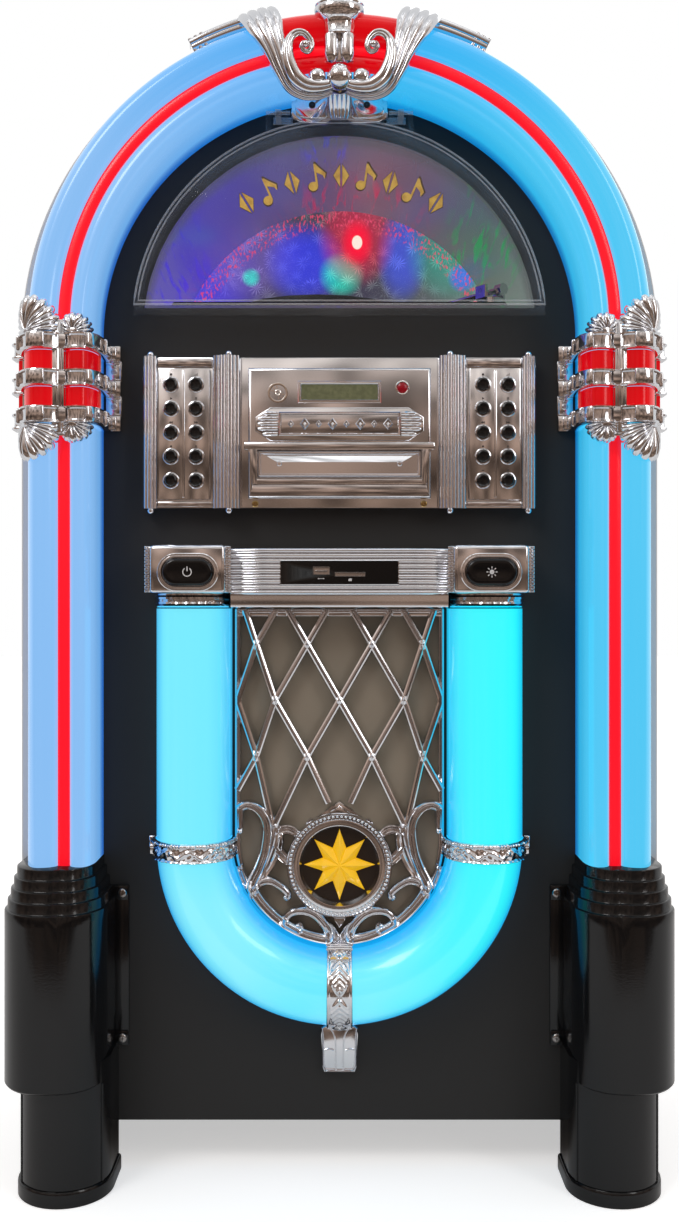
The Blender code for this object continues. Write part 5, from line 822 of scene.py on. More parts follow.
def refined(node: str, finish: Finish, sharp: float = 30.0) -> bpy.types.Object:
    """A CAD node's own shape with its triangles merged, its flat faces joined and its curves shaded smooth.

    Args:
        node: The CAD node.
        finish: Its material.
        sharp: The angle in degrees above which an edge stays sharp.

    Returns:
        The piece that stands for the node.
    """
    shape = bmesh.new()
    shape.from_mesh(frame["nodes"][node].data)
    bmesh.ops.remove_doubles(shape, verts=shape.verts, dist=0.000002)
    bmesh.ops.dissolve_limit(shape, angle_limit=math.radians(0.4), verts=shape.verts, edges=shape.edges)
    mesh = bpy.data.meshes.new(f"{node}_look")
    shape.to_mesh(mesh)
    shape.free()
    return adopt(f"{node}_look", mesh, finish, frame["nodes"][node]["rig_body"], (node,), sharp)


# Sub-assemblies


@dataclass
class Cabinet:
    """The grained case with its baffle, back, floor boards and inlet."""

    half_width: float = 0.262
    edge: float = 0.0012
    shell: tuple[str, ...] = ("cabinet_shell",)
    grained: tuple[str, ...] = ("front_baffle",)

    def build(self) -> None:
        """Dresses the boards."""
        for node in self.shell + self.grained:
            refined(node, VINYL)
        for node in ("back_panel",):
            refined(node, BOARD)


@dataclass
class LightArch:
    """The double-lobed lit tube that runs up both sides and over the top, with its red stripe."""

    inner: float = 0.209
    stripe: float = 0.233
    outer: float = 0.267
    flange: float = 0.279
    foot_z: float = 0.262
    joint_z: float = 0.690
    valley: float = 0.049
    top: float = 0.058
    outer_top: float = 0.060
    spring: float = 0.034
    outer_spring: float = 0.028
    lip: float = 0.011
    lobe_steps: int = 14
    arch_steps: int = 120
    left: TubeGlow = TubeGlow("left_tube_glow")
    right: TubeGlow = TubeGlow("right_tube_glow", pale=(0.07, 0.62, 0.98), middle=(0.03, 0.56, 0.98),
                               deep=(0.0, 0.20, 0.58))
    red: LitPlastic = LitPlastic("red_light")
    edge: MouldedPlastic = MouldedPlastic("clear_flange", base=(0.66, 0.68, 0.70), roughness=0.20, flecks=0.0)

    def lobe(self, start: Point2, top: Point2, end: Point2) -> list[Point2]:
        """A lobe's outline as two quarter ellipses: up from its start, and down to its end."""
        rise = [(top[0] + (start[0] - top[0]) * math.cos(t), start[1] + (top[1] - start[1]) * math.sin(t))
                for t in (math.pi / 2 * i / self.lobe_steps for i in range(self.lobe_steps + 1))]
        fall = [(top[0] + (end[0] - top[0]) * math.sin(t), end[1] + (top[1] - end[1]) * math.cos(t))
                for t in (math.pi / 2 * i / self.lobe_steps for i in range(1, self.lobe_steps + 1))]
        return rise + fall

    def glass(self) -> list[Point2]:
        """The glowing wall's outline, as (radius, out), without its flange."""
        near, far = self.stripe - 0.005, self.stripe + 0.005
        return ([(self.inner, SEAT)]
                + self.lobe((self.inner, self.spring), ((self.inner + near) / 2, self.top), (near, self.valley))
                + self.lobe((far, self.valley), ((far + self.outer) / 2, self.outer_top),
                            (self.outer, self.outer_spring))
                + [(self.outer, self.lip)])

    def rim(self) -> list[Point2]:
        """The clear flange's outline, as (radius, out)."""
        return [(self.outer - 0.0003, self.lip + 0.001), (self.outer + 0.001, self.lip),
                (self.flange - 0.0012, self.lip),
                (self.flange, self.lip - 0.0012), (self.flange, SEAT)]

    def over(self, section: Sequence[Point2], low: float) -> list[list[Vector]]:
        """A section carried up the left side, over the arch and down the right side.

        Args:
            section: (radius, out) points.
            low: The height at which it starts and ends.

        Returns:
            Rows of points, one for each station.
        """
        rows = [[at(-r, out, low) for r, out in section], [at(-r, out, ARCH_Z) for r, out in section]]
        for i in range(1, self.arch_steps):
            angle = math.pi * (1 - i / self.arch_steps)
            rows.append([at(r * math.cos(angle), out, ARCH_Z + r * math.sin(angle)) for r, out in section])
        rows += [[at(r, out, ARCH_Z) for r, out in section], [at(r, out, low) for r, out in section]]
        return rows

    def backed(self, section: Sequence[Point2]) -> list[Point2]:
        """A section with its back closed by a wall behind it."""
        return list(section) + [(r, SEAT) for r in (section[-1][0], section[0][0])]

    def build(self) -> None:
        """Builds both pillars, the arch, the flanges and the stripe."""
        glass = self.backed(self.glass())
        rim = self.backed(self.rim())
        for side, glow in ((Side.LEFT, self.left), (Side.RIGHT, self.right)):
            rows = [[at(side.value * r, out, z) for r, out in glass] for z in (self.foot_z + SEAT, self.joint_z)]
            piece(f"{side.name.lower()}_pillar_glass", grid(rows, around=True, caps=True), glow, Body.CABINET,
                  (f"{side.name.lower()}_pillar_tube",))
            rows = [[at(side.value * r, out, z) for r, out in rim] for z in (self.foot_z + SEAT, self.joint_z)]
            piece(f"{side.name.lower()}_pillar_flange", grid(rows, around=True, caps=True), self.edge, Body.CABINET)
        stations = self.over(glass, self.joint_z + SEAT)
        middle = len(stations) // 2
        piece("arch_glass_left", grid(stations[:middle + 1], around=True, caps=True), self.left, Body.CABINET,
              ("arch_tube",))
        piece("arch_glass_right", grid(stations[middle:], around=True, caps=True), self.right, Body.CABINET)
        piece("arch_flange", grid(self.over(rim, self.joint_z + SEAT), around=True, caps=True), self.edge,
              Body.CABINET)
        half = 0.005
        ridge = [(self.stripe - half, self.valley + SEAT), (self.stripe - half, self.valley + 0.0024),
                 (self.stripe - half * 0.7, self.valley + 0.0034), (self.stripe, self.valley + 0.0037),
                 (self.stripe + half * 0.7, self.valley + 0.0034), (self.stripe + half, self.valley + 0.0024),
                 (self.stripe + half, self.valley + SEAT)]
        piece("stripe_look", grid(self.over(ridge, self.foot_z + SEAT), around=True, caps=True), self.red,
              Body.CABINET, ("stripe",))


@dataclass
class Studio:
    """The camera, the lamps, the pale floor and the white background."""

    distance: float = 1.100
    height: float = 0.501
    lens: float = 36.56
    pitch: float = 0.0
    shift: float = -0.0065
    key: float = 16.0
    fill: float = 7.0
    ambient: float = 0.75
    floor_colour: Colour = (0.80, 0.80, 0.80)
    floor_back: float = 5.2
    floor_radius: float = 6.0
    patch_scale: float = 7.0
    patch_detail: float = 2.0
    patch_levels: tuple[tuple[float, float], ...] = ((0.36, 0.35), (0.64, 2.3))
    white_behind: tuple[float, float] = (-0.10, 0.25)
    floor_glow: float = 0.50
    room: tuple[tuple[float, Colour], ...] = (
        (0.0, (0.26, 0.19, 0.15)), (0.40, (0.20, 0.135, 0.10)), (0.485, (0.07, 0.047, 0.036)),
        (0.53, (0.30, 0.205, 0.155)), (0.62, (0.36, 0.26, 0.21)), (0.75, (0.62, 0.55, 0.50)), (1.0, (1.0, 1.0, 1.0)))

    def camera(self) -> None:
        """Sets the camera at the photograph's viewpoint."""
        data = bpy.data.cameras.new("camera")
        data.sensor_fit = "VERTICAL"
        data.sensor_width = data.sensor_height = 36.0
        data.lens = self.lens
        data.shift_y = self.shift
        data.clip_start = 0.01
        camera = bpy.data.objects.new("camera", data)
        camera.location = (0.0, BAFFLE_Y - self.distance, self.height)
        camera.rotation_euler = (math.radians(90 - self.pitch), 0.0, 0.0)
        bpy.context.scene.collection.objects.link(camera)
        bpy.context.scene.camera = camera

    def lamp(self, name: str, place: Vector, target: Vector, size: tuple[float, float], power: float,
             colour: Colour = (1.0, 1.0, 1.0)) -> None:
        """Adds a soft rectangular lamp that faces a point."""
        data = bpy.data.lights.new(name, "AREA")
        data.shape = "RECTANGLE"
        data.size, data.size_y = size
        data.energy = power
        data.color = colour
        lamp = bpy.data.objects.new(name, data)
        lamp.location = place
        lamp.rotation_euler = (target - place).to_track_quat("-Z", "Y").to_euler()
        bpy.context.scene.collection.objects.link(lamp)

    def floor(self) -> None:
        """Lays a floor that shows white to the camera but keeps the shadow."""
        sketch = Sketch("floor_paper")
        path = sketch.node("ShaderNodeLightPath")
        seen = sketch.mix(Term(sketch, path.outputs["Is Camera Ray"]), (0.0, 0.0, 0.0), (1.0, 1.0, 1.0))
        sketch.dress(Base_Color=self.floor_colour, Roughness=0.7, Specular_IOR_Level=0.0,
                     Emission_Color=seen, Emission_Strength=self.floor_glow)
        shape = bmesh.new()
        bmesh.ops.create_circle(shape, cap_ends=True, segments=64, radius=self.floor_radius)
        bmesh.ops.translate(shape, verts=shape.verts, vec=(0.0, self.floor_back, 0.0))
        mesh = bpy.data.meshes.new("floor")
        shape.to_mesh(mesh)
        shape.free()
        mesh.materials.append(sketch.material)
        floor = bpy.data.objects.new("floor", mesh)
        bpy.context.scene.collection.objects.link(floor)

    def sky(self) -> None:
        """Surrounds the object with a soft room: white behind it, and warm, dimmer and uneven behind the camera."""
        world = bpy.data.worlds.new("soft_room")
        world.use_nodes = True
        tree = world.node_tree
        shade = tree.nodes["Background"]
        where = tree.nodes.new("ShaderNodeTexCoord")
        split = tree.nodes.new("ShaderNodeSeparateXYZ")
        tree.links.new(where.outputs["Generated"], split.inputs[0])
        rows = tree.nodes.new("ShaderNodeValToRGB")
        stops = self.room
        while len(rows.color_ramp.elements) < len(stops):
            rows.color_ramp.elements.new(0.5)
        for element, (place, colour) in zip(rows.color_ramp.elements, stops):
            element.position, element.color = place, (*colour, 1.0)
        raised = tree.nodes.new("ShaderNodeMapRange")
        raised.inputs["From Min"].default_value = -1.0
        tree.links.new(split.outputs["Z"], raised.inputs["Value"])
        tree.links.new(raised.outputs["Result"], rows.inputs["Fac"])
        behind = tree.nodes.new("ShaderNodeMapRange")
        behind.interpolation_type = "SMOOTHSTEP"
        behind.inputs["From Min"].default_value, behind.inputs["From Max"].default_value = self.white_behind
        tree.links.new(split.outputs["Y"], behind.inputs["Value"])
        blend = tree.nodes.new("ShaderNodeMix")
        blend.data_type = "RGBA"
        tree.links.new(behind.outputs["Result"], blend.inputs[0])
        clouds = tree.nodes.new("ShaderNodeTexNoise")
        clouds.inputs["Scale"].default_value = self.patch_scale
        clouds.inputs["Detail"].default_value = self.patch_detail
        tree.links.new(where.outputs["Generated"], clouds.inputs["Vector"])
        patches = tree.nodes.new("ShaderNodeMapRange")
        (noise_low, dim), (noise_high, bright) = self.patch_levels
        for name, value in (("From Min", noise_low), ("From Max", noise_high), ("To Min", dim), ("To Max", bright)):
            patches.inputs[name].default_value = value
        tree.links.new(clouds.outputs["Fac"], patches.inputs["Value"])
        uneven = tree.nodes.new("ShaderNodeVectorMath")
        uneven.operation = "SCALE"
        tree.links.new(rows.outputs["Color"], uneven.inputs[0])
        tree.links.new(patches.outputs["Result"], uneven.inputs["Scale"])
        tree.links.new(uneven.outputs[0], blend.inputs[6])
        blend.inputs[7].default_value = (1.0, 1.0, 1.0, 1.0)
        tree.links.new(blend.outputs[2], shade.inputs["Color"])
        shade.inputs["Strength"].default_value = self.ambient
        white = tree.nodes.new("ShaderNodeBackground")
        white.inputs["Color"].default_value = (1, 1, 1, 1)
        white.inputs["Strength"].default_value = 1.0
        path = tree.nodes.new("ShaderNodeLightPath")
        mix = tree.nodes.new("ShaderNodeMixShader")
        tree.links.new(path.outputs["Is Camera Ray"], mix.inputs[0])
        tree.links.new(shade.outputs[0], mix.inputs[1])
        tree.links.new(white.outputs[0], mix.inputs[2])
        tree.links.new(mix.outputs[0], tree.nodes["World Output"].inputs["Surface"])
        bpy.context.scene.world = world

    def build(self) -> None:
        """Sets up everything that isn't the jukebox."""
        self.camera()
        self.floor()
        self.sky()
        aim = Vector((0, 0, 0.5))
        self.lamp("key", Vector((-1.3, -1.7, 2.3)), aim, (0.9, 0.9), self.key)
        self.lamp("fill", Vector((1.5, -1.6, 1.5)), aim, (0.5, 1.2), self.fill)
        self.lamp("back", Vector((0.6, 2.4, 2.0)), aim, (2.0, 1.5), self.fill)
        bpy.context.scene.view_settings.view_transform = "Standard"


@dataclass(frozen=True)
class LampField:
    """A round patch of coloured light on a wall: where it is, how wide, and its colour."""

    x: float
    z: float
    radius: float
    colour: Colour
    stretch: float = 1.0


@dataclass(frozen=True)
class StarburstFoil(Finish):
    """Film printed with small starbursts. Its colour is painted reflection of the lamps behind the window, glowing as
    emission, with painted glints where the starbursts flash in the lamps' colours.
    """

    base: Colour = (0.050, 0.045, 0.075)
    burst: float = 74.0
    rays: float = 11.0
    fields: tuple[LampField, ...] = (
        LampField(-0.150, 0.850, 0.075, (0.10, 0.06, 0.95), 1.6),
        LampField(-0.090, 0.870, 0.060, (0.16, 0.10, 0.45)),
        LampField(-0.036, 0.858, 0.048, (0.02, 0.04, 1.0)),
        LampField(0.002, 0.846, 0.026, (0.0, 0.75, 0.55)),
        LampField(-0.093, 0.843, 0.011, (0.0, 0.75, 0.60)),
        LampField(0.066, 0.866, 0.030, (0.05, 0.10, 0.85), 1.8),
        LampField(0.120, 0.868, 0.055, (0.02, 0.34, 0.26)),
        LampField(0.158, 0.900, 0.055, (0.02, 0.30, 0.09), 1.5),
        LampField(0.129, 0.843, 0.017, (0.04, 0.12, 1.0)),
        LampField(0.018, 0.886, 0.044, (0.62, 0.0, 0.04), 1.3))
    lamp: LampField = LampField(0.0185, 0.880, 0.0062, (1.0, 0.62, 0.30), 1.35)

    def patch(self, x: Term, z: Term, spot: LampField) -> Term:
        """How strongly a patch of light reaches each point, from 0 to 1."""
        across, up = (x - spot.x) / spot.radius, (z - spot.z) / (spot.radius * spot.stretch)
        return (across * across + up * up).step(1.0, 0.0)

    def draw(self) -> bpy.types.Material:
        """Painted light as emission: starburst glints over painted patches of lamp light, a rim of painted red glints,
        and one bright lamp spot with a painted halo.
        """
        sketch = Sketch(self.name)
        x, _, z = sketch.point()
        flat = sketch.combined(x, 0.0, z)
        voronoi = sketch.node("ShaderNodeTexVoronoi", {"feature": "F1", "voronoi_dimensions": "3D"},
                              {"Vector": flat, "Scale": self.burst, "Randomness": 0.85})
        centre = sketch.node("ShaderNodeSeparateXYZ", values={0: voronoi.outputs["Position"]})
        chance = sketch.node("ShaderNodeSeparateColor", values={0: voronoi.outputs["Color"]})
        luck = Term(sketch, chance.outputs[0])
        angle = sketch.math("ARCTAN2", z - Term(sketch, centre.outputs["Z"]), x - Term(sketch, centre.outputs["X"]))
        fan = ((angle + luck * 6.283) * self.rays).sine() * 0.5 + 0.5
        near = Term(sketch, voronoi.outputs["Distance"])
        flash = fan ** 2.5 * near.step(0.80, 0.10) * (0.30 + luck * 1.2)
        flash = flash * sketch.noise(90.0, 2.0).step(0.34, 0.56) * 1.4
        # Painted reflection: paler grey-green towards the lower right.
        colour = sketch.mix(z.step(0.93, 0.83) * x.step(0.02, 0.16), self.base, (0.13, 0.17, 0.15))
        lit = sketch.mix(0.0, (0.20, 0.22, 0.25), (0.0, 0.0, 0.0))
        # Painted light: each patch mixes in its lamp's colour, and the starburst glints take a brighter copy of it.
        for spot in self.fields:
            share = self.patch(x, z, spot)
            colour = sketch.mix(share * 0.62, colour, spot.colour)
            bright = tuple(min(channel * 1.3 + 0.08, 1.0) for channel in spot.colour)
            lit = sketch.mix(share, lit, bright)
        colour = sketch.mix(flash.at_most(1.0), colour, lit)
        across, up = x, z - WINDOW_Z
        edge = (across * across + up * up) ** 0.5
        # Painted red glints round the outer edge of the foil.
        painted_red_glints = edge.step(0.150, 0.158) * sketch.noise(420.0, 2.0, (1.0, 1.0, 0.5)).step(0.52, 0.62)
        colour = sketch.mix(painted_red_glints * 0.8, colour, (0.75, 0.06, 0.14))
        # A painted bright lamp spot with a painted red halo round it.
        core = self.patch(x, z, self.lamp)
        halo = self.patch(x, z, LampField(self.lamp.x, self.lamp.z, 0.019, (1, 0, 0), 1.45))
        colour = sketch.mix(halo, colour, (1.0, 0.0, 0.035))
        colour = sketch.mix(core.step(0.0, 0.35), colour, (1.0, 0.83, 0.72))
        # The whole colour goes to emission, so the foil glows with painted light.
        return sketch.dress(Base_Color=(0.03, 0.03, 0.04), Roughness=0.32, Specular_IOR_Level=0.15,
                            Emission_Color=colour,
                            Emission_Strength=1.0, Normal=sketch.bump(flash, 0.2, 0.0004))


@dataclass(frozen=True)
class BarrelFoil(Finish):
    """Plain mirror film round the record space. Its colour is painted reflection of the coloured lamps, glowing as
    emission and streaked by them.
    """

    def draw(self) -> bpy.types.Material:
        """Painted reflections: blue at the left, violet and red over the top, and grey-green at the right, with painted
        shade towards the front.
        """
        sketch = Sketch(self.name)
        x, y, _ = sketch.point()
        drift = sketch.noise(22.0, 2.0, (1.0, 0.25, 1.0)) - 0.5
        across = (x + drift * 0.02) / 0.36 + 0.5
        colour = sketch.ramp(across, (0.0, (0.22, 0.20, 0.42)), (0.10, (0.085, 0.06, 0.62)),
                             (0.30, (0.12, 0.09, 0.30)), (0.45, (0.15, 0.10, 0.24)),
                             (0.60, (0.21, 0.13, 0.20)), (0.75, (0.17, 0.12, 0.18)), (0.88, (0.10, 0.17, 0.13)),
                             (1.0, (0.24, 0.30, 0.27)))
        # Painted streaks of lamp light, in red, green and blue.
        streaks = sketch.noise(130.0, 3.0, (1.0, 0.10, 1.0), 0.6).step(0.50, 0.68)
        back = y.step(0.0, 0.10)
        red = streaks * x.step(-0.06, 0.0) * x.step(0.10, 0.04) * back
        colour = sketch.mix(red, colour, (0.80, 0.01, 0.10))
        green = streaks * x.step(0.10, 0.13) * x.step(0.168, 0.15)
        colour = sketch.mix(green * 0.8, colour, (0.0, 0.42, 0.08))
        blue = streaks * x.step(-0.12, -0.15) * 0.8 + streaks * (x + 0.012).absolute().step(0.03, 0.0) * y.step(0.0,
                                                                                                                -0.05)
        colour = sketch.mix(blue, colour, (0.07, 0.04, 0.9))
        # Painted shade: duller and greyer towards the front edge.
        dark = y.step(-0.045, -0.075)
        colour = sketch.mix(dark * 0.6, colour, (0.10, 0.10, 0.10))
        return sketch.dress(Base_Color=(0.03, 0.03, 0.04), Roughness=0.25, Specular_IOR_Level=0.10,
                            Emission_Color=colour,
                            Emission_Strength=0.60, Normal=sketch.bump(streaks, 0.15, 0.0005))


@dataclass(frozen=True)
class ClearPlastic(Finish):
    """Clear acrylic: nearly invisible face on, bright at a slant."""

    haze: float = 0.012
    edge: float = 0.13
    colour: Colour = (0.72, 0.75, 0.80)

    def draw(self) -> bpy.types.Material:
        """A see-through surface whose gloss grows at a slant."""
        sketch = Sketch(self.name)
        facing = Term(sketch, sketch.node("ShaderNodeLayerWeight", values={"Blend": 0.35}).outputs["Facing"])
        smear = sketch.noise(24.0, 2.0).step(0.4, 0.8) * 0.02
        return sketch.dress(Base_Color=self.colour, Roughness=0.03, Specular_IOR_Level=0.5,
                            Alpha=facing ** 2.0 * self.edge + smear + self.haze)


@dataclass(frozen=True)
class WovenWire(Finish):
    """Beige wire woven on the slant over a dark cone."""

    pitch: float = 0.0032
    wire: Colour = (0.125, 0.105, 0.078)
    hole: Colour = (0.004, 0.004, 0.004)

    def draw(self) -> bpy.types.Material:
        """Two sets of wires that pass over and under each other, with painted shade towards their edges and where they
        dip under.
        """
        sketch = Sketch(self.name)
        x, _, z = sketch.point()
        scale = 1.0 / (self.pitch * math.sqrt(2))
        sway = (sketch.noise(60.0, 1.0) - 0.5) * 0.25
        u, v = (x + z) * scale + sway, (x - z) * scale + sway
        first, second = (u.fraction() - 0.5).absolute(), (v.fraction() - 0.5).absolute()
        over = ((u - u.fraction() + v - v.fraction()) * 0.5).fraction().step(0.2, 0.3)
        wire_a, wire_b = first.step(0.145, 0.10), second.step(0.145, 0.10)
        round_a, round_b = 1 - first * 5.5, 1 - second * 5.5
        height = wire_a * round_a * (0.55 + over * 0.45)
        other = wire_b * round_b * (1.0 - over * 0.45)
        top = height.at_least(other)
        # Painted shade: the wire colour falls towards the dark between the wires at their edges and where a wire passes
        # under the other.
        shade = top.step(0.0, 0.75)
        return sketch.dress(
            Base_Color=sketch.mix(shade, self.hole, self.wire), Roughness=0.5, Specular_IOR_Level=0.2,
            Normal=sketch.bump(top, 0.9, 0.0008))


@dataclass(frozen=True)
class Gilt(Finish):
    """Golden paint or moulding."""

    colour: Colour = (0.86, 0.50, 0.03)
    metal: float = 0.25
    roughness: float = 0.30

    def draw(self) -> bpy.types.Material:
        """Warm yellow with slightly uneven gloss."""
        sketch = Sketch(self.name)
        clouds = sketch.noise(160.0, 3.0)
        deep = (self.colour[0] * 0.72, self.colour[1] * 0.62, self.colour[2] * 0.6)
        return sketch.dress(Base_Color=sketch.mix(clouds.step(0.35, 0.75), self.colour, deep), Metallic=self.metal,
                            Roughness=clouds * 0.12 + self.roughness, Normal=sketch.bump(clouds, 0.1, 0.0003))


CLEAR = ClearPlastic("clear_cover")
CLEAR_RIM = ClearPlastic("clear_rim", haze=0.22, edge=0.6, colour=(0.80, 0.83, 0.86))
GOLD_LEAF = Gilt("gold_leaf", colour=(0.90, 0.60, 0.12), metal=0.2)
GOLD_EDGE = Gilt("gold_edge", colour=(0.10, 0.05, 0.02), metal=0.0)
MESH = WovenWire("woven_mesh")


@dataclass
class Window:
    """The half-round clear cover with its rim, its catch tab, and an arc of gold ornaments."""

    radius: float = 0.180
    sill: float = 0.759
    out: float = 0.022
    reach: float = 0.025
    ornament_arc: float = 0.155
    ornament_z: float = 0.717
    ornament_turn: float = 8.0

    def outline(self, radius: float, sill: float, steps: int = 64) -> list[Point2]:
        """The half-round outline."""
        start = math.degrees(math.asin((sill - WINDOW_Z) / radius))
        return arc((0.0, WINDOW_Z), radius, start, 180 - start, steps)

    def build(self) -> None:
        """Builds the dome, the rims and the ornaments."""
        refined("window_cover", CLEAR)
        refined("window_hinge", CLEAR_RIM)
        inner = self.reach + 0.0002
        for name, radius, sill, width in (("rim_outer", self.radius, self.sill, 0.0009),
                                          ("rim_inner", self.radius - 0.0034, self.sill + 0.0034, 0.0007)):
            line = self.outline(radius - width, sill + width)
            path = [at(x, inner, z) for x, z in line]
            path = path + [at(line[-1][0] + (line[0][0] - line[-1][0]) * i / 12, inner, line[0][1])
                           for i in range(1, 12)]
            piece(f"window_{name}", tube(path, [width] * len(path), 8, closed=True), CLEAR_RIM, Body.COVER)
        self.ornaments()

    def note(self, height: float) -> list[list[Point2]]:
        """A quaver's outline: head, stem and flag as one closed line round (0, 0)."""
        head = arc((-0.16 * height, -0.32 * height), 0.17 * height, 75, 330, 14)
        stem = [(0.02 * height, 0.18 * height), (0.24 * height, 0.05 * height), (0.30 * height, -0.10 * height),
                (0.36 * height, 0.10 * height), (0.14 * height, 0.34 * height), (0.02 * height, 0.50 * height),
                (-0.05 * height, 0.50 * height), (-0.05 * height, -0.16 * height)]
        return [head + [(0.02 * height, -0.33 * height)] + stem]

    def lozenge(self, height: float) -> list[list[Point2]]:
        """Two halves of a lozenge with a slit between them."""
        gap, wide, tall = 0.045 * height, 0.30 * height, 0.5 * height
        half = [(gap, tall * 0.86), (gap, -tall * 0.86), (wide, 0.0)]
        return [half, [(-x, z) for x, z in reversed(half)]]

    def ornaments(self) -> None:
        """Sets gold lozenges and notes along an arc on the cover, each with a thin dark edge."""
        leaf, edge = [], []
        for i in range(-4, 5):
            turn = math.radians(-i * self.ornament_turn)
            middle = (math.sin(-turn) * self.ornament_arc + 0.0015, self.ornament_z
                      + math.cos(turn) * self.ornament_arc)
            for line in (self.lozenge(0.0225) if i % 2 == 0 else self.note(0.0235)):
                placed = [(middle[0] + x * math.cos(turn) - z * math.sin(turn),
                           middle[1] + x * math.sin(turn) + z * math.cos(turn)) for x, z in line]
                leaf.append(slab(placed, self.out + 0.0007, self.out + 0.0012))
                centre = Vector((sum(x for x, _ in placed), sum(z for _, z in placed))) / len(placed)
                wider = [tuple(centre + (Vector(point) - centre) * 1.13) for point in placed]
                edge.append(slab(wider, self.out + 0.0002, self.out + 0.0008))
        piece("gold_ornaments", merged(*leaf), GOLD_LEAF, Body.COVER)
        piece("gold_ornament_edges", merged(*edge), GOLD_EDGE, Body.COVER)


@dataclass
class RecordSpace:
    """The foil-lined space behind the window, with the turntable in it."""

    radius: float = 0.172
    floor_z: float = 0.765
    wall: float = 0.0022
    flange: float = 0.0018
    barrel: BarrelFoil = BarrelFoil("barrel_foil")
    foil: StarburstFoil = StarburstFoil("starburst_foil")

    def ring(self, grow: float, y: float, steps: int = 72) -> list[Vector]:
        """The space's half-round outline at this depth."""
        start = math.degrees(math.asin((self.floor_z - grow - WINDOW_Z) / (self.radius + grow)))
        line = arc((0.0, WINDOW_Z), self.radius + grow, start, 180 - start, steps)
        return [Vector((x, y, z)) for x, z in line]

    def build(self) -> None:
        """Builds the barrel and the back wall as closed shells, and dresses the turntable."""
        low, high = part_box("alcove_liner")
        rows = [self.ring(self.wall, high.y), self.ring(self.wall, low.y), self.ring(0.0, low.y),
                self.ring(0.0, high.y - self.wall)]
        shape = grid(rows, around=True)
        shape.verts.ensure_lookup_table()
        count = len(rows[0])
        shape.faces.new(shape.verts[:count])
        shape.faces.new(shape.verts[3 * count:4 * count])
        piece("barrel_wall", shape, self.barrel, Body.CABINET, ("alcove_liner",))
        sheet = grid([self.ring(-0.0003, high.y - self.wall - 0.0002),
                      self.ring(-0.0003, high.y - self.wall - 0.0008)],
                     around=True, caps=True)
        piece("back_foil", sheet, self.foil, Body.CABINET)
        refined("turntable_plinth", GLOSS)
        refined("tonearm", CHROME)
        refined("tonearm_base", CHROME)
        refined("platter", RUBBER)


@dataclass
class UTube:
    """The wide lit tube that hangs round the grille as a U."""

    outer: float = 0.160
    inner: float = 0.095
    centre_z: float = 0.2925
    top_z: float = 0.4962
    reach: float = 0.045
    spring: float = 0.012
    steps: int = 28
    bend_steps: int = 72

    def section(self) -> list[Point2]:
        """The section as (radius, out): low sides and a half-round crown."""
        middle, half = (self.outer + self.inner) / 2, (self.outer - self.inner) / 2
        crown = [(middle - half * math.cos(math.pi * i / self.steps),
                  self.spring + (self.reach - self.spring) * math.sin(math.pi * i / self.steps))
                 for i in range(self.steps + 1)]
        return [(self.inner, SEAT)] + crown + [(self.outer, SEAT)]

    def build(self) -> None:
        """Builds the tube as one piece in one glowing finish."""
        section = self.section()
        rows = [[at(-r, out, self.top_z) for r, out in section]]
        for i in range(self.bend_steps + 1):
            angle = math.pi + math.pi * i / self.bend_steps
            rows.append([at(r * math.cos(angle), out, self.centre_z + r * math.sin(angle)) for r, out in section])
        rows.append([at(r, out, self.top_z) for r, out in section])
        piece("u_tube_glass", grid(rows, around=True, caps=True), U_GLOW, Body.CABINET, ("u_tube",))


@dataclass(frozen=True)
class WideGlow(Finish):
    """The wide frosted tube: pale at the left, cyan at the right, blue at its outer edges."""

    left: Colour = (0.19, 0.84, 1.0)
    middle: Colour = (0.10, 0.80, 1.0)
    right: Colour = (0.0, 1.0, 1.0)
    pale: Colour = (0.42, 0.92, 1.0)
    edge: Colour = (0.0, 0.40, 0.95)

    def draw(self) -> bpy.types.Material:
        """A glow that follows the side, the height and how far the wall stands out."""
        sketch = Sketch(self.name)
        x, y, z = sketch.point()
        out = BAFFLE_Y - y
        clouds = sketch.noise(7.0, 2.0)
        colour = sketch.ramp(x / 0.32 + 0.5, (0.0, self.left), (0.5, self.middle), (1.0, self.right))
        colour = sketch.mix(z.step(0.30, 0.18) * clouds.step(0.3, 0.7) * x.step(0.13, -0.02) * 0.7, colour, self.pale)
        deep = out.step(0.043, 0.020) * (0.55 + z.step(0.42, 0.20) * 0.4)
        colour = sketch.mix(deep, colour, self.edge)
        return sketch.dress(Base_Color=(0.05, 0.14, 0.18), Roughness=0.22, Emission_Color=colour,
                            Emission_Strength=0.93, Coat_Weight=0.5, Coat_Roughness=0.06)


U_GLOW = WideGlow("wide_tube_glow")


@dataclass(frozen=True)
class Panel(Finish):
    """A plain coloured surface with the fine unevenness of its material, such as a display or a lens; its glow, where
    set, is painted light in its own colour.
    """

    colour: Colour = (0.12, 0.13, 0.07)
    other: Colour = (0.09, 0.10, 0.05)
    roughness: float = 0.12
    metal: float = 0.0
    glow: float = 0.0
    grain: float = 300.0

    def draw(self) -> bpy.types.Material:
        """Two near shades in clouds, under a glossy or matt skin."""
        sketch = Sketch(self.name)
        clouds = sketch.noise(self.grain, 3.0)
        colour = sketch.mix(clouds.step(0.3, 0.7), self.colour, self.other)
        return sketch.dress(Base_Color=colour, Roughness=clouds * 0.06 + self.roughness, Metallic=self.metal,
                            Emission_Color=colour, Emission_Strength=self.glow,
                            Normal=sketch.bump(clouds, 0.05, 0.0003), Coat_Weight=0.3, Coat_Roughness=0.05)


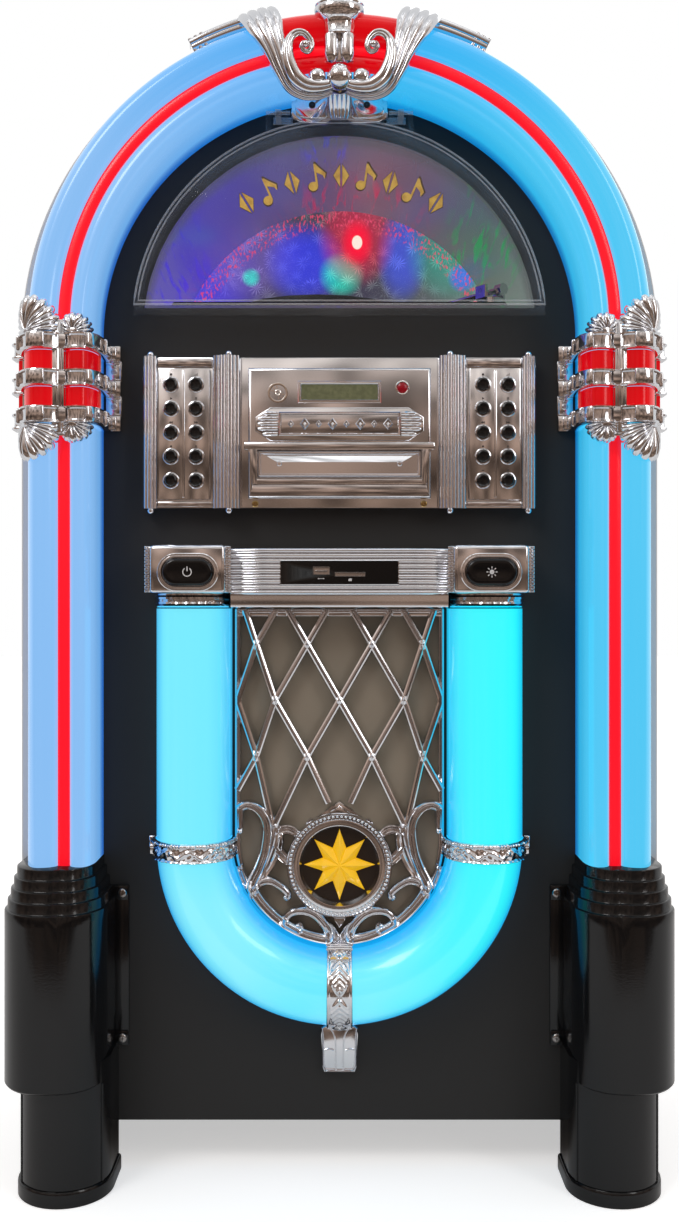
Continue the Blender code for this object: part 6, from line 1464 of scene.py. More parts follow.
# The display and the lens are no lamps: their faint glow is painted light.
LCD = Panel("lcd_display", (0.115, 0.125, 0.065), (0.085, 0.095, 0.05), 0.10, glow=0.35)
RED_LENS = Panel("red_lens", (0.75, 0.010, 0.008), (0.35, 0.002, 0.002), 0.08, glow=0.35)
PRINT = Panel("black_print", (0.02, 0.02, 0.02), (0.035, 0.03, 0.03), 0.5)
WHITE_PRINT = Panel("white_print", (0.75, 0.76, 0.78), (0.62, 0.63, 0.66), 0.45)
DARK_CHROME = Chrome("dark_chrome", tint=(0.30, 0.28, 0.27), roughness=0.14)


class Mark(Enum):
    """Generic signs printed above the keys."""

    PLAY = "play"
    PAUSE = "pause"
    STOP = "stop"
    NEXT = "next"
    BACK = "back"
    PLUS = "plus"
    MINUS = "minus"
    EJECT = "eject"
    DOT = "dot"
    BARS = "bars"


def sign(mark: Mark, size: float) -> list[list[Point2]]:
    """A sign's outlines round (0, 0).

    Args:
        mark: Which sign.
        size: Half its height.

    Returns:
        Closed outlines as (x, z) points.
    """
    s, w = size, size * 0.28
    triangle = [(-0.6 * s, -s), (0.9 * s, 0.0), (-0.6 * s, s)]

    def bar(x: float, width: float = 0.5, low: float = -1.0, high: float = 1.0) -> list[Point2]:
        """An upright bar."""
        return [(x - width * w, low * s), (x + width * w, low * s), (x + width * w, high * s),
                (x - width * w, high * s)]

    flat = [(-s, -w), (s, -w), (s, w), (-s, w)]
    shapes = {
        Mark.PLAY: [triangle], Mark.PAUSE: [bar(-0.5 * s, 1.0), bar(0.5 * s, 1.0)],
        Mark.STOP: [[(-0.8 * s, -0.8 * s), (0.8 * s, -0.8 * s), (0.8 * s, 0.8 * s), (-0.8 * s, 0.8 * s)]],
        Mark.NEXT: [[(x - 0.7 * s, z) for x, z in triangle], [(x + 0.7 * s, z) for x, z in triangle]],
        Mark.BACK: [[(-x + 0.7 * s, z) for x, z in triangle], [(-x - 0.7 * s, z) for x, z in triangle]],
        Mark.PLUS: [flat, bar(0.0, 1.0, 0.3), bar(0.0, 1.0, -1.0, -0.3)], Mark.MINUS: [flat],
        Mark.EJECT: [[(-s, -0.1 * s), (s, -0.1 * s), (0.0, s)], [(-s, -0.9 * s), (s, -0.9 * s), (s, -0.45 * s),
                                                                (-s, -0.45 * s)]],
        Mark.DOT: [arc((0.0, 0.0), 0.8 * s, 0, 330, 11)],
        Mark.BARS: [bar(-0.9 * s, 0.8, -1.0, -0.2), bar(0.0, 0.8, -1.0, 0.4), bar(0.9 * s, 0.8)],
    }
    return shapes[mark]


def stamped(outlines: Iterable[list[Point2]], centre: Point2, base: float, rise: float,
            turn: float = 0.0) -> bmesh.types.BMesh:
    """Flat shapes laid on a front face.

    Args:
        outlines: Closed (x, z) outlines round (0, 0).
        centre: Where their middle goes.
        base: How far in front of the baffle the face is.
        rise: How thick they are.
        turn: How far they turn clockwise, in radians.

    Returns:
        The shape.
    """
    cos, sin = math.cos(turn), math.sin(turn)
    plates = [slab([(centre[0] + x * cos + z * sin, centre[1] - x * sin + z * cos) for x, z in line], base,
                   base + rise) for line in outlines]
    return merged(*plates)


def frame_round(outline: Sequence[Point2], width: float, low: float, high: float,
                step: float = 0.0) -> bmesh.types.BMesh:
    """A raised rim along a closed outline, with rounded shoulders.

    Args:
        outline: The rim's inner edge, clockwise or anticlockwise, convex.
        width: How wide it is.
        low: How far out it starts.
        high: How far out its crest is.
        step: If given, the rim falls by this much in a second, outer step.

    Returns:
        The closed shape.
    """
    middle = (sum(x for x, _ in outline) / len(outline), sum(z for _, z in outline) / len(outline))

    def grown(amount: float) -> list[Point2]:
        """The outline moved outwards."""
        count, line = len(outline), []
        for i, point in enumerate(outline):
            before, after = Vector(outline[i - 1]), Vector(outline[(i + 1) % count])
            here = Vector(point)
            first, second = (here - before), (after - here)
            normals = [Vector((way.y, -way.x)).normalized() for way in (first, second)]
            mitre = (normals[0] + normals[1]).normalized()
            if mitre.dot(here - Vector(middle)) < 0:
                mitre.negate()
            line.append(tuple(here + mitre * amount / max(abs(mitre.dot(normals[0])), 0.5)))
        return line

    rise = high - low
    stages = [(0.0, 0.0), (0.0, 0.75), (0.18, 0.97), (0.40, 1.0)]
    if step:
        stages += [(0.52, 0.94), (0.56, 1 - step), (0.82, 1 - step), (0.95, 0.85 - step), (1.0, 0.0)]
    else:
        stages += [(0.70, 0.97), (0.92, 0.75), (1.0, 0.0)]
    rows = [[at(x, low + rise * share, z) for x, z in grown(width * place)] for place, share in stages]
    return grid(rows, around=True, along=True)


def oval(centre: Point2, half_width: float, half_height: float, steps: int = 14) -> list[Point2]:
    """A slot-shaped outline with half-round ends."""
    shift = half_width - half_height
    return (arc((centre[0] + shift, centre[1]), half_height, -90, 90, steps)
            + arc((centre[0] - shift, centre[1]), half_height, 90, 270, steps))


def rectangle(x: Point2, z: Point2) -> list[Point2]:
    """A rectangle's corners, anticlockwise."""
    return [(x[0], z[0]), (x[1], z[0]), (x[1], z[1]), (x[0], z[1])]


@dataclass
class DiscUnit:
    """The chrome front of the disc player: columns, keys, display, name-plate place and disc drawer."""

    half_width: float = 0.172
    low: float = 0.584
    high: float = 0.716
    plate: float = 0.014
    outer_x: float = 0.1652
    outer_width: float = 0.0125
    outer_out: float = 0.021
    inner_x: float = 0.0985
    inner_width: float = 0.0245
    inner_out: float = 0.027
    column_low: float = 0.583
    column_high: float = 0.717
    ball_radius: float = 0.0034
    ball_x: float = 0.0965
    panel: tuple[float, float, float, float] = (0.1135, 0.1580, 0.591, 0.706)
    panel_out: float = 0.018
    key_x: float = 0.136
    key_radius: float = 0.0052
    centre_half: float = 0.0795
    centre_low: float = 0.592
    centre_high: float = 0.7055
    centre_out: float = 0.0235
    display: tuple[float, float, float] = (0.036, 0.6745, 0.6935)
    sensor: tuple[float, float, float] = (0.0545, 0.688, 0.0048)
    emblem: Point2 = (-0.0535, 0.6835)
    tray: tuple[float, float, float] = (0.0703, 0.6100, 0.6325)
    hood: tuple[float, float, float, float] = (0.0825, 0.076, 0.6035, 0.640)
    hood_reach: float = 0.006

    def column(self, x: float, width: float, out: float, flutes: int) -> bmesh.types.BMesh:
        """A fluted half-round column between its end discs."""
        steps = flutes * 8
        section = [(x - width / 2, 0.004)]
        for i in range(steps + 1):
            share = i / steps
            bow = math.sqrt(max(0.0, 1 - ((share - 0.5) * 1.7) ** 2))
            rib = abs(math.sin(math.pi * share * flutes)) ** 0.6
            section.append((x + (share - 0.5) * width, self.plate - 0.002 + (out - self.plate) * bow * 0.80
                            + 0.0016 * rib))
        section.append((x + width / 2, 0.004))
        rows = [[at(px, px_out, z) for px, px_out in section]
                for z in (self.column_low + 0.0005, self.column_high - 0.0005)]
        return grid(rows, around=True, caps=True)

    def keys(self) -> None:
        """Builds the domed keys, their rims and the signs above them."""
        marks = [Mark.STOP, Mark.BARS, Mark.PLAY, Mark.PAUSE, Mark.BACK, Mark.NEXT, Mark.DOT, Mark.EJECT,
                 Mark.MINUS, Mark.PLUS]
        rims, signs = [], []
        for side in Side:
            for number in range(1, 11):
                node = f"key_{side.name.lower()}_{number}"
                low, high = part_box(node)
                x, z = (low.x + high.x) / 2, (low.z + high.z) / 2
                front = BAFFLE_Y - low.y
                back = BAFFLE_Y - high.y
                r = self.key_radius
                profile = [(0.0, front - 0.0004), (r * 0.45, front - 0.0003), (r * 0.72, front - 0.0001),
                           (r * 0.80, front), (r * 0.90, front - 0.0003), (r * 0.97, front - 0.0011),
                           (r, front - 0.0022), (r, back + 0.0002)]
                piece(f"{node}_cap", lathe(profile, (x, z), 0.0, 28), GLOSS, node, (node,))
                rims.append(Spot(at(x, self.panel_out - 0.0002, z)))
                signs.append(stamped(sign(marks[number - 1], 0.00115), (x, z + 0.0088), self.panel_out - 0.0001,
                                     0.0002))
        ring = grid([[Vector((radius * math.cos(a), -rise, radius * math.sin(a)))
                      for a in (2 * math.pi * k / 28 for k in range(28))]
                     for radius, rise in ((0.0054, 0.0), (0.0054, 0.0013), (0.0059, 0.0017), (0.0066, 0.0015),
                                          (0.0071, 0.0008), (0.0073, 0.0))], around=True, along=True)
        Scatter.make("key_rims", ring, rims, CHROME, Body.CABINET)
        piece("key_signs", merged(*signs), PRINT, Body.CABINET)

    def build(self) -> None:
        """Builds the plate, the columns, both key panels, the centre and the drawer."""
        chrome = [block((-self.half_width, self.half_width), (SEAT, self.plate), (self.low, self.high), 0.0010)]
        for flip in (-1, 1):
            x0, x1, z0, z1 = self.panel
            chrome.append(block(tuple(sorted((flip * x0, flip * x1))), (SEAT, self.panel_out), (z0, z1), 0.0008))
            chrome.append(block((flip * self.key_x - 0.0012, flip * self.key_x + 0.0012),
                                (self.panel_out - 0.001, self.panel_out + 0.0012), (z0 + 0.002, z1 - 0.002), 0.0009))
            chrome.append(self.column(flip * self.outer_x, self.outer_width, self.outer_out, 4))
            chrome.append(self.column(flip * self.inner_x, self.inner_width, self.inner_out, 8))
            for z0s, z1s in ((0.5855, 0.5895), (0.7075, 0.7145)):
                chrome.append(block(tuple(sorted((flip * 0.1115, flip * 0.1588))), (0.010, 0.0165), (z0s, z1s),
                                    0.0006))
        piece("unit_plate", merged(*chrome), CHROME, Body.CABINET, ("cd_fascia",))
        balls = [Spot(at(flip * x, out, z)) for flip in (-1, 1) for z in (self.column_low - 0.0012,
                                                                         self.column_high + 0.0012)
                 for x, out in ((self.outer_x, 0.0135), (self.ball_x, 0.017))]
        Scatter.make("column_balls", ball(self.ball_radius), balls, CHROME, Body.CABINET)
        collars = [Spot(spot.place + Vector((0, 0, 0.003 if spot.place.z < 0.65 else -0.003))) for spot in balls]
        disc = grid([[Vector((radius * math.cos(a), radius * math.sin(a), z))
                      for a in (2 * math.pi * k / 20 for k in range(20))]
                     for radius, z in ((0.0030, -0.0016), (0.0042, -0.0006), (0.0042, 0.0006), (0.0030, 0.0016))],
                    around=True, caps=True)
        Scatter.make("column_collars", disc, collars, CHROME, Body.CABINET)
        self.keys()
        self.centre()
        self.drawer()

    def centre(self) -> None:
        """Builds the raised centre with its display, lens, ring emblem and ribbed plate."""
        half = self.centre_half
        parts = [slab(rectangle((-half, half), (self.centre_low, self.centre_high)), self.plate - 0.002,
                      self.centre_out, 0.0030, segments=3)]
        dx, z0, z1 = self.display
        parts.append(frame_round(rectangle((-dx + 0.0028, dx - 0.0028), (z0 + 0.0028, z1 - 0.0028)), 0.0030,
                                 self.centre_out - 0.0004, self.centre_out + 0.0018, 0.3))
        octagon = [(-0.073, 0.650), (-0.060, 0.6415), (0.060, 0.6415), (0.073, 0.650), (0.073, 0.662),
                   (0.060, 0.6705), (-0.060, 0.6705), (-0.073, 0.662)]
        parts.append(slab(octagon, self.centre_out - 0.0005, self.centre_out + 0.0034, 0.0014))
        window = rectangle((-0.0505, 0.0505), (0.6478, 0.6642))
        parts.append(frame_round(window, 0.0022, self.centre_out + 0.0030, self.centre_out + 0.0050))
        for flip in (-1, 1):
            for i in range(5):
                z = 0.656 + (i - 2) * 0.0044
                end = 0.0705 - max(0.0, abs(z - 0.656) - 0.006) * 1.5
                path = [at(flip * x, self.centre_out + 0.0036, z) for x in (0.0535, 0.056, end - 0.003, end)]
                parts.append(tube(path, [0.0016, 0.0019, 0.0019, 0.0010], 10))
        piece("unit_centre", merged(*parts), CHROME, Body.CABINET)
        lozenges = [Spot(at(-0.042 + i * 0.012, self.centre_out + 0.0033, 0.656), size=1.0 if i % 2 else 0.62)
                    for i in range(8)]
        gem = grid([[Vector((x * s, -rise, z * s)) for x, z in ((0.0045, 0), (0, 0.0055), (-0.0045, 0), (0, -0.0055))]
                    for s, rise in ((1.0, 0.0), (0.72, 0.0012), (0.30, 0.0009), (0.02, 0.0016))], around=True,
                   caps=True)
        Scatter.make("plate_lozenges", gem, lozenges, CHROME, Body.CABINET, sharp=20)
        refined("lcd_window", LCD)
        refined("ir_window", RED_LENS)
        sx, sz, sr = self.sensor
        rim = lathe([(sr + 0.0001, -0.0004), (sr + 0.0001, 0.0009), (sr + 0.0006, 0.0014), (sr + 0.0012, 0.0010),
                     (sr + 0.0015, -0.0004)], (sx, sz), self.centre_out, 32)
        ex, ez = self.emblem
        ring = merged(lathe([(0.0068, -0.0002), (0.0068, 0.0006), (0.0078, 0.0009), (0.0088, 0.0006),
                             (0.0088, -0.0002)], (ex, ez), self.centre_out, 36),
                      lathe([(0.0016, -0.0002), (0.0016, 0.0006), (0.0022, 0.0009), (0.0028, 0.0006),
                             (0.0028, -0.0002)], (ex, ez), self.centre_out, 24))
        piece("unit_rings", merged(rim, ring), SOFT_CHROME, Body.CABINET)
        rays = [stamped([[(0.0036, -0.0003), (0.0060, -0.0005), (0.0060, 0.0005), (0.0036, 0.0003)]], (ex, ez),
                        self.centre_out - 0.0001, 0.0005, math.radians(turn)) for turn in (20, 50, 80, 200, 230, 260)]
        piece("unit_emblem_rays", merged(*rays), SOFT_CHROME, Body.CABINET)

    def drawer(self) -> None:
        """Builds the flared surround and the drawer with its front, pins and tray."""
        top_half, half, low, high = self.hood
        front = self.centre_out + self.hood_reach
        tx, tz0, tz1 = self.tray
        hole = rectangle((-tx - 0.0006, tx + 0.0006), (tz0 - 0.0006, tz1 + 0.0006))
        strips = [block((-half + 0.0006, half - 0.0006), (self.centre_out - 0.002, front - 0.001),
                        (low, tz0 - 0.0008),
                        0.0012),
                  block((-top_half, top_half), (self.centre_out - 0.002, front), (tz1 + 0.0008, high), 0.0014)]
        for flip in (-1, 1):
            edge = [(flip * (tx + 0.0008), low), (flip * half, low), (flip * half, high - 0.010),
                    (flip * top_half, high - 0.003), (flip * top_half, high - 0.0005),
                    (flip * (tx + 0.0008), high - 0.0005)]
            strips.append(slab(edge if flip > 0 else edge[::-1], self.centre_out - 0.002, front - 0.0004, 0.0010))
        strips.append(slab([(-0.0775, 0.5935), (0.0775, 0.5935), (0.0755, low + 0.0006), (-0.0755, low + 0.0006)],
                           self.plate - 0.001, front - 0.0026, 0.0012))
        piece("drawer_surround", merged(*strips), CHROME, Body.CABINET)
        piece("drawer_lip", frame_round(hole, 0.0013, front - 0.0030, front - 0.0002), CHROME, Body.CABINET)
        screws = [Spot(at(flip * 0.0738, self.plate + 0.0001, 0.5878), turn=0.4 * flip) for flip in (-1, 1)]
        Scatter.make("unit_screws", screw_head(0.0030, 0.0011), screws,
                     Chrome("brass_screws", (0.50, 0.36, 0.16), 0.2),
                     Body.CABINET)
        refined("cd_deck", PLASTIC)
        refined("cd_tray", CHROME)
        low_tray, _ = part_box("cd_tray")
        face = BAFFLE_Y - low_tray.y
        rim = rectangle((-tx + 0.0026, tx - 0.0026), (tz0 + 0.0026, tz1 - 0.0026))
        pins = [Spot(at(flip * 0.052, face - 0.0016, 0.6213)) for flip in (-1, 1)]
        Scatter.make("drawer_pins", dome(0.0024, 0.0015, 16, 4), pins, CHROME, Body.TRAY)
        piece("drawer_rim", frame_round(rim, 0.0022, face - 0.0026, face - 0.0004), CHROME, Body.TRAY)


@dataclass
class ControlBar:
    """The ribbed bar with the sockets, between two pods that carry oval buttons."""

    half_width: float = 0.0930
    low: float = 0.5080
    high: float = 0.5480
    reach: float = 0.046
    ribs: int = 9
    band_low: float = 0.4965
    band_reach: float = 0.040
    pod: tuple[float, float, float, float] = (0.0920, 0.1640, 0.5090, 0.5500)
    pod_reach: float = 0.058
    pod_band_low: float = 0.4970
    pod_band_reach: float = 0.0535
    oval_centre: Point2 = (0.1275, 0.5270)
    oval_half: Point2 = (0.0213, 0.0113)
    port: tuple[float, float, float] = (0.0500, 0.5170, 0.5368)

    def ribbed(self) -> bmesh.types.BMesh:
        """The bar: half-round ribs along it, rolled back a little towards both ends."""
        section = [(self.low, 0.006)]
        steps = self.ribs * 8
        for i in range(steps + 1):
            share = i / steps
            rib = abs(math.sin(math.pi * share * self.ribs)) ** 0.7
            section.append((self.low + (self.high - self.low) * share, self.reach - 0.0026 + 0.0024 * rib))
        section.append((self.high, 0.006))
        port_half, port_low, port_high = self.port
        stations = [-1 + i / 12 for i in range(25)]
        for edge in (port_half / self.half_width,):
            stations += [-edge - 0.0001, -edge, edge, edge + 0.0001]
        rows = []
        for share in sorted(stations):
            back = 0.006 * max(0.0, abs(share) - 0.62) ** 2 / 0.38 ** 2
            hollow = abs(share) * self.half_width <= port_half + 0.000001
            row = []
            for z, out in section:
                sunk = hollow and out > 0.01 and port_low - 0.0002 < z < port_high + 0.0002
                row.append(at(share * self.half_width, self.reach - 0.012 if sunk else out - back * (out > 0.01), z))
            rows.append(row)
        return grid(rows, around=True, caps=True)

    def band(self) -> bmesh.types.BMesh:
        """The smooth band under the ribs."""
        section = [(self.band_low, 0.004), (self.band_low, self.band_reach - 0.004),
                   (self.band_low + 0.0012, self.band_reach - 0.0012), (self.band_low + 0.004, self.band_reach),
                   (self.low - 0.0035, self.band_reach), (self.low - 0.001, self.band_reach + 0.0015),
                   (self.low + 0.0004, self.band_reach + 0.0015), (self.low + 0.0004, 0.004)]
        rows = [[at(share * self.half_width, out, z) for z, out in section] for share in (-1, 1)]
        return grid(rows, around=True, caps=True)

    def build(self) -> None:
        """Builds the bar, the pods, the sockets and the buttons."""
        parts = [self.ribbed(), self.band()]
        x0, x1, z0, z1 = self.pod
        teeth = []
        for flip in (-1, 1):
            xs = tuple(sorted((flip * (x0 + 0.0040), flip * (x1 - 0.0040))))
            parts.append(block(xs, (SEAT, self.pod_reach - 0.0006), (z0, z1), 0.0035, 4))
            parts.append(block(tuple(sorted((flip * x0, flip * x1))), (SEAT, self.pod_reach - 0.0050),
                               (z0 + 0.0006, z1 - 0.0006), 0.0020, 3))
            parts.append(block((xs[0] + 0.0005, xs[1] - 0.0005), (0.01, self.pod_reach - 0.0012),
                               (z1 - 0.0052, z1 - 0.0012),
                               0.0018, 3))
            cx, cz = flip * self.oval_centre[0], self.oval_centre[1]
            hw, hh = self.oval_half
            parts.append(frame_round(oval((cx, cz), hw + 0.0003, hh + 0.0003), 0.0046, self.pod_reach - 0.0014,
                                     self.pod_reach + 0.0016 - 0.0018 + 0.0022, 0.45))
            parts.append(self.ring_band(flip))
            for x in (flip * (x0 + 0.0018), flip * (x1 - 0.0018)):
                for i in range(13):
                    z = z0 + 0.0022 + i * (z1 - z0 - 0.0044) / 12
                    for shift in (-0.0012, 0.0012):
                        teeth.append(Spot(at(x + shift, self.pod_reach - 0.0042 - abs(shift) * 0.4, z)))
        piece("control_body", merged(*parts), CHROME, Body.CABINET, ("control_bar",))
        bead = grid([[Vector((x * s, -rise, z * s)) for x, z in ((0.0011, 0.0012), (-0.0011, 0.0012),
                                                                 (-0.0011, -0.0012), (0.0011, -0.0012))]
                     for s, rise in ((1.0, 0.0), (0.9, 0.0009), (0.45, 0.0014))], around=True, caps=True)
        Scatter.make("pod_beads", bead, teeth, CHROME, Body.CABINET)
        for node, mark in (("power_button", "power"), ("light_button", "light")):
            self.button(node, mark)
        self.sockets()

    def ring_band(self, flip: int) -> bmesh.types.BMesh:
        """The half-round fluted band under a pod, over the top of the U tube."""
        x0, x1, _, _ = self.pod
        centre, half = flip * (x0 + x1) / 2, (x1 - x0) / 2 - 0.0025
        section = [(-0.0002, 0.0), (-0.0002, 0.60), (0.0012, 0.90), (0.0022, 0.80), (0.0030, 0.98), (0.0046, 0.98),
                   (0.0052, 0.82), (0.0064, 0.82), (0.0070, 0.98), (0.0088, 0.98), (0.0096, 0.80), (0.0104, 0.95),
                   (0.0118, 0.95), (0.0118, 0.0)]
        rows = []
        for i in range(41):
            share = -1 + 2 * i / 40
            flute = 0.0010 * (1 if (i // 2) % 2 else 0)
            bow = math.sqrt(max(0.0, 1 - share ** 2)) ** 0.7
            rows.append([at(centre + share * half, 0.006 + (self.pod_band_reach - 0.006) * bow * depth
                            - (flute if 0.003 < rise < 0.009 else 0.0), self.pod_band_low + 0.0003 + rise)
                         for rise, depth in section])
        return grid(rows, around=True, caps=True)

    def button(self, node: str, mark: str) -> None:
        """One oval button with its sign."""
        low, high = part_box(node)
        centre = ((low.x + high.x) / 2, (low.z + high.z) / 2)
        hw, hh = (high.x - low.x) / 2, (high.z - low.z) / 2
        front, back = BAFFLE_Y - low.y, BAFFLE_Y - high.y
        stages = ((0.0, back), (0.0, front - 0.0024), (0.0004, front - 0.0012), (0.0014, front - 0.0003),
                  (0.0028, front), (0.0050, front - 0.0002), (0.0080, front - 0.0004))
        rows = [[at(x, out, z) for x, z in oval(centre, hw - inset, hh - inset)] for inset, out in stages]
        piece(f"{node}_cap", grid(rows, around=True, caps=True), GLOSS, node, (node,))
        size, base = 0.0040, front - 0.0003
        if mark == "power":
            rings = [[(a * math.sin(t), a * math.cos(t)) for a, t in
                      [(size, 0.6 + 5.08 * i / 20) for i in range(21)] + [(size * 0.78, 5.68 - 5.08 * i / 20)
                                                                         for i in range(21)]]]
            signs = [ring for ring in rings] + [[(-0.0005, 0.0006), (0.0005, 0.0006), (0.0005, 0.0046),
                                                 (-0.0005, 0.0046)]]
            shape = merged(stamped([signs[1]], centre, base, 0.0004), self.open_ring(centre, size, base))
        else:
            rays = [stamped([[(-0.0004, size * 0.75), (0.0004, size * 0.75), (0.0004, size * 1.15),
                              (-0.0004, size * 1.15)]], centre, base, 0.0004, math.radians(45 * k)) for k in range(8)]
            shape = merged(stamped([arc((0, 0), size * 0.5, 0, 345, 23)], centre, base, 0.0004), *rays)
        piece(f"{node}_sign", shape, WHITE_PRINT, node)

    def open_ring(self, centre: Point2, size: float, base: float) -> bmesh.types.BMesh:
        """A flat ring with a gap at its top."""
        rows = []
        for i in range(25):
            turn = math.radians(35 + 290 * i / 24)
            rows.append([at(centre[0] + math.sin(turn) * r, base + rise, centre[1] + math.cos(turn) * r)
                         for r, rise in ((size * 0.78, 0.0), (size, 0.0), (size, 0.0004), (size * 0.78, 0.0004))])
        return grid(rows, around=True, caps=True)

    def sockets(self) -> None:
        """Dresses the socket panel and adds its metal shells and small signs."""
        refined("port_panel", GLOSS)
        low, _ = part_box("port_panel")
        front = BAFFLE_Y - low.y
        usb = frame_round(rectangle((-0.0221, -0.0089), (0.5256, 0.5314)), 0.0006, front - 0.0012, front + 0.0003)
        tongue = block((-0.0205, -0.0105), (front - 0.009, front - 0.0008), (0.5278, 0.5290), 0.0002)
        card = frame_round(rectangle((-0.0035, 0.0215), (0.5241, 0.5269)), 0.0005, front - 0.0012, front + 0.0003)
        half, z0, z1 = self.port
        trim = frame_round(rectangle((-half, half), (z0, z1)), 0.0009, front - 0.0035, self.reach + 0.0002)
        piece("port_trim", trim, CHROME, Body.CABINET)
        piece("socket_shells", merged(usb, tongue, card), BRUSHED, Body.CABINET)
        trident = stamped([[(-0.0022, -0.0002), (0.0018, -0.0002), (0.0018, 0.0002), (-0.0022, 0.0002)],
                           [(0.0018, -0.0006), (0.0028, 0.0), (0.0018, 0.0006)],
                           arc((-0.0024, 0), 0.0006, 0, 330, 11)],
                          (-0.0155, 0.5218), front, 0.0002)
        card_mark = stamped([[(-0.0014, -0.0011), (0.0014, -0.0011), (0.0014, 0.0011), (-0.0006, 0.0011),
                              (-0.0014, 0.0004)]], (0.009, 0.5208), front, 0.0002)
        piece("socket_signs", merged(trident, card_mark), WHITE_PRINT, Body.CABINET)
RED_GLOW = LitPlastic("red_panel_light")


class Wrap:
    """Lays pieces out along a line that is bent round a form, by distance along it and height above it."""

    def __init__(self, line: Sequence[Point2]) -> None:
        """Measures the line, given as (x, out) points."""
        self.line = [Vector(point) for point in line]
        self.marks = [0.0]
        for near, far in zip(self.line, self.line[1:]):
            self.marks.append(self.marks[-1] + (far - near).length)
        self.length = self.marks[-1]

    def on(self, along: float) -> Vector:
        """The point of the line at a distance along it."""
        along = min(max(along, 0.0), self.length)
        i = next(k for k, mark in enumerate(self.marks[1:]) if mark >= along - 1e-9)
        return self.line[i].lerp(self.line[i + 1], (along - self.marks[i]) / max(self.marks[i + 1] - self.marks[i],
                                                                                 1e-9))

    def over(self, along: float, lift: float, soft: float = 0.0025) -> Vector:
        """The point above the line, with its corners softened over a length."""
        way = self.on(along + soft) - self.on(along - soft)
        return self.on(along) + Vector((-way.y, way.x)).normalized() * lift

    def place(self, along: float, lift: float, z: float, soft: float = 0.0025) -> Vector:
        """The point above the line at a height, as a world point on the right side."""
        spot = self.over(along, lift, soft)
        return at(spot.x, spot.y, z)

    def along_x(self, x: float) -> float:
        """How far along the line its front passes a distance from the centre."""
        return next(mark for mark, point in zip(self.marks, self.line) if point.x >= x and point.y > 0.02)

    def bar(self, start: float, end: float, section: Sequence[Point2], step: float = 0.0015,
            bevel: float = 0.0, soft: float = 0.0025) -> bmesh.types.BMesh:
        """A bar along the line.

        Args:
            start: Where it starts along the line.
            end: Where it ends.
            section: Its closed (height, lift) outline.
            step: The spacing of its rows of points.
            bevel: How far its ends are rounded.
            soft: The length over which corners are softened.

        Returns:
            The closed shape.
        """
        count = max(2, int((end - start) / step))
        stations = [(start + (end - start) * i / count, 0.0) for i in range(count + 1)]
        if bevel:
            ends = [(bevel * (1 - math.cos(a)), bevel * (1 - math.sin(a))) for a in (0.0, 0.5, 1.0)]
            inner = [pair for pair in stations if start + bevel * 1.1 < pair[0] < end - bevel * 1.1]
            stations = ([(start + d, pull) for d, pull in ends] + [(start + bevel, 0.0)] + inner
                        + [(end - bevel, 0.0)] + [(end - d, pull) for d, pull in reversed(ends)])
        middle = sum(z for z, _ in section) / len(section)
        half = max(abs(z - middle) for z, _ in section)
        rows = []
        for along, pull in stations:
            top = max(lift for _, lift in section)
            rows.append([self.place(along, lift - pull * (lift / top if top else 0), z - (z - middle) / half * pull,
                                    soft)
                         for z, lift in section])
        return grid(rows, around=True, caps=True)


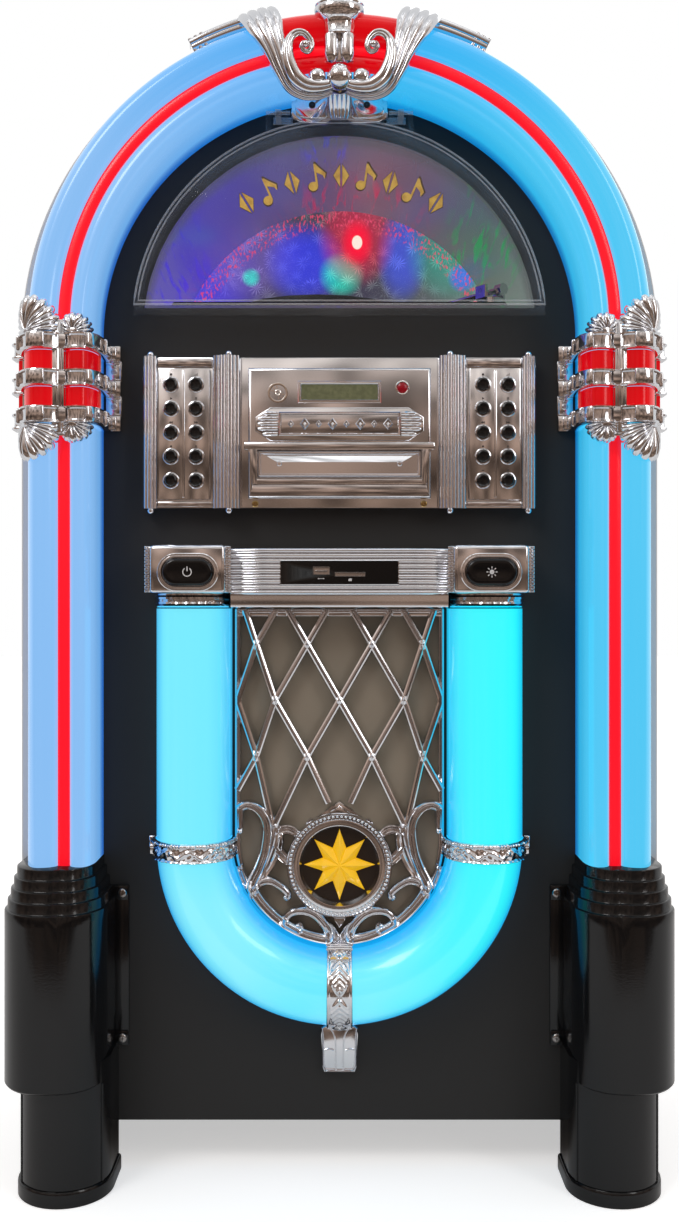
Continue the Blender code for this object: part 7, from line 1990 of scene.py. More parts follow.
@dataclass
class Collar:
    """The chrome clasp round each spring line: three toothed rings over red panels, a bar and scallop fans."""

    joint_z: float = 0.690
    pitch: float = 0.0308
    ring_half: float = 0.00725
    base: float = 0.0046
    tooth: float = 0.0080
    tooth_length: float = 0.0165
    tooth_space: float = 0.0095
    tooth_pull: float = 0.0026
    lip: float = 0.0145
    bar_half: float = 0.0055
    bar_low: float = 0.641
    bar_high: float = 0.739
    clearance: float = 0.0021
    light: LightArch = field(default_factory=LightArch)

    def line(self, distance: float) -> list[Point2]:
        """The tube's outline moved outwards, with a level run over the stripe, down to the baffle on both sides."""
        arch = self.light
        near, far = arch.stripe - 0.005, arch.stripe + 0.005
        inner = arch.lobe((arch.inner, arch.spring), ((arch.inner + near) / 2, arch.top), (near, arch.valley + 0.003))
        outer = arch.lobe((far, arch.valley + 0.003), ((far + arch.outer) / 2, arch.outer_top),
                          (arch.outer, arch.outer_spring))
        rise = [(arch.inner, 0.0), (arch.inner, 0.010), (arch.inner, 0.022)]
        fall = [(arch.outer, 0.020), (arch.outer, arch.lip + 0.001), (arch.outer + 0.001, arch.lip),
                (arch.flange, arch.lip), (arch.flange, arch.lip / 2), (arch.flange, 0.0)]
        return offset(rise + inner + outer + fall, distance)

    def teeth(self, wrap: Wrap, z: float) -> tuple[bmesh.types.BMesh, list[float]]:
        """One ring with raised lips, its teeth, and where the teeth are."""
        half, base = self.ring_half, self.base
        rim = [(z - half, 0.0002), (z - half, base), (z - half + 0.0008, base + 0.0012),
               (z - half + 0.0022, base + 0.0011),
               (z - half + 0.0030, base - 0.0008), (z, base - 0.0011), (z + half - 0.0030, base - 0.0008),
               (z + half - 0.0022, base + 0.0011), (z + half - 0.0008, base + 0.0012), (z + half, base),
               (z + half, 0.0002)]
        ring = wrap.bar(0.0003, wrap.length - 0.0003, rim, 0.0012)
        pitch = self.tooth_length + self.tooth_space
        count = int((wrap.length - self.tooth_space) / pitch)
        first = (wrap.length - count * pitch + self.tooth_space) / 2
        places = [first + i * pitch + self.tooth_pull for i in range(count)]
        shapes = [ring]
        for start in places:
            top, low = self.tooth, base - 0.0012
            section = [(z - half + 0.0004, low), (z - half + 0.0004, top - 0.0016), (z - half + 0.0010, top - 0.0004),
                       (z - half + 0.0022, top), (z + half - 0.0022, top), (z + half - 0.0010, top - 0.0004),
                       (z + half - 0.0004, top - 0.0016), (z + half - 0.0004, low)]
            shapes.append(wrap.bar(start, start + self.tooth_length - 2 * self.tooth_pull, section, 0.0014, 0.0011))
        return merged(*shapes), places

    def fan(self, wrap: Wrap, along: float, z: float, radius: float, up: int, ribs: int,
            tilt: float = 0.0) -> bmesh.types.BMesh:
        """A scallop shell bent round the tube.

        Args:
            wrap: The collar's line.
            along: Where its hub is along the line.
            z: The hub's height.
            radius: Its reach.
            up: 1 if it opens upwards, -1 if downwards.
            ribs: How many ribs it has.
            tilt: How far in radians it leans along the line.

        Returns:
            The closed shape.
        """
        rows, steps = [], ribs * 8
        for i in range(steps + 1):
            angle = math.pi * (0.02 + 0.96 * i / steps) + tilt
            wave = abs(math.sin(math.pi * ribs * i / steps))
            reach = radius * (0.90 + 0.10 * wave ** 0.7)
            loop = []
            for j in range(11):
                share = 0.07 + 0.93 * j / 10
                swell = math.sin(math.pi * min(share, 0.995) ** 1.3) ** 0.6
                lift = 0.0006 + (0.0012 + 0.0030 * wave ** 0.65) * (0.30 + 0.70 * swell) * (1.0 if j < 10 else 0.1)
                loop.append((share, lift + 0.0012 * swell))
            loop += [(1.0, 0.0002), (0.07, 0.0002)]
            rows.append([wrap.place(min(max(along + math.cos(angle) * reach * share, 0.0005), wrap.length - 0.0005),
                                    lift,
                                    z + up * max(math.sin(angle), 0.0) * reach * share, 0.004) for share,
                                    lift in loop])
        return grid(rows, around=True, caps=True)

    def hub(self, wrap: Wrap, along: float, z: float, up: int) -> bmesh.types.BMesh:
        """The boss at a shell's root."""
        rows = []
        for lift, radius in ((0.0, 0.0042), (0.0036, 0.0042), (0.0048, 0.0034), (0.0052, 0.0016), (0.0052, 0.0001)):
            rows.append([wrap.place(along + radius * math.cos(a), lift, z + up * radius * (0.5 + 0.5 * math.sin(a)),
                                    0.004)
                         for a in (2 * math.pi * k / 16 for k in range(16))])
        return grid(rows, around=True, caps=True)

    def bar(self, wrap: Wrap, middle: float) -> bmesh.types.BMesh:
        """The stepped upright bar over the stripe."""
        shapes = []
        for half, low, high, lift in ((self.bar_half, self.bar_low, self.bar_high, 0.0062),
                                      (self.bar_half * 0.62, self.bar_low + 0.002, self.bar_high - 0.002, 0.0074),
                                      (self.bar_half * 0.22, self.bar_low + 0.004, self.bar_high - 0.004, 0.0066)):
            rise = 0.0012
            section = [(-half, 0.0), (-half, lift - rise), (-half + rise * 0.4, lift - rise * 0.2),
                       (-half + rise, lift), (half - rise, lift), (half - rise * 0.4, lift - rise * 0.2),
                       (half, lift - rise), (half, 0.0)]
            if half < self.bar_half * 0.5:
                section = [(-half, 0.004), (-half, lift + 0.0006), (0.0, lift + 0.0013), (half, lift + 0.0006),
                           (half, 0.004)]
            centre = wrap.over(middle, 0.0)
            rows = []
            for z, pull in ((low, 1.0), (low + 0.0004, 0.3), (low + 0.0012, 0.0), (high - 0.0012, 0.0),
                            (high - 0.0004, 0.3), (high, 1.0)):
                rows.append([at(centre.x + across * (1 - 0.15 * pull), centre.y + out * (1 - 0.2 * pull), z)
                             for across, out in section])
            shapes.append(grid(rows, around=True, caps=True))
        return merged(*shapes)

    def flanges(self) -> bmesh.types.BMesh:
        """The framed screw plates that lie on the baffle between the rings, and the ring ends over them."""
        inner = self.light.inner - self.clearance
        shapes = []
        for step in (-1, 0):
            low = self.joint_z + step * self.pitch + self.ring_half - 0.0008
            high = self.joint_z + (step + 1) * self.pitch - self.ring_half + 0.0008
            shapes.append(block((inner - self.lip, inner - 0.0005), (0.0003, 0.0028), (low, high), 0.0005))
            for z in (low + 0.0017, high - 0.0017):
                shapes.append(block((inner - self.lip + 0.0006, inner - 0.0005), (0.001, 0.0040),
                                    (z - 0.0008, z + 0.0008),
                                    0.0005))
            shapes.append(block((inner - self.lip + 0.0002, inner - self.lip + 0.0018), (0.001, 0.0040), (low, high),
                                0.0005))
        for step in (-1, 0, 1):
            z = self.joint_z + step * self.pitch
            for reach, out, half in ((0.0138, 0.0058, 0.0068), (0.0100, 0.0098, 0.0058), (0.0058, 0.0150, 0.0048)):
                shapes.append(block((inner - reach, inner + 0.0015), (0.0003, out), (z - half, z + half), 0.0009))
        return merged(*shapes)

    def build(self) -> None:
        """Builds both collars, their fans, screws and red panels."""
        wrap = Wrap(self.line(self.clearance))
        middle = wrap.along_x(self.light.stripe)
        rings = [self.teeth(wrap, self.joint_z + step * self.pitch)[0] for step in (-1, 0, 1)]
        clasp = merged(*rings, self.bar(wrap, middle), self.flanges())
        high, low = self.joint_z + self.pitch + self.ring_half, self.joint_z - self.pitch - self.ring_half
        outer_hub, inner_hub = middle + 0.0315, middle - 0.0175
        fans = []
        for z, up in ((high - 0.0004, 1), (low + 0.0004, -1)):
            fans += [self.fan(wrap, outer_hub, z, 0.0325, up, 11), self.fan(wrap, inner_hub, z, 0.0175, up, 9),
                     self.hub(wrap, outer_hub, z, up), self.hub(wrap, inner_hub, z, up)]
        shells = merged(*fans)
        panel = []
        start, end = wrap.along_x(self.light.inner + 0.004) - 0.026, wrap.length - 0.014
        for step in (-1, 0):
            z0 = self.joint_z + step * self.pitch + self.ring_half + 0.0004
            z1 = self.joint_z + (step + 1) * self.pitch - self.ring_half - 0.0004
            panel.append(wrap.bar(start, end, [(z0, -0.0014), (z0, 0.0004), (z0 + 0.0006, 0.0010),
                                               (z1 - 0.0006, 0.0010),
                                               (z1, 0.0004), (z1, -0.0014)], 0.0015))
            for edge in (start + 0.001, middle - 0.0072, middle + 0.0072, end - 0.004):
                rows = [(z0 - 0.0006, 0.0004), (z0 - 0.0006, 0.0022), (z1 + 0.0006, 0.0022), (z1 + 0.0006, 0.0004)]
                clasp = merged(clasp, wrap.bar(edge - 0.0008, edge + 0.0008, rows, 0.0008))
        red = merged(*panel)
        x = self.light.inner - self.clearance - self.lip / 2 - 0.0004
        screws = [Spot(at(side.value * x, 0.0028,
                          self.joint_z + step * self.pitch / 2)) for side in Side for step in (-1, 1)]
        for name, shape, finish, replaced in (("collar_clasp", clasp, CHROME, ("left_collar", "right_collar")),
                                              ("collar_fans", shells, CHROME, ()),
                                              ("collar_panels", red, RED_GLOW, ("left_collar_insert",
                                                                                "right_collar_insert"))):
            piece(f"{name}_left", mirrored(shape.copy()), finish, Body.CABINET, replaced[:1])
            piece(f"{name}_right", shape, finish, Body.CABINET, replaced[1:])
        Scatter.make("collar_screws", screw_head(0.0029, 0.0012), screws, BRUSHED, Body.CABINET)


@dataclass
class Base:
    """The stepped shroud at each pillar's foot, the leg under it and the foot ring."""

    inner: float = 0.198
    outer: float = 0.285
    reach: float = 0.080
    foot_z: float = 0.095
    shoulder_z: float = 0.243
    corner: float = 0.034
    bulge: float = 0.006
    steps: int = 4
    step_height: float = 0.009
    step_inset: float = 0.0026
    leg: tuple[float, float, float, float] = (0.1955, 0.2725, 0.0735, 0.215)
    light: LightArch = field(default_factory=LightArch)

    def outline(self, inset: float, notch: float, count: int = 40) -> list[Point2]:
        """The shroud seen from above: rounded corners and a front of two scallops."""
        low, high = self.inner + inset, self.outer - inset
        reach, corner = self.reach - inset, self.corner - inset
        spring = reach - self.bulge - corner
        middle, half = (low + high) / 2, (high - low) / 2 - corner
        span, width = high - low, 0.010
        points = [(high, SEAT), (high, spring / 2)]
        points += arc((high - corner, spring), corner, 0, 90, count // 4)
        points += [(middle + half * (1 - 2 * i / 40), reach - self.bulge) for i in range(1, 40)]
        points += arc((low + corner, spring), corner, 90, 180, count // 4)
        points += [(low, spring / 2), (low, SEAT)]
        shaped = []
        for x, out in points:
            bow = self.bulge * max(0.0, 1 - ((x - middle) / (span / 2)) ** 2) * min(1.0, out / max(spring, 0.001))
            dip = notch * max(0.0, 1 - abs(x - self.light.stripe) / width) ** 1.5 if out > spring else 0.0
            shaped.append((x, out + bow - dip))
        return shaped

    def stepped(self) -> bmesh.types.BMesh:
        """The shroud with its rolled step edges, swept up from the foot."""
        rows = []

        def level(z: float, inset: float, notch: float) -> None:
            """Adds one row of points."""
            rows.append([at(x, out, z) for x, out in self.outline(inset, notch)])

        level(self.foot_z, 0.0030, 0.0)
        level(self.foot_z + 0.0006, 0.0012, 0.0)
        level(self.foot_z + 0.0022, 0.0, 0.0)
        level(self.foot_z + 0.050, 0.0, 0.0)
        level(self.shoulder_z - 0.030, 0.0, 0.0)
        level(self.shoulder_z - 0.010, 0.0, 0.0)
        for i in range(self.steps + 1):
            z = self.shoulder_z + i * self.step_height
            inset = i * self.step_inset
            notch = 0.0026
            level(z - 0.0014, inset, notch)
            level(z - 0.0005, inset + 0.0003, notch)
            level(z, inset + 0.0011, notch)
            if i < self.steps:
                level(z + 0.0002, inset + self.step_inset - 0.0004, notch)
                level(z + 0.0008, inset + self.step_inset, notch)
        return grid(rows, around=True, caps=True)

    def leg_line(self, grow: float, count: int = 28) -> list[Point2]:
        """The leg seen from above."""
        low, high, reach, _ = self.leg
        radius, centre = (high - low) / 2 + grow, (high + low) / 2
        spring = reach - (high - low) / 2
        points = [(centre + radius, SEAT), *arc((centre, spring), radius, 0, 180, count), (centre - radius, SEAT)]
        return points

    def build(self) -> None:
        """Builds both shrouds, legs, trims, rings, screw flanges and screws."""
        shroud = self.stepped()
        low, high, reach, _ = self.leg
        levels = [(0.0140, 0.0), (0.0150, 0.0), (self.foot_z + 0.020, 0.0)]
        leg = grid([[at(x, out, z) for x, out in self.leg_line(grow)] for z, grow in levels], around=True, caps=True)
        lip = 0.0022
        section = [(0.0006, 0.0), (0.0, 0.0008), (0.0, lip - 0.0008), (0.0008, lip), (0.0105, lip),
                   (0.0122, lip - 0.0003),
                   (0.0134, lip - 0.0011), (0.0138, -0.0006), (0.0138, -0.004)]
        ring = grid([[at(x, out, z) for x, out in self.leg_line(grow)] for z, grow in section], around=True,
                    caps=True)
        centre, radius, spring = (high + low) / 2, (high - low) / 2, reach - (high - low) / 2
        trims = []
        for turn in (math.radians(28), math.radians(152)):
            for shift, size in ((-0.028, 0.0006), (0.028, 0.0006), (0.0, 0.0009)):
                x = centre + (radius + 0.0001) * math.cos(turn + shift)
                out = spring + (radius + 0.0001) * math.sin(turn + shift)
                trims.append(tube([at(x, out, 0.0142), at(x, out, self.foot_z + 0.001)], [size, size], 8))
        edge = self.inner - 0.012
        flange = [block((edge, self.inner + 0.004), (SEAT, 0.0030), (0.110, 0.252), 0.0010)]
        flange += [block((edge + 0.0005, self.inner + 0.002), (0.002, 0.0044),
                         (0.1105 + k * 0.1280, 0.1235 + k * 0.1280),
                         0.0012) for k in (0, 1)]
        spots = [Spot(at(side.value * (edge + 0.0058), 0.0044, z)) for side in Side for z in (0.117, 0.245)]
        for name, shape, finish, nodes in (
                ("shroud", shroud, GLOSS, ("left_base_shroud", "right_base_shroud")),
                ("leg_post", leg, GLOSS, ("left_leg", "right_leg")),
                ("foot_ring", ring, GLOSS, ()), ("leg_trims", merged(*trims), GLOSS, ()),
                ("shroud_flange", merged(*flange), GLOSS, ())):
            piece(f"{name}_left", mirrored(shape.copy()), finish, Body.CABINET, nodes[:1])
            piece(f"{name}_right", shape, finish, Body.CABINET, nodes[1:])
        Scatter.make("shroud_screws", screw_head(0.0040, 0.0018), spots, DARK_CHROME, Body.CABINET)


DOUBLE_RIDGE: list[Point2] = [(-1.0, 0.0), (-1.0, 0.45), (-0.86, 0.80), (-0.62, 0.98), (-0.40, 0.86), (-0.20, 0.62),
                              (0.0, 0.55), (0.20, 0.62), (0.40, 0.86), (0.62, 0.98), (0.86, 0.80), (1.0, 0.45),
                              (1.0, 0.0)]
BAR_RIDGE: list[Point2] = [(-1.0, 0.0), (-1.0, 0.50), (-0.72, 0.90), (-0.38, 1.0), (0.0, 0.74), (0.38, 1.0),
                           (0.72, 0.90), (1.0, 0.50), (1.0, 0.0)]
LEAF_RIDGE: list[Point2] = [(-1.0, 0.0), (-1.0, 0.28), (-0.80, 0.62), (-0.55, 0.50), (-0.34, 0.78), (-0.14, 0.72),
                            (0.0, 1.0), (0.14, 0.72), (0.34, 0.78), (0.55, 0.50), (0.80, 0.62), (1.0, 0.28),
                            (1.0, 0.0)]
# The star is yellow plastic with no lamp behind it: its glow is painted light.
STAR_YELLOW_PAINTED_GLOW = LitPlastic("bright_yellow", colour=(0.95, 0.56, 0.01), shade=(0.90, 0.47, 0.006), light=0.35, body=0.85)
UMBER = MouldedPlastic("dark_umber", base=(0.020, 0.012, 0.008), fleck=(0.05, 0.04, 0.03), roughness=0.30, flecks=0.2)


def moulding(path: Sequence[Point2], widths: Sequence[float], base: float, rises: Sequence[float],
             profile: Sequence[Point2], closed: bool = False) -> bmesh.types.BMesh:
    """A shaped bar that lies on a plane facing the viewer.

    Args:
        path: (x, z) points along its centre.
        widths: Half its width at each point.
        base: How far in front of the baffle its back is.
        rises: Its height at each point.
        profile: Its closed section, as shares across and up.
        closed: Whether the last point joins the first.

    Returns:
        The closed shape.
    """
    rows = []
    for i, point in enumerate(path):
        before = path[i - 1] if i or closed else path[0]
        after = path[(i + 1) % len(path)] if i + 1 < len(path) or closed else path[-1]
        way = (Vector(after) - Vector(before)).normalized()
        across = Vector((way.y, -way.x))
        rows.append([at(point[0] + across.x * share * widths[i], base + up * rises[i],
                        point[1] + across.y * share * widths[i]) for share, up in profile])
    return grid(rows, around=True, along=closed, caps=not closed)


def scrolled(points: Sequence[tuple[float, float, float]], base: float, rise: float, profile: Sequence[Point2],
             centre: Point2, limit: float | None = None, steps: int = 5) -> bmesh.types.BMesh:
    """A smooth scroll through points that are given in millimetres from a centre.

    Args:
        points: (x, z, half width) in millimetres.
        base: How far in front of the baffle its back is.
        rise: Its height where its half width is 3 mm.
        profile: Its section.
        centre: The (x, z) that the points are measured from, in metres.
        limit: The furthest its line may be from the middle of the U, if it has to stay inside.
        steps: How finely it is rounded.

    Returns:
        The closed shape.
    """
    line, widths = [], []
    for x, z, width in smooth(points, steps):
        x, z = centre[0] + x / 1000, centre[1] + z / 1000
        if limit:
            middle = max(0.0, UTube().centre_z - z) if z < UTube().centre_z else 0.0
            reach = math.hypot(x, middle)
            if reach > limit:
                x, z = x * limit / reach, UTube().centre_z - middle * limit / reach if middle else z
        line.append((x, z))
        widths.append(width / 1000)
    return moulding(line, widths, base, [rise * (0.45 + 0.55 * min(1.0, width / 0.0035)) for width in widths],
                    profile)


@dataclass
class Grille:
    """The chrome lattice with its scrolls and medallion over the woven mesh."""

    half: float = 0.0918
    top: float = 0.496
    back: float = 0.0021
    rail_width: float = 0.0050
    rail_rise: float = 0.0090
    row_z: float = 0.465
    row_pitch: float = 0.0492
    half_pitch: float = 0.0283
    bar: float = 0.0035
    hub: tuple[float, float] = (0.0, 0.271)
    radius: float = 0.0462
    boldness: float = 1.75
    disc: float = 0.0335
    star: float = 0.0312
    limit: float = 0.0872

    def lattice(self) -> bmesh.types.BMesh:
        """The crossing bars, each through the crossings of the rows."""
        step, pitch, top, rail = self.half_pitch, self.row_pitch, self.row_z, self.half - self.rail_width / 2
        edge, high, low = (rail + 2 * step) / 2, self.top - 0.001, top - 3 * pitch
        lift = (high - top) / pitch
        lines = [
            [(step * (1 - lift), high), (step, top), (2 * step, top - pitch), (edge, top - 2 * pitch),
             (rail, top - 2.6 * pitch)],
            [(step * (1 + lift), high), (step, top), (0, top - pitch), (-step, top - 2 * pitch),
             (-2.03 * step, low - 0.25 * pitch)],
            [(edge - lift * step, high), (edge, top), (rail, top - pitch), (edge, top - 2 * pitch),
             (2.08 * step, low - 0.25 * pitch)],
            [(edge + lift * (rail - edge), high), (edge, top), (2 * step, top - pitch), (step, top - 2 * pitch),
             (0.34 * step, low + 0.17 * pitch)],
        ]
        shapes = []
        for line in lines:
            soft = [line[0]]
            for before, here, after in zip(line, line[1:], line[2:]):
                for share in (0.94, 1.06):
                    a, b, c = Vector(before), Vector(here), Vector(after)
                    soft.append(tuple(a.lerp(b, share) if share < 1 else b.lerp(c, share - 1)))
            soft.append(line[-1])
            shapes.append(moulding(soft, [self.bar] * len(soft), 0.0075, [0.0060] * len(soft), BAR_RIDGE))
        return both(merged(*shapes))

    def frame(self) -> bmesh.types.BMesh:
        """The rail round the lattice, with a raised inner lip."""
        inner = self.half - self.rail_width / 2
        line = [(inner, self.top - 0.0004), (inner, UTube().centre_z)]
        line += [(x, z) for x, z in arc((0, UTube().centre_z), inner, 0, -180, 64)][1:]
        line += [(-inner, self.top - 0.0004)]
        rail = moulding(line, [self.rail_width / 2] * len(line), self.back, [self.rail_rise] * len(line),
                        [(-1.0, 0.0), (-1.0, 0.72), (-0.72, 0.80), (-0.45, 0.98), (-0.1, 1.0), (0.2, 0.84),
                         (0.55, 0.80),
                         (0.80, 0.96), (1.0, 0.86), (1.0, 0.0)])
        head = block((-self.half + 0.001, self.half - 0.001), (self.back, self.back + 0.0088),
                     (self.top - 0.0066, self.top - 0.0002), 0.0008)
        lip = block((-self.half + 0.004, self.half - 0.004), (self.back, self.back + 0.0102),
                    (self.top - 0.0036, self.top - 0.0016), 0.0006)
        return merged(rail, head, lip)

    def scrolls(self) -> bmesh.types.BMesh:
        """The C-scrolls, leaves and curls on both sides of the medallion."""
        volute = [(86.6, 30.8, 1.3), (88.8, 28.6, 1.5), (91.2, 30.6, 1.8), (91.8, 38.0, 2.1), (90.0, 45.5, 2.3),
                  (86.0, 50.6, 2.5), (80.5, 52.8, 2.6), (73.8, 51.0, 2.7), (68.0, 45.4, 2.8), (64.4, 38.0, 3.0),
                  (63.2, 29.5, 3.2), (64.2, 19.5, 3.2), (66.4, 8.5, 3.2), (70.6, -3.0, 3.1), (75.4, -13.0, 3.0),
                  (78.6, -23.0, 3.0), (78.0, -35.0, 3.0), (73.5, -46.0, 3.0), (66.0, -56.0, 3.0), (55.0, -65.0, 3.0),
                  (41.0, -71.0, 3.0), (27.0, -73.0, 3.0), (14.5, -70.0, 2.9), (9.0, -63.5, 2.8), (10.5, -56.0, 2.7),
                  (15.6, -49.0, 2.6), (22.5, -42.8, 2.5), (32.0, -39.8, 2.4), (42.0, -41.4, 2.3), (47.2, -47.4, 2.1),
                  (45.8, -55.4, 1.9), (39.4, -59.4, 1.7), (33.6, -56.6, 1.5), (34.0, -51.8, 1.3), (37.8, -51.0, 1.1)]
        inner = [(78.0, -30.0, 2.0), (75.4, -22.0, 2.2), (70.0, -15.8, 2.3), (61.5, -13.6, 2.3), (53.5, -17.2, 2.2),
                 (47.6, -22.4, 2.0), (44.6, -26.8, 1.8), (46.6, -29.4, 1.4), (48.6, -27.6, 1.1)]
        leaf = [(55.6, 36.5, 1.6), (56.0, 31.0, 3.6), (57.4, 23.0, 5.2), (60.2, 12.5, 5.6), (64.4, 1.5, 4.8),
                (69.4, -9.0, 3.4), (74.2, -17.5, 2.0)]
        branch = [(56.8, 26.0, 2.4), (52.8, 29.4, 2.8), (47.0, 31.4, 2.6), (41.6, 30.2, 2.6), (37.4, 27.2, 2.0)]
        twig = [(58.6, 18.0, 2.2), (53.6, 11.6, 3.0), (48.0, 5.6, 2.8), (43.4, 1.8, 2.0)]
        curl = [(88.4, -5.2, 1.4), (86.2, -2.6, 1.6), (89.2, -0.6, 1.8), (91.6, -4.6, 1.9), (90.0, -10.4, 2.0),
                (85.6, -15.4, 2.1), (80.6, -19.6, 2.0)]
        stem = [(10.2, -52.0, 1.8), (5.4, -57.6, 2.0), (2.6, -63.6, 2.0), (3.4, -70.0, 2.2), (6.0, -76.0, 2.4)]
        shapes = []
        for points, rise, profile, base in (
                (volute, 0.0082, DOUBLE_RIDGE, 0.0068), (inner, 0.0072, DOUBLE_RIDGE, 0.0068),
                (leaf, 0.0068, LEAF_RIDGE, 0.0072), (branch, 0.0066, LEAF_RIDGE, 0.0070),
                (twig, 0.0064, LEAF_RIDGE, 0.0068), (curl, 0.0070, DOUBLE_RIDGE, 0.0066),
                (stem, 0.0070, DOUBLE_RIDGE, 0.0066)):
            bolder = [(x, z, width * self.boldness) for x, z, width in points]
            limit = self.limit if points is volute else 0.0905
            shapes.append(scrolled(bolder, base, rise, profile, self.hub, limit))
        return both(merged(*shapes))

    def tips(self) -> list[Spot]:
        """Where the scrolls end in small round bosses."""
        spots = []
        for x, z, size in ((0.0866, 0.0300, 1.0), (0.0368, -0.0528, 1.0), (0.0476, -0.0276, 0.8),
                           (0.0884, -0.0044, 0.8)):
            spots += [Spot(at(side.value * x, 0.0128, self.hub[1] + z), size=size) for side in Side]
        return spots

    def medallion(self) -> bmesh.types.BMesh:
        """The ring round the star."""
        top, edge = 0.0150, self.radius
        profile = [(self.disc - 0.0006, 0.0020), (self.disc - 0.0006, 0.0092), (self.disc, 0.0104),
                   (self.disc + 0.0016, top),
                   (self.disc + 0.0024, top + 0.0002), (self.disc + 0.0068, top - 0.0004),
                   (self.disc + 0.0076, top - 0.0016),
                   (edge - 0.0022, top - 0.0018), (edge - 0.0016, top - 0.0006), (edge - 0.0008, top - 0.0006),
                   (edge, top - 0.0018), (edge + 0.0002, 0.0060), (edge + 0.0002, 0.0021)]
        rows = [[at(x, out, z) for x, z in arc(self.hub, radius, 0, 360 - 360 / 96, 95)] for radius, out in profile]
        return grid(rows, around=True, along=True)

    def starry(self) -> bmesh.types.BMesh:
        """The eight-pointed star, with sharp ridges to its points."""
        shape = bmesh.new()
        x, z = self.hub
        base = 0.0078
        centre = shape.verts.new(at(x, base + 0.0060, z))
        rim, foot = [], []
        for i in range(16):
            angle = math.pi * i / 8 + math.pi / 2
            reach = self.star if i % 2 == 0 else self.star * 0.48
            out = base + (0.0014 if i % 2 == 0 else 0.0012)
            rim.append(shape.verts.new(at(x + reach * math.cos(angle), out, z + reach * math.sin(angle))))
            foot.append(shape.verts.new(at(x + reach * 1.01 * math.cos(angle), 0.0072,
                                           z + reach * 1.01 * math.sin(angle))))
        crest = []
        for i in range(0, 16, 2):
            angle = math.pi * i / 8 + math.pi / 2
            crest.append(shape.verts.new(at(x + self.star * 0.50 * math.cos(angle), base + 0.0056,
                                            z + self.star * 0.50 * math.sin(angle))))
        for k in range(8):
            tip, left, right = rim[2 * k], rim[(2 * k - 1) % 16], rim[2 * k + 1]
            shape.faces.new((tip, crest[k], right))
            shape.faces.new((tip, left, crest[k]))
            shape.faces.new((crest[k], centre, right))
            shape.faces.new((crest[k], left, centre))
        for i in range(16):
            j = (i + 1) % 16
            shape.faces.new((rim[i], rim[j], foot[j], foot[i]))
        shape.faces.new(foot)
        bmesh.ops.bevel(shape, geom=[edge for edge in shape.edges if centre not in edge.verts], offset=0.0004,
                        offset_type="OFFSET", segments=2, affect="EDGES", profile=0.5, clamp_overlap=True)
        return shape

    def crest(self) -> bmesh.types.BMesh:
        """The pointed crest over the medallion and the wedge below it."""
        x, z = self.hub
        right = [(21.0, 37.0), (19.8, 42.4), (13.4, 45.0), (11.0, 49.4), (6.4, 50.4), (4.2, 53.0), (0.0, 56.0)]
        outline = [(x + a / 1000, z + b / 1000) for a, b in right]
        outline += [(x - a / 1000, z + b / 1000) for a, b in reversed(right[:-1])]
        face = [(x + a * 0.78 / 1000, z + (b * 0.90 + 2.2) / 1000) for a, b in right]
        face += [(x - a * 0.78 / 1000, z + (b * 0.90 + 2.2) / 1000) for a, b in reversed(right[:-1])]
        wedge = [(x - 0.0085, z - 0.0400), (x + 0.0085, z - 0.0400), (x + 0.0040, z - 0.0490), (x, z - 0.0560),
                 (x - 0.0040, z - 0.0490)]
        shapes = [slab(outline, self.back, 0.0105, 0.0012), slab(face, 0.0090, 0.0128, 0.0009),
                  slab(wedge, self.back + 0.003, 0.0118, 0.0014)]
        for side in Side:
            fin = [(side.value * 21.0, 37.4, 0.9), (side.value * 24.6, 39.6, 1.5), (side.value * 27.8, 37.4, 1.6),
                   (side.value * 28.8, 33.6, 1.1)]
            shapes.append(scrolled(fin, 0.0066, 0.0078, DOUBLE_RIDGE, self.hub))
        return merged(*shapes)

    def build(self) -> None:
        """Builds the lattice, its ornaments, the medallion and the mesh behind them."""
        piece("grille_lattice", merged(self.frame(), self.lattice()), CHROME, Body.CABINET, ("grille",), sharp=28)
        piece("grille_scrolls", self.scrolls(), CHROME, Body.CABINET, sharp=40)
        piece("medallion_ring", merged(self.medallion(), self.crest()), CHROME, Body.CABINET)
        beads = []
        for i in range(72):
            angle = 2 * math.pi * (i + 0.5) / 72
            reach = self.radius - 0.0030
            beads.append(Spot(at(reach * math.cos(angle), 0.0136, self.hub[1] + reach * math.sin(angle))))
        Scatter.make("medallion_beads", dome(0.0014, 0.0013, 8, 3), beads, CHROME, Body.CABINET)
        Scatter.make("scroll_bosses", dome(0.0022, 0.0026, 14, 4), self.tips(), CHROME, Body.CABINET)
        ground = lathe([(0.00001, 0.0), (self.disc - 0.0002, 0.0), (self.disc - 0.0002, -0.004)], self.hub, 0.0070,
                       64)
        piece("medallion_ground", ground, UMBER, Body.CABINET)
        piece("star_look", self.starry(), STAR_YELLOW_PAINTED_GLOW, Body.CABINET, ("medallion_star",), sharp=12)
        refined("grille_mesh", MESH)


Heights = Callable[[float, float], float]


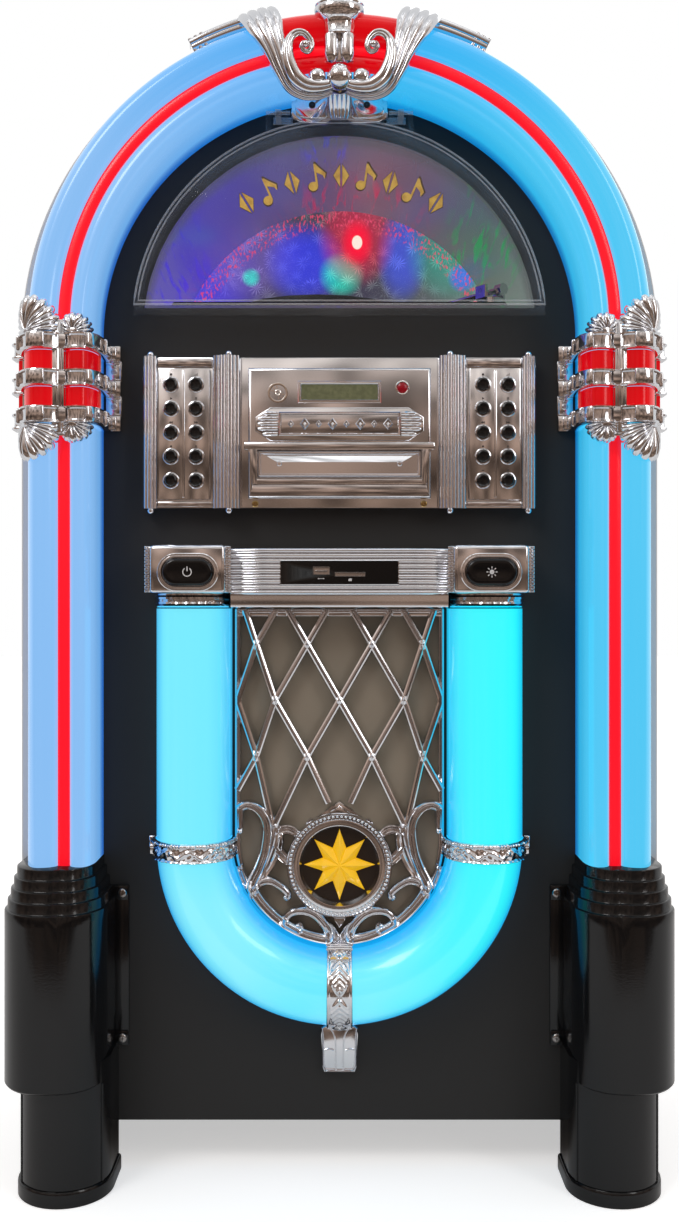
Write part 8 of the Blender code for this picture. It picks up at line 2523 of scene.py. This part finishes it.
def relief(place: Callable[[float, float, float], Vector], length: tuple[float, float], width: tuple[float, float],
           heights: Heights, steps: tuple[int, int]) -> bmesh.types.BMesh:
    """A cast band whose front rises and falls.

    Args:
        place: Gives the world point for a distance along, a height above the form, and a distance across.
        length: Where the band starts and ends along its form.
        width: Its two edges across.
        heights: The height of its front for shares along and across, both from 0 to 1.
        steps: How many faces it has along and across.

    Returns:
        The closed shape.
    """
    rows = []
    for i in range(steps[0] + 1):
        u = i / steps[0]
        along = length[0] + (length[1] - length[0]) * u
        loop = []
        for j in range(steps[1] + 1):
            v = j / steps[1]
            loop.append(place(along, heights(u, v), width[0] + (width[1] - width[0]) * v))
        loop += [place(along, 0.0001, width[1]), place(along, 0.0001, width[0])]
        rows.append(loop)
    return grid(rows, around=True, caps=True)


@dataclass
class Clips:
    """The cast clips that hold the U tube's legs, and the strap and tail at its bottom."""

    z: float = 0.2875
    half: float = 0.00875
    clearance: float = 0.0008
    strap_half: float = 0.0112
    tail_half: float = 0.0168
    tail_low: float = 0.0862
    tail_high: float = 0.1284
    sections: UTube = field(default_factory=UTube)

    def line(self) -> list[Point2]:
        """The U tube's section with a short run on the baffle at each side."""
        middle, half = (self.sections.outer + self.sections.inner) / 2, (self.sections.outer - self.sections.inner) / 2
        crown = [(middle - half * math.cos(math.pi * i / 60),
                  self.sections.spring + (self.sections.reach - self.sections.spring) * math.sin(math.pi * i / 60))
                 for i in range(61)]
        body = [(self.sections.inner, 0.0), (self.sections.inner, 0.006), *crown, (self.sections.outer, 0.006),
                (self.sections.outer, 0.0)]
        return offset(body, self.clearance)

    def flower(self, u: float, v: float) -> float:
        """The clip's relief: a rolled top edge with beads, a band of leaves and flowers, and a scalloped lower edge."""
        roll = max(0.0, 1 - ((v - 0.86) / 0.11) ** 2) ** 0.5
        bead = 0.75 + 0.25 * abs(math.sin(math.pi * 46 * u))
        wave = math.sin(math.pi * 2 * 6.5 * u)
        vine = max(0.0, 1 - ((v - 0.42 - 0.16 * wave) / 0.13) ** 2)
        petal = max(0.0, math.cos(math.pi * 2 * (13 * u) + 2.2) * math.cos(math.pi * (v - 0.40) * 2.0)) ** 0.8
        leaf = max(0.0, math.sin(math.pi * 2 * 13 * u + 9 * (v - 0.4))) * max(0.0, 1 - abs(v - 0.42) / 0.36)
        rim = max(0.0, 1 - ((v - 0.06) / 0.06) ** 2) ** 0.5 * (0.75 + 0.25 * abs(math.sin(math.pi * 26 * u)))
        return 0.0009 + 0.0030 * roll * bead + 0.0011 * vine + 0.0009 * petal + 0.0010 * leaf + 0.0016 * rim

    def clip(self) -> bmesh.types.BMesh:
        """The right clip with its two ears."""
        wrap = Wrap(self.line())
        band = relief(lambda along, lift, z: wrap.place(along, lift, z, 0.003), (0.0004, wrap.length - 0.0004),
                      (self.z - self.half, self.z + self.half), self.flower, (300, 22))
        shapes = [band]
        for x, way in ((self.sections.inner - self.clearance, -1), (self.sections.outer + self.clearance, 1)):
            reach = 0.0022 if way < 0 else 0.0072
            for low, high, out in ((-0.0085, 0.0035, 0.0042), (0.0022, 0.0085, 0.0060), (-0.0030, 0.0006, 0.0054)):
                span = sorted((x - way * 0.001, x + way * reach))
                shapes.append(block((span[0], span[1]), (SEAT, out), (self.z + low, self.z + high), 0.0009))
        return merged(*shapes)

    def leaves(self, u: float, v: float) -> float:
        """The strap's relief: leaves that point down its length between two raised edges."""
        across = abs(v - 0.5) * 2
        edge = max(0.0, 1 - ((across - 0.88) / 0.12) ** 2) ** 0.5
        spine = max(0.0, 1 - across / 0.22) ** 0.7
        phase = (u * 4.0) % 1.0
        outline = 0.80 * math.sin(math.pi * min(1.0, phase * 1.08)) ** 0.7
        inside = max(0.0, min(1.0, (outline - across) * 6))
        veins = 0.5 + 0.5 * math.sin(2 * math.pi * (7 * phase - 2.4 * across))
        return 0.0010 + 0.0014 * edge + inside * (0.0012 + 0.0008 * veins) + 0.0008 * spine * inside

    def strap(self) -> bmesh.types.BMesh:
        """The strap over the bottom of the tube."""
        wrap = Wrap(self.line())
        centre = self.sections.centre_z

        def place(along: float, lift: float, across: float) -> Vector:
            """A point over the strap's line, which runs down from the middle of the U."""
            spot = wrap.over(along, lift, 0.003)
            return at(across, spot.y, centre - spot.x)

        band = relief(place, (0.0006, wrap.length - 0.0006), (-self.strap_half, self.strap_half), self.leaves,
                      (220, 26))
        collar = []
        top = wrap.length * 0.10
        for along, half in ((top, 0.0118), (top + 0.0042, 0.0108), (top + 0.0080, 0.0114)):
            rows = []
            for k in range(13):
                share = -1 + 2 * k / 12
                lift = 0.0030 + 0.0012 * math.sqrt(max(0.0, 1 - share * share))
                rows.append([place(along + 0.0014 * math.sin(a), 0.0014 + lift * 0.5 + 0.0012 * math.cos(a),
                                   share * half)
                             for a in (2 * math.pi * m / 8 for m in range(8))])
            collar.append(grid(rows, around=True, caps=True))
        return merged(band, *collar)

    def tail(self) -> bmesh.types.BMesh:
        """The bracket under the strap, with mirrored raised panels."""
        half, low, high = self.tail_half, self.tail_low, self.tail_high
        outline = [(-half, high - 0.002), (-half * 0.96, high - 0.008), (-half * 0.93, low + 0.006),
                   (-half * 0.80, low + 0.001),
                   (half * 0.80, low + 0.001), (half * 0.93, low + 0.006), (half * 0.96, high - 0.008),
                   (half, high - 0.002), (half * 0.82, high), (-half * 0.82, high)]
        shapes = [slab(outline, SEAT, 0.0058, 0.0014)]
        line = [(a * 0.90, low + 0.0016 + (b - low) * 0.955) for a, b in outline]
        shapes.append(moulding(line, [0.0009] * len(line), 0.0048, [0.0027] * len(line), BAR_RIDGE, closed=True))
        for side in Side:
            way = side.value
            path = [(way * 12.4, 20.0, 0.8), (way * 8.0, 18.4, 0.9), (way * 4.6, 13.0, 0.9), (way * 3.4, 4.0, 0.9),
                    (way * 3.2, -8.0, 0.9), (way * 3.2, -19.0, 0.9)]
            middle = (0.0, (low + high) / 2)
            shapes.append(scrolled(path, 0.0048, 0.0034, BAR_RIDGE, middle))
            shapes.append(scrolled([(way * 5.0, -0.5, 0.8), (way * 9.0, 0.6, 0.9), (way * 13.0, -0.2, 0.8)], 0.0048,
                                   0.0034, BAR_RIDGE, middle))
            shapes.append(scrolled([(way * 4.6, -17.2, 0.7), (way * 12.6, -17.2, 0.7)], 0.0048, 0.0030, BAR_RIDGE,
                                   middle))
        return merged(*shapes)

    def build(self) -> None:
        """Builds the clips, strap and tail."""
        clip = self.clip()
        piece("clip_left", mirrored(clip.copy()), CHROME, Body.CABINET, ("left_clip",), sharp=60)
        piece("clip_right", clip, CHROME, Body.CABINET, ("right_clip",), sharp=60)
        piece("strap_look", self.strap(), CHROME, Body.CABINET, sharp=60)
        piece("tail_look", self.tail(), CHROME, Body.CABINET)


@dataclass
class Crown:
    """The cast crown over the top of the arch: a cupped column, volutes, fluted wings, a ball and a leaf foot."""

    tube_middle: float = 0.240
    inner: float = 0.209
    flange: float = 0.279
    light: LightArch = field(default_factory=LightArch)

    def spot(self, angle: float, radius: float, out: float) -> Vector:
        """The world point at an angle in degrees from the top of the arch."""
        turn = math.radians(angle)
        return at(radius * math.sin(turn), out, ARCH_Z + radius * math.cos(turn))

    def fluted(self, path: Sequence[tuple[float, float, float, float]], flutes: int, crown: float, groove: float,
               steps: int = 7, across_steps: int = 0, level: bool = False) -> bmesh.types.BMesh:
        """A broad fluted band over the tube.

        Args:
            path: (degrees from the top, radius in mm, out in mm, half width in mm).
            flutes: How many rounded ridges lie side by side.
            crown: How far its middle rises over its edges.
            groove: How deep the grooves between the ridges are.
            steps: How finely the path is rounded.
            across_steps: How many faces go across; 0 for eight a ridge.
            level: Whether it faces the viewer rather than away from the tube.

        Returns:
            The closed shape.
        """
        line = smooth(path, steps)
        points = [self.spot(angle, radius / 1000, out / 1000) for angle, radius, out, _ in line]
        count = across_steps or flutes * 8
        rows = []
        for i, (angle, radius, out, width) in enumerate(line):
            ahead = (points[min(i + 1, len(points) - 1)] - points[max(i - 1, 0)]).normalized()
            away = self.spot(angle, 1.0, 0.0) - self.spot(angle, 0.0, 0.0)
            away = Vector((away.x, 0.0, away.z)).normalized() * (radius / 1000 - self.tube_middle)
            facing = Vector((0, -1, 0)) if level else (away + Vector((0, -1, 0)) * max(0.012,
                                                                                       out / 1000 - 0.020)).normalized()
            across = ahead.cross(facing).normalized()
            facing = across.cross(ahead).normalized()
            facing = facing if level or facing.dot(away + Vector((0, -0.02, 0))) > 0 else -facing
            loop = []
            for k in range(count + 1):
                share = -1 + 2 * k / count
                ridge = abs(math.sin(math.pi * flutes * (share + 1) / 2)) ** 0.6
                lift = crown * math.sqrt(max(0.0, 1 - share * share)) + groove * ridge
                loop.append(points[i] + across * share * width / 1000 + facing * lift * min(1.0, width / 5))
            loop += [points[i] + across * share * width / 1000 * 0.96 - facing * 0.0006 for share in (1, -1)]
            rows.append(loop)
        return grid(rows, around=True, caps=True)

    def upright(self, profile: Sequence[Point2], out: float, flat: float, lobes: int = 0, depth: float = 0.0,
                steps: int = 48) -> bmesh.types.BMesh:
        """A turned upright shape.

        Args:
            profile: (radius, height) points.
            out: How far in front of the baffle its axis is.
            flat: Its depth as a share of its width.
            lobes: How many lobes its plan has.
            depth: How deep the lobes are, as a share of the radius.
            steps: How many faces go round it.

        Returns:
            The closed shape.
        """
        rows = []
        for radius, z in profile:
            ring = []
            for k in range(steps):
                angle = 2 * math.pi * k / steps
                reach = radius * (1 - depth + depth * abs(math.cos(lobes * angle / 2)) ** 0.5) if lobes else radius
                ring.append(at(reach * math.cos(angle), out + reach * math.sin(angle) * flat, z))
            rows.append(ring)
        return grid(rows, around=True, caps=True)

    def column(self) -> bmesh.types.BMesh:
        """The cup at the top, its banded neck and the two rounded fingers under it."""
        cup = [(0.0001, 1.0061), (0.0105, 1.0058), (0.0175, 1.0046), (0.0205, 1.0029), (0.0198, 1.0018),
               (0.0208, 1.0008),
               (0.0213, 0.9987), (0.0206, 0.9949), (0.0184, 0.9916), (0.0160, 0.9895), (0.0150, 0.9886),
               (0.0001, 0.9882)]
        neck = [(0.0001, 0.9892), (0.0138, 0.9892), (0.0142, 0.9882), (0.0134, 0.9874), (0.0128, 0.9832),
                (0.0125, 0.9782),
                (0.0132, 0.9770), (0.0138, 0.9760), (0.0130, 0.9748), (0.0001, 0.9746)]
        shapes = [self.upright(cup, 0.0560, 0.78), self.upright(neck, 0.0590, 0.85, 6, 0.05)]
        for side in Side:
            finger = [(0.0001, 0.9754), (0.0054, 0.9750), (0.0060, 0.9722), (0.0058, 0.9652), (0.0060, 0.9592),
                      (0.0052, 0.9552), (0.0034, 0.9524), (0.0001, 0.9514)]
            shape = self.upright(finger, 0.0650, 0.85, steps=20)
            bmesh.ops.translate(shape, verts=shape.verts, vec=(side.value * 0.0068, 0, 0))
            shapes.append(shape)
        shapes.append(block((-0.0118, 0.0118), (0.040, 0.0635), (0.9532, 0.9762), 0.0015))
        back = [(-0.0172, 0.9792), (0.0172, 0.9792), (0.0172, 1.0052), (0.0120, 1.0090), (-0.0120, 1.0090),
                (-0.0172, 1.0052)]
        shapes.append(slab(back, 0.0010, 0.0500, 0.0015))
        return merged(*shapes)

    def foot(self) -> bmesh.types.BMesh:
        """The leaf under the ball: two flat lobes with veins and a fluted tongue; the lobes' holes are not cut."""
        right = [(0.0070, 0.9234), (0.0120, 0.9206), (0.0250, 0.9209), (0.0345, 0.9216), (0.0412, 0.9246),
                 (0.0428, 0.9304),
                 (0.0405, 0.9364), (0.0415, 0.9454), (0.0330, 0.9494), (0.0180, 0.9514), (0.0070, 0.9514)]
        shapes = []
        for side in Side:
            outline = [(side.value * x, z) for x, z in right]
            shapes.append(slab(outline, 0.0024, 0.0150, 0.0014))
            inner = [(side.value * (0.024 + (x - 0.024) * 0.80), 0.9349 + (z - 0.9349) * 0.76) for x, z in right]
            shapes.append(slab(inner, 0.0140, 0.0172, 0.0012))
            for k, (x0, x1, low) in enumerate(((0.0042, 0.0160, 0.9246), (0.0072, 0.0250, 0.9334),
                                               (0.0100, 0.0330, 0.9414))):
                vein = [(side.value * 1000 * 0.0035, 953.4 - 2 * k, 1.6),
                        (side.value * 1000 * (x0 + x1) / 2, (0.9514 + low) * 500, 1.9),
                        (side.value * 1000 * x1, low * 1000, 0.8)]
                shapes.append(scrolled(vein, 0.0150, 0.0062, LEAF_RIDGE, (0.0, 0.0)))
        rows = []
        for i in range(15):
            u = i / 14
            z = 0.9225 + 0.0270 * u
            half = 0.0078 + 0.0030 * math.sin(math.pi * u)
            out = 0.0165 + 0.034 * u ** 1.8
            loop = []
            for k in range(41):
                share = -1 + 2 * k / 40
                ridge = abs(math.sin(math.pi * 5 * (share + 1) / 2)) ** 0.7
                loop.append(at(share * half, out + 0.0045 * math.sqrt(max(0.0, 1 - share * share)) + 0.0012 * ridge,
                               z))
            loop += [at(half, 0.0030, z), at(-half, 0.0030, z)]
            rows.append(loop)
        shapes.append(grid(rows, around=True, caps=True))
        return merged(*shapes)

    def build(self) -> None:
        """Builds the crown, its screw holes and the red panel under it."""
        wings, volutes = [], []
        main = [(2.4, 198.0, 59.0, 5.0), (5.2, 195.0, 61.0, 6.2), (8.6, 196.0, 63.0, 7.0), (11.3, 202.5, 65.0, 7.4),
                (12.7, 217.0, 67.0, 8.4), (13.3, 234.0, 68.0, 10.4), (13.9, 251.0, 66.0, 14.2),
                (14.3, 264.0, 59.0, 16.4),
                (14.6, 275.0, 44.0, 17.2), (14.8, 281.0, 28.0, 17.2), (15.0, 282.5, 14.0, 16.8)]
        strip = [(15.6, 275.4, 36.0, 6.2), (19.0, 275.6, 35.5, 6.0), (22.0, 275.8, 35.0, 5.8),
                 (25.0, 276.0, 34.5, 5.6),
                 (27.4, 276.2, 34.0, 5.4)]
        curl = [(1.6, 199.0, 66.0, 4.2), (4.7, 197.0, 67.0, 5.4), (7.9, 198.4, 68.5, 6.4), (10.1, 205.6, 70.0, 6.6),
                (11.0, 217.3, 71.0, 6.0), (10.9, 228.3, 71.0, 5.2), (10.0, 236.9, 71.0, 4.0), (8.6, 241.2, 70.5, 3.6),
                (7.1, 240.6, 70.0, 3.2), (6.0, 235.4, 69.5, 2.9), (5.8, 229.4, 69.5, 2.6), (6.6, 225.6, 69.5, 2.4),
                (7.5, 226.8, 69.8, 2.2), (7.9, 230.6, 70.2, 2.0), (7.3, 233.6, 70.4, 1.8)]
        for side in Side:
            wings.append(self.fluted([(side.value * a, r, o, w) for a, r, o, w in main], 4, 0.0035, 0.0022))
            wings.append(self.fluted([(side.value * a, r, o, w) for a, r, o, w in strip], 2, 0.0016, 0.0012,
                                     level=True))
            volutes.append(self.fluted([(side.value * a, r, o, w) for a, r, o, w in curl], 2, 0.0038, 0.0012, 6))
            for k, angle in enumerate((25.0, 26.1, 27.2)):
                rib = [(side.value * angle, 269.6 + 3.0 * j, 35.6 - k * 0.4, 1.7) for j in range(5)]
                wings.append(self.fluted(rib, 1, 0.0024, 0.0003, 3, level=True))
            edge = [(side.value * angle, 281.2, 21.5, 15.0) for angle in (15.0, 19.0, 23.0, 27.4)]
            wings.append(self.fluted(edge, 1, 0.0010, 0.0004))
        middle = 0.9384
        bulb = ball(0.0106, 28, 18)
        bmesh.ops.translate(bulb, verts=bulb.verts, vec=at(0, 0.068, middle))
        for side in Side:
            knob = ball(0.0074, 24, 14)
            bmesh.ops.translate(knob, verts=knob.verts, vec=at(side.value * 0.0186, 0.0665, middle + 0.0008))
            wings.append(knob)
        drop = self.upright([(0.0001, middle + 0.0135), (0.0022, middle + 0.0108), (0.0060, middle + 0.0070),
                             (0.0096, middle + 0.0020), (0.0098, middle - 0.0030), (0.0070, middle - 0.0090),
                             (0.0001, middle - 0.0110)], 0.0600, 0.8, 6, 0.10, 36)
        piece("crown_wings", merged(*wings), CHROME, Body.CABINET, ("crown",), sharp=50)
        piece("crown_volutes", merged(*volutes), CHROME, Body.CABINET, sharp=50)
        piece("crown_column", merged(self.column(), bulb, drop), CHROME, Body.CABINET, sharp=40)
        piece("crown_foot", self.foot(), CHROME, Body.CABINET, sharp=35)
        ends = [Spot(self.spot(side.value * 7.0, 0.2308, 0.0722)) for side in Side]
        Scatter.make("volute_bosses", dome(0.0031, 0.0034, 16, 5), ends, CHROME, Body.CABINET)
        holes = [Spot(at(side.value * 0.0238, 0.0173, 0.9356)) for side in Side]
        Scatter.make("crown_screws", screw_head(0.0030, 0.0010), holes, UMBER, Body.CABINET)
        line = [(radius, out) for radius, out in offset(self.light.glass(), 0.0018)
                if radius > 0.2125 and out > 0.012]
        under = [(radius, out - 0.0011) for radius, out in reversed(line)]
        rows = []
        for i in range(31):
            angle = -11.4 + 22.8 * i / 30
            rows.append([self.spot(angle, radius, out) for radius, out in line + under])
        piece("crown_panel", grid(rows, around=True, caps=True), RED_GLOW, Body.CABINET, ("crown_insert",))


def dress_rest() -> None:
    """Gives every CAD node that no piece stands for its own shape again, in its slot's finish."""
    finishes = {"chrome": CHROME, "black_plastic": PLASTIC, "black_vinyl": VINYL, "rubber": RUBBER,
                "dark_board": BOARD}
    for name, node in frame["nodes"].items():
        if name not in STANDS_FOR:
            kind = node.data.materials[0].name.split(".")[0] if node.data.materials else ""
            LOG.info("left over: %s in %s", name, kind)
            refined(name, finishes.get(kind, PLASTIC))


def main() -> None:
    """Builds the jukebox piece by piece."""
    Cabinet().build()
    LightArch().build()
    Window().build()
    RecordSpace().build()
    UTube().build()
    DiscUnit().build()
    ControlBar().build()
    Grille().build()
    Clips().build()
    Crown().build()
    Collar().build()
    Base().build()
    dress_rest()
    Studio().build()
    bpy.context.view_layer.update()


if __name__ == "__main__":
    logging.basicConfig(level=logging.INFO, format="%(name)s %(message)s")
    main()
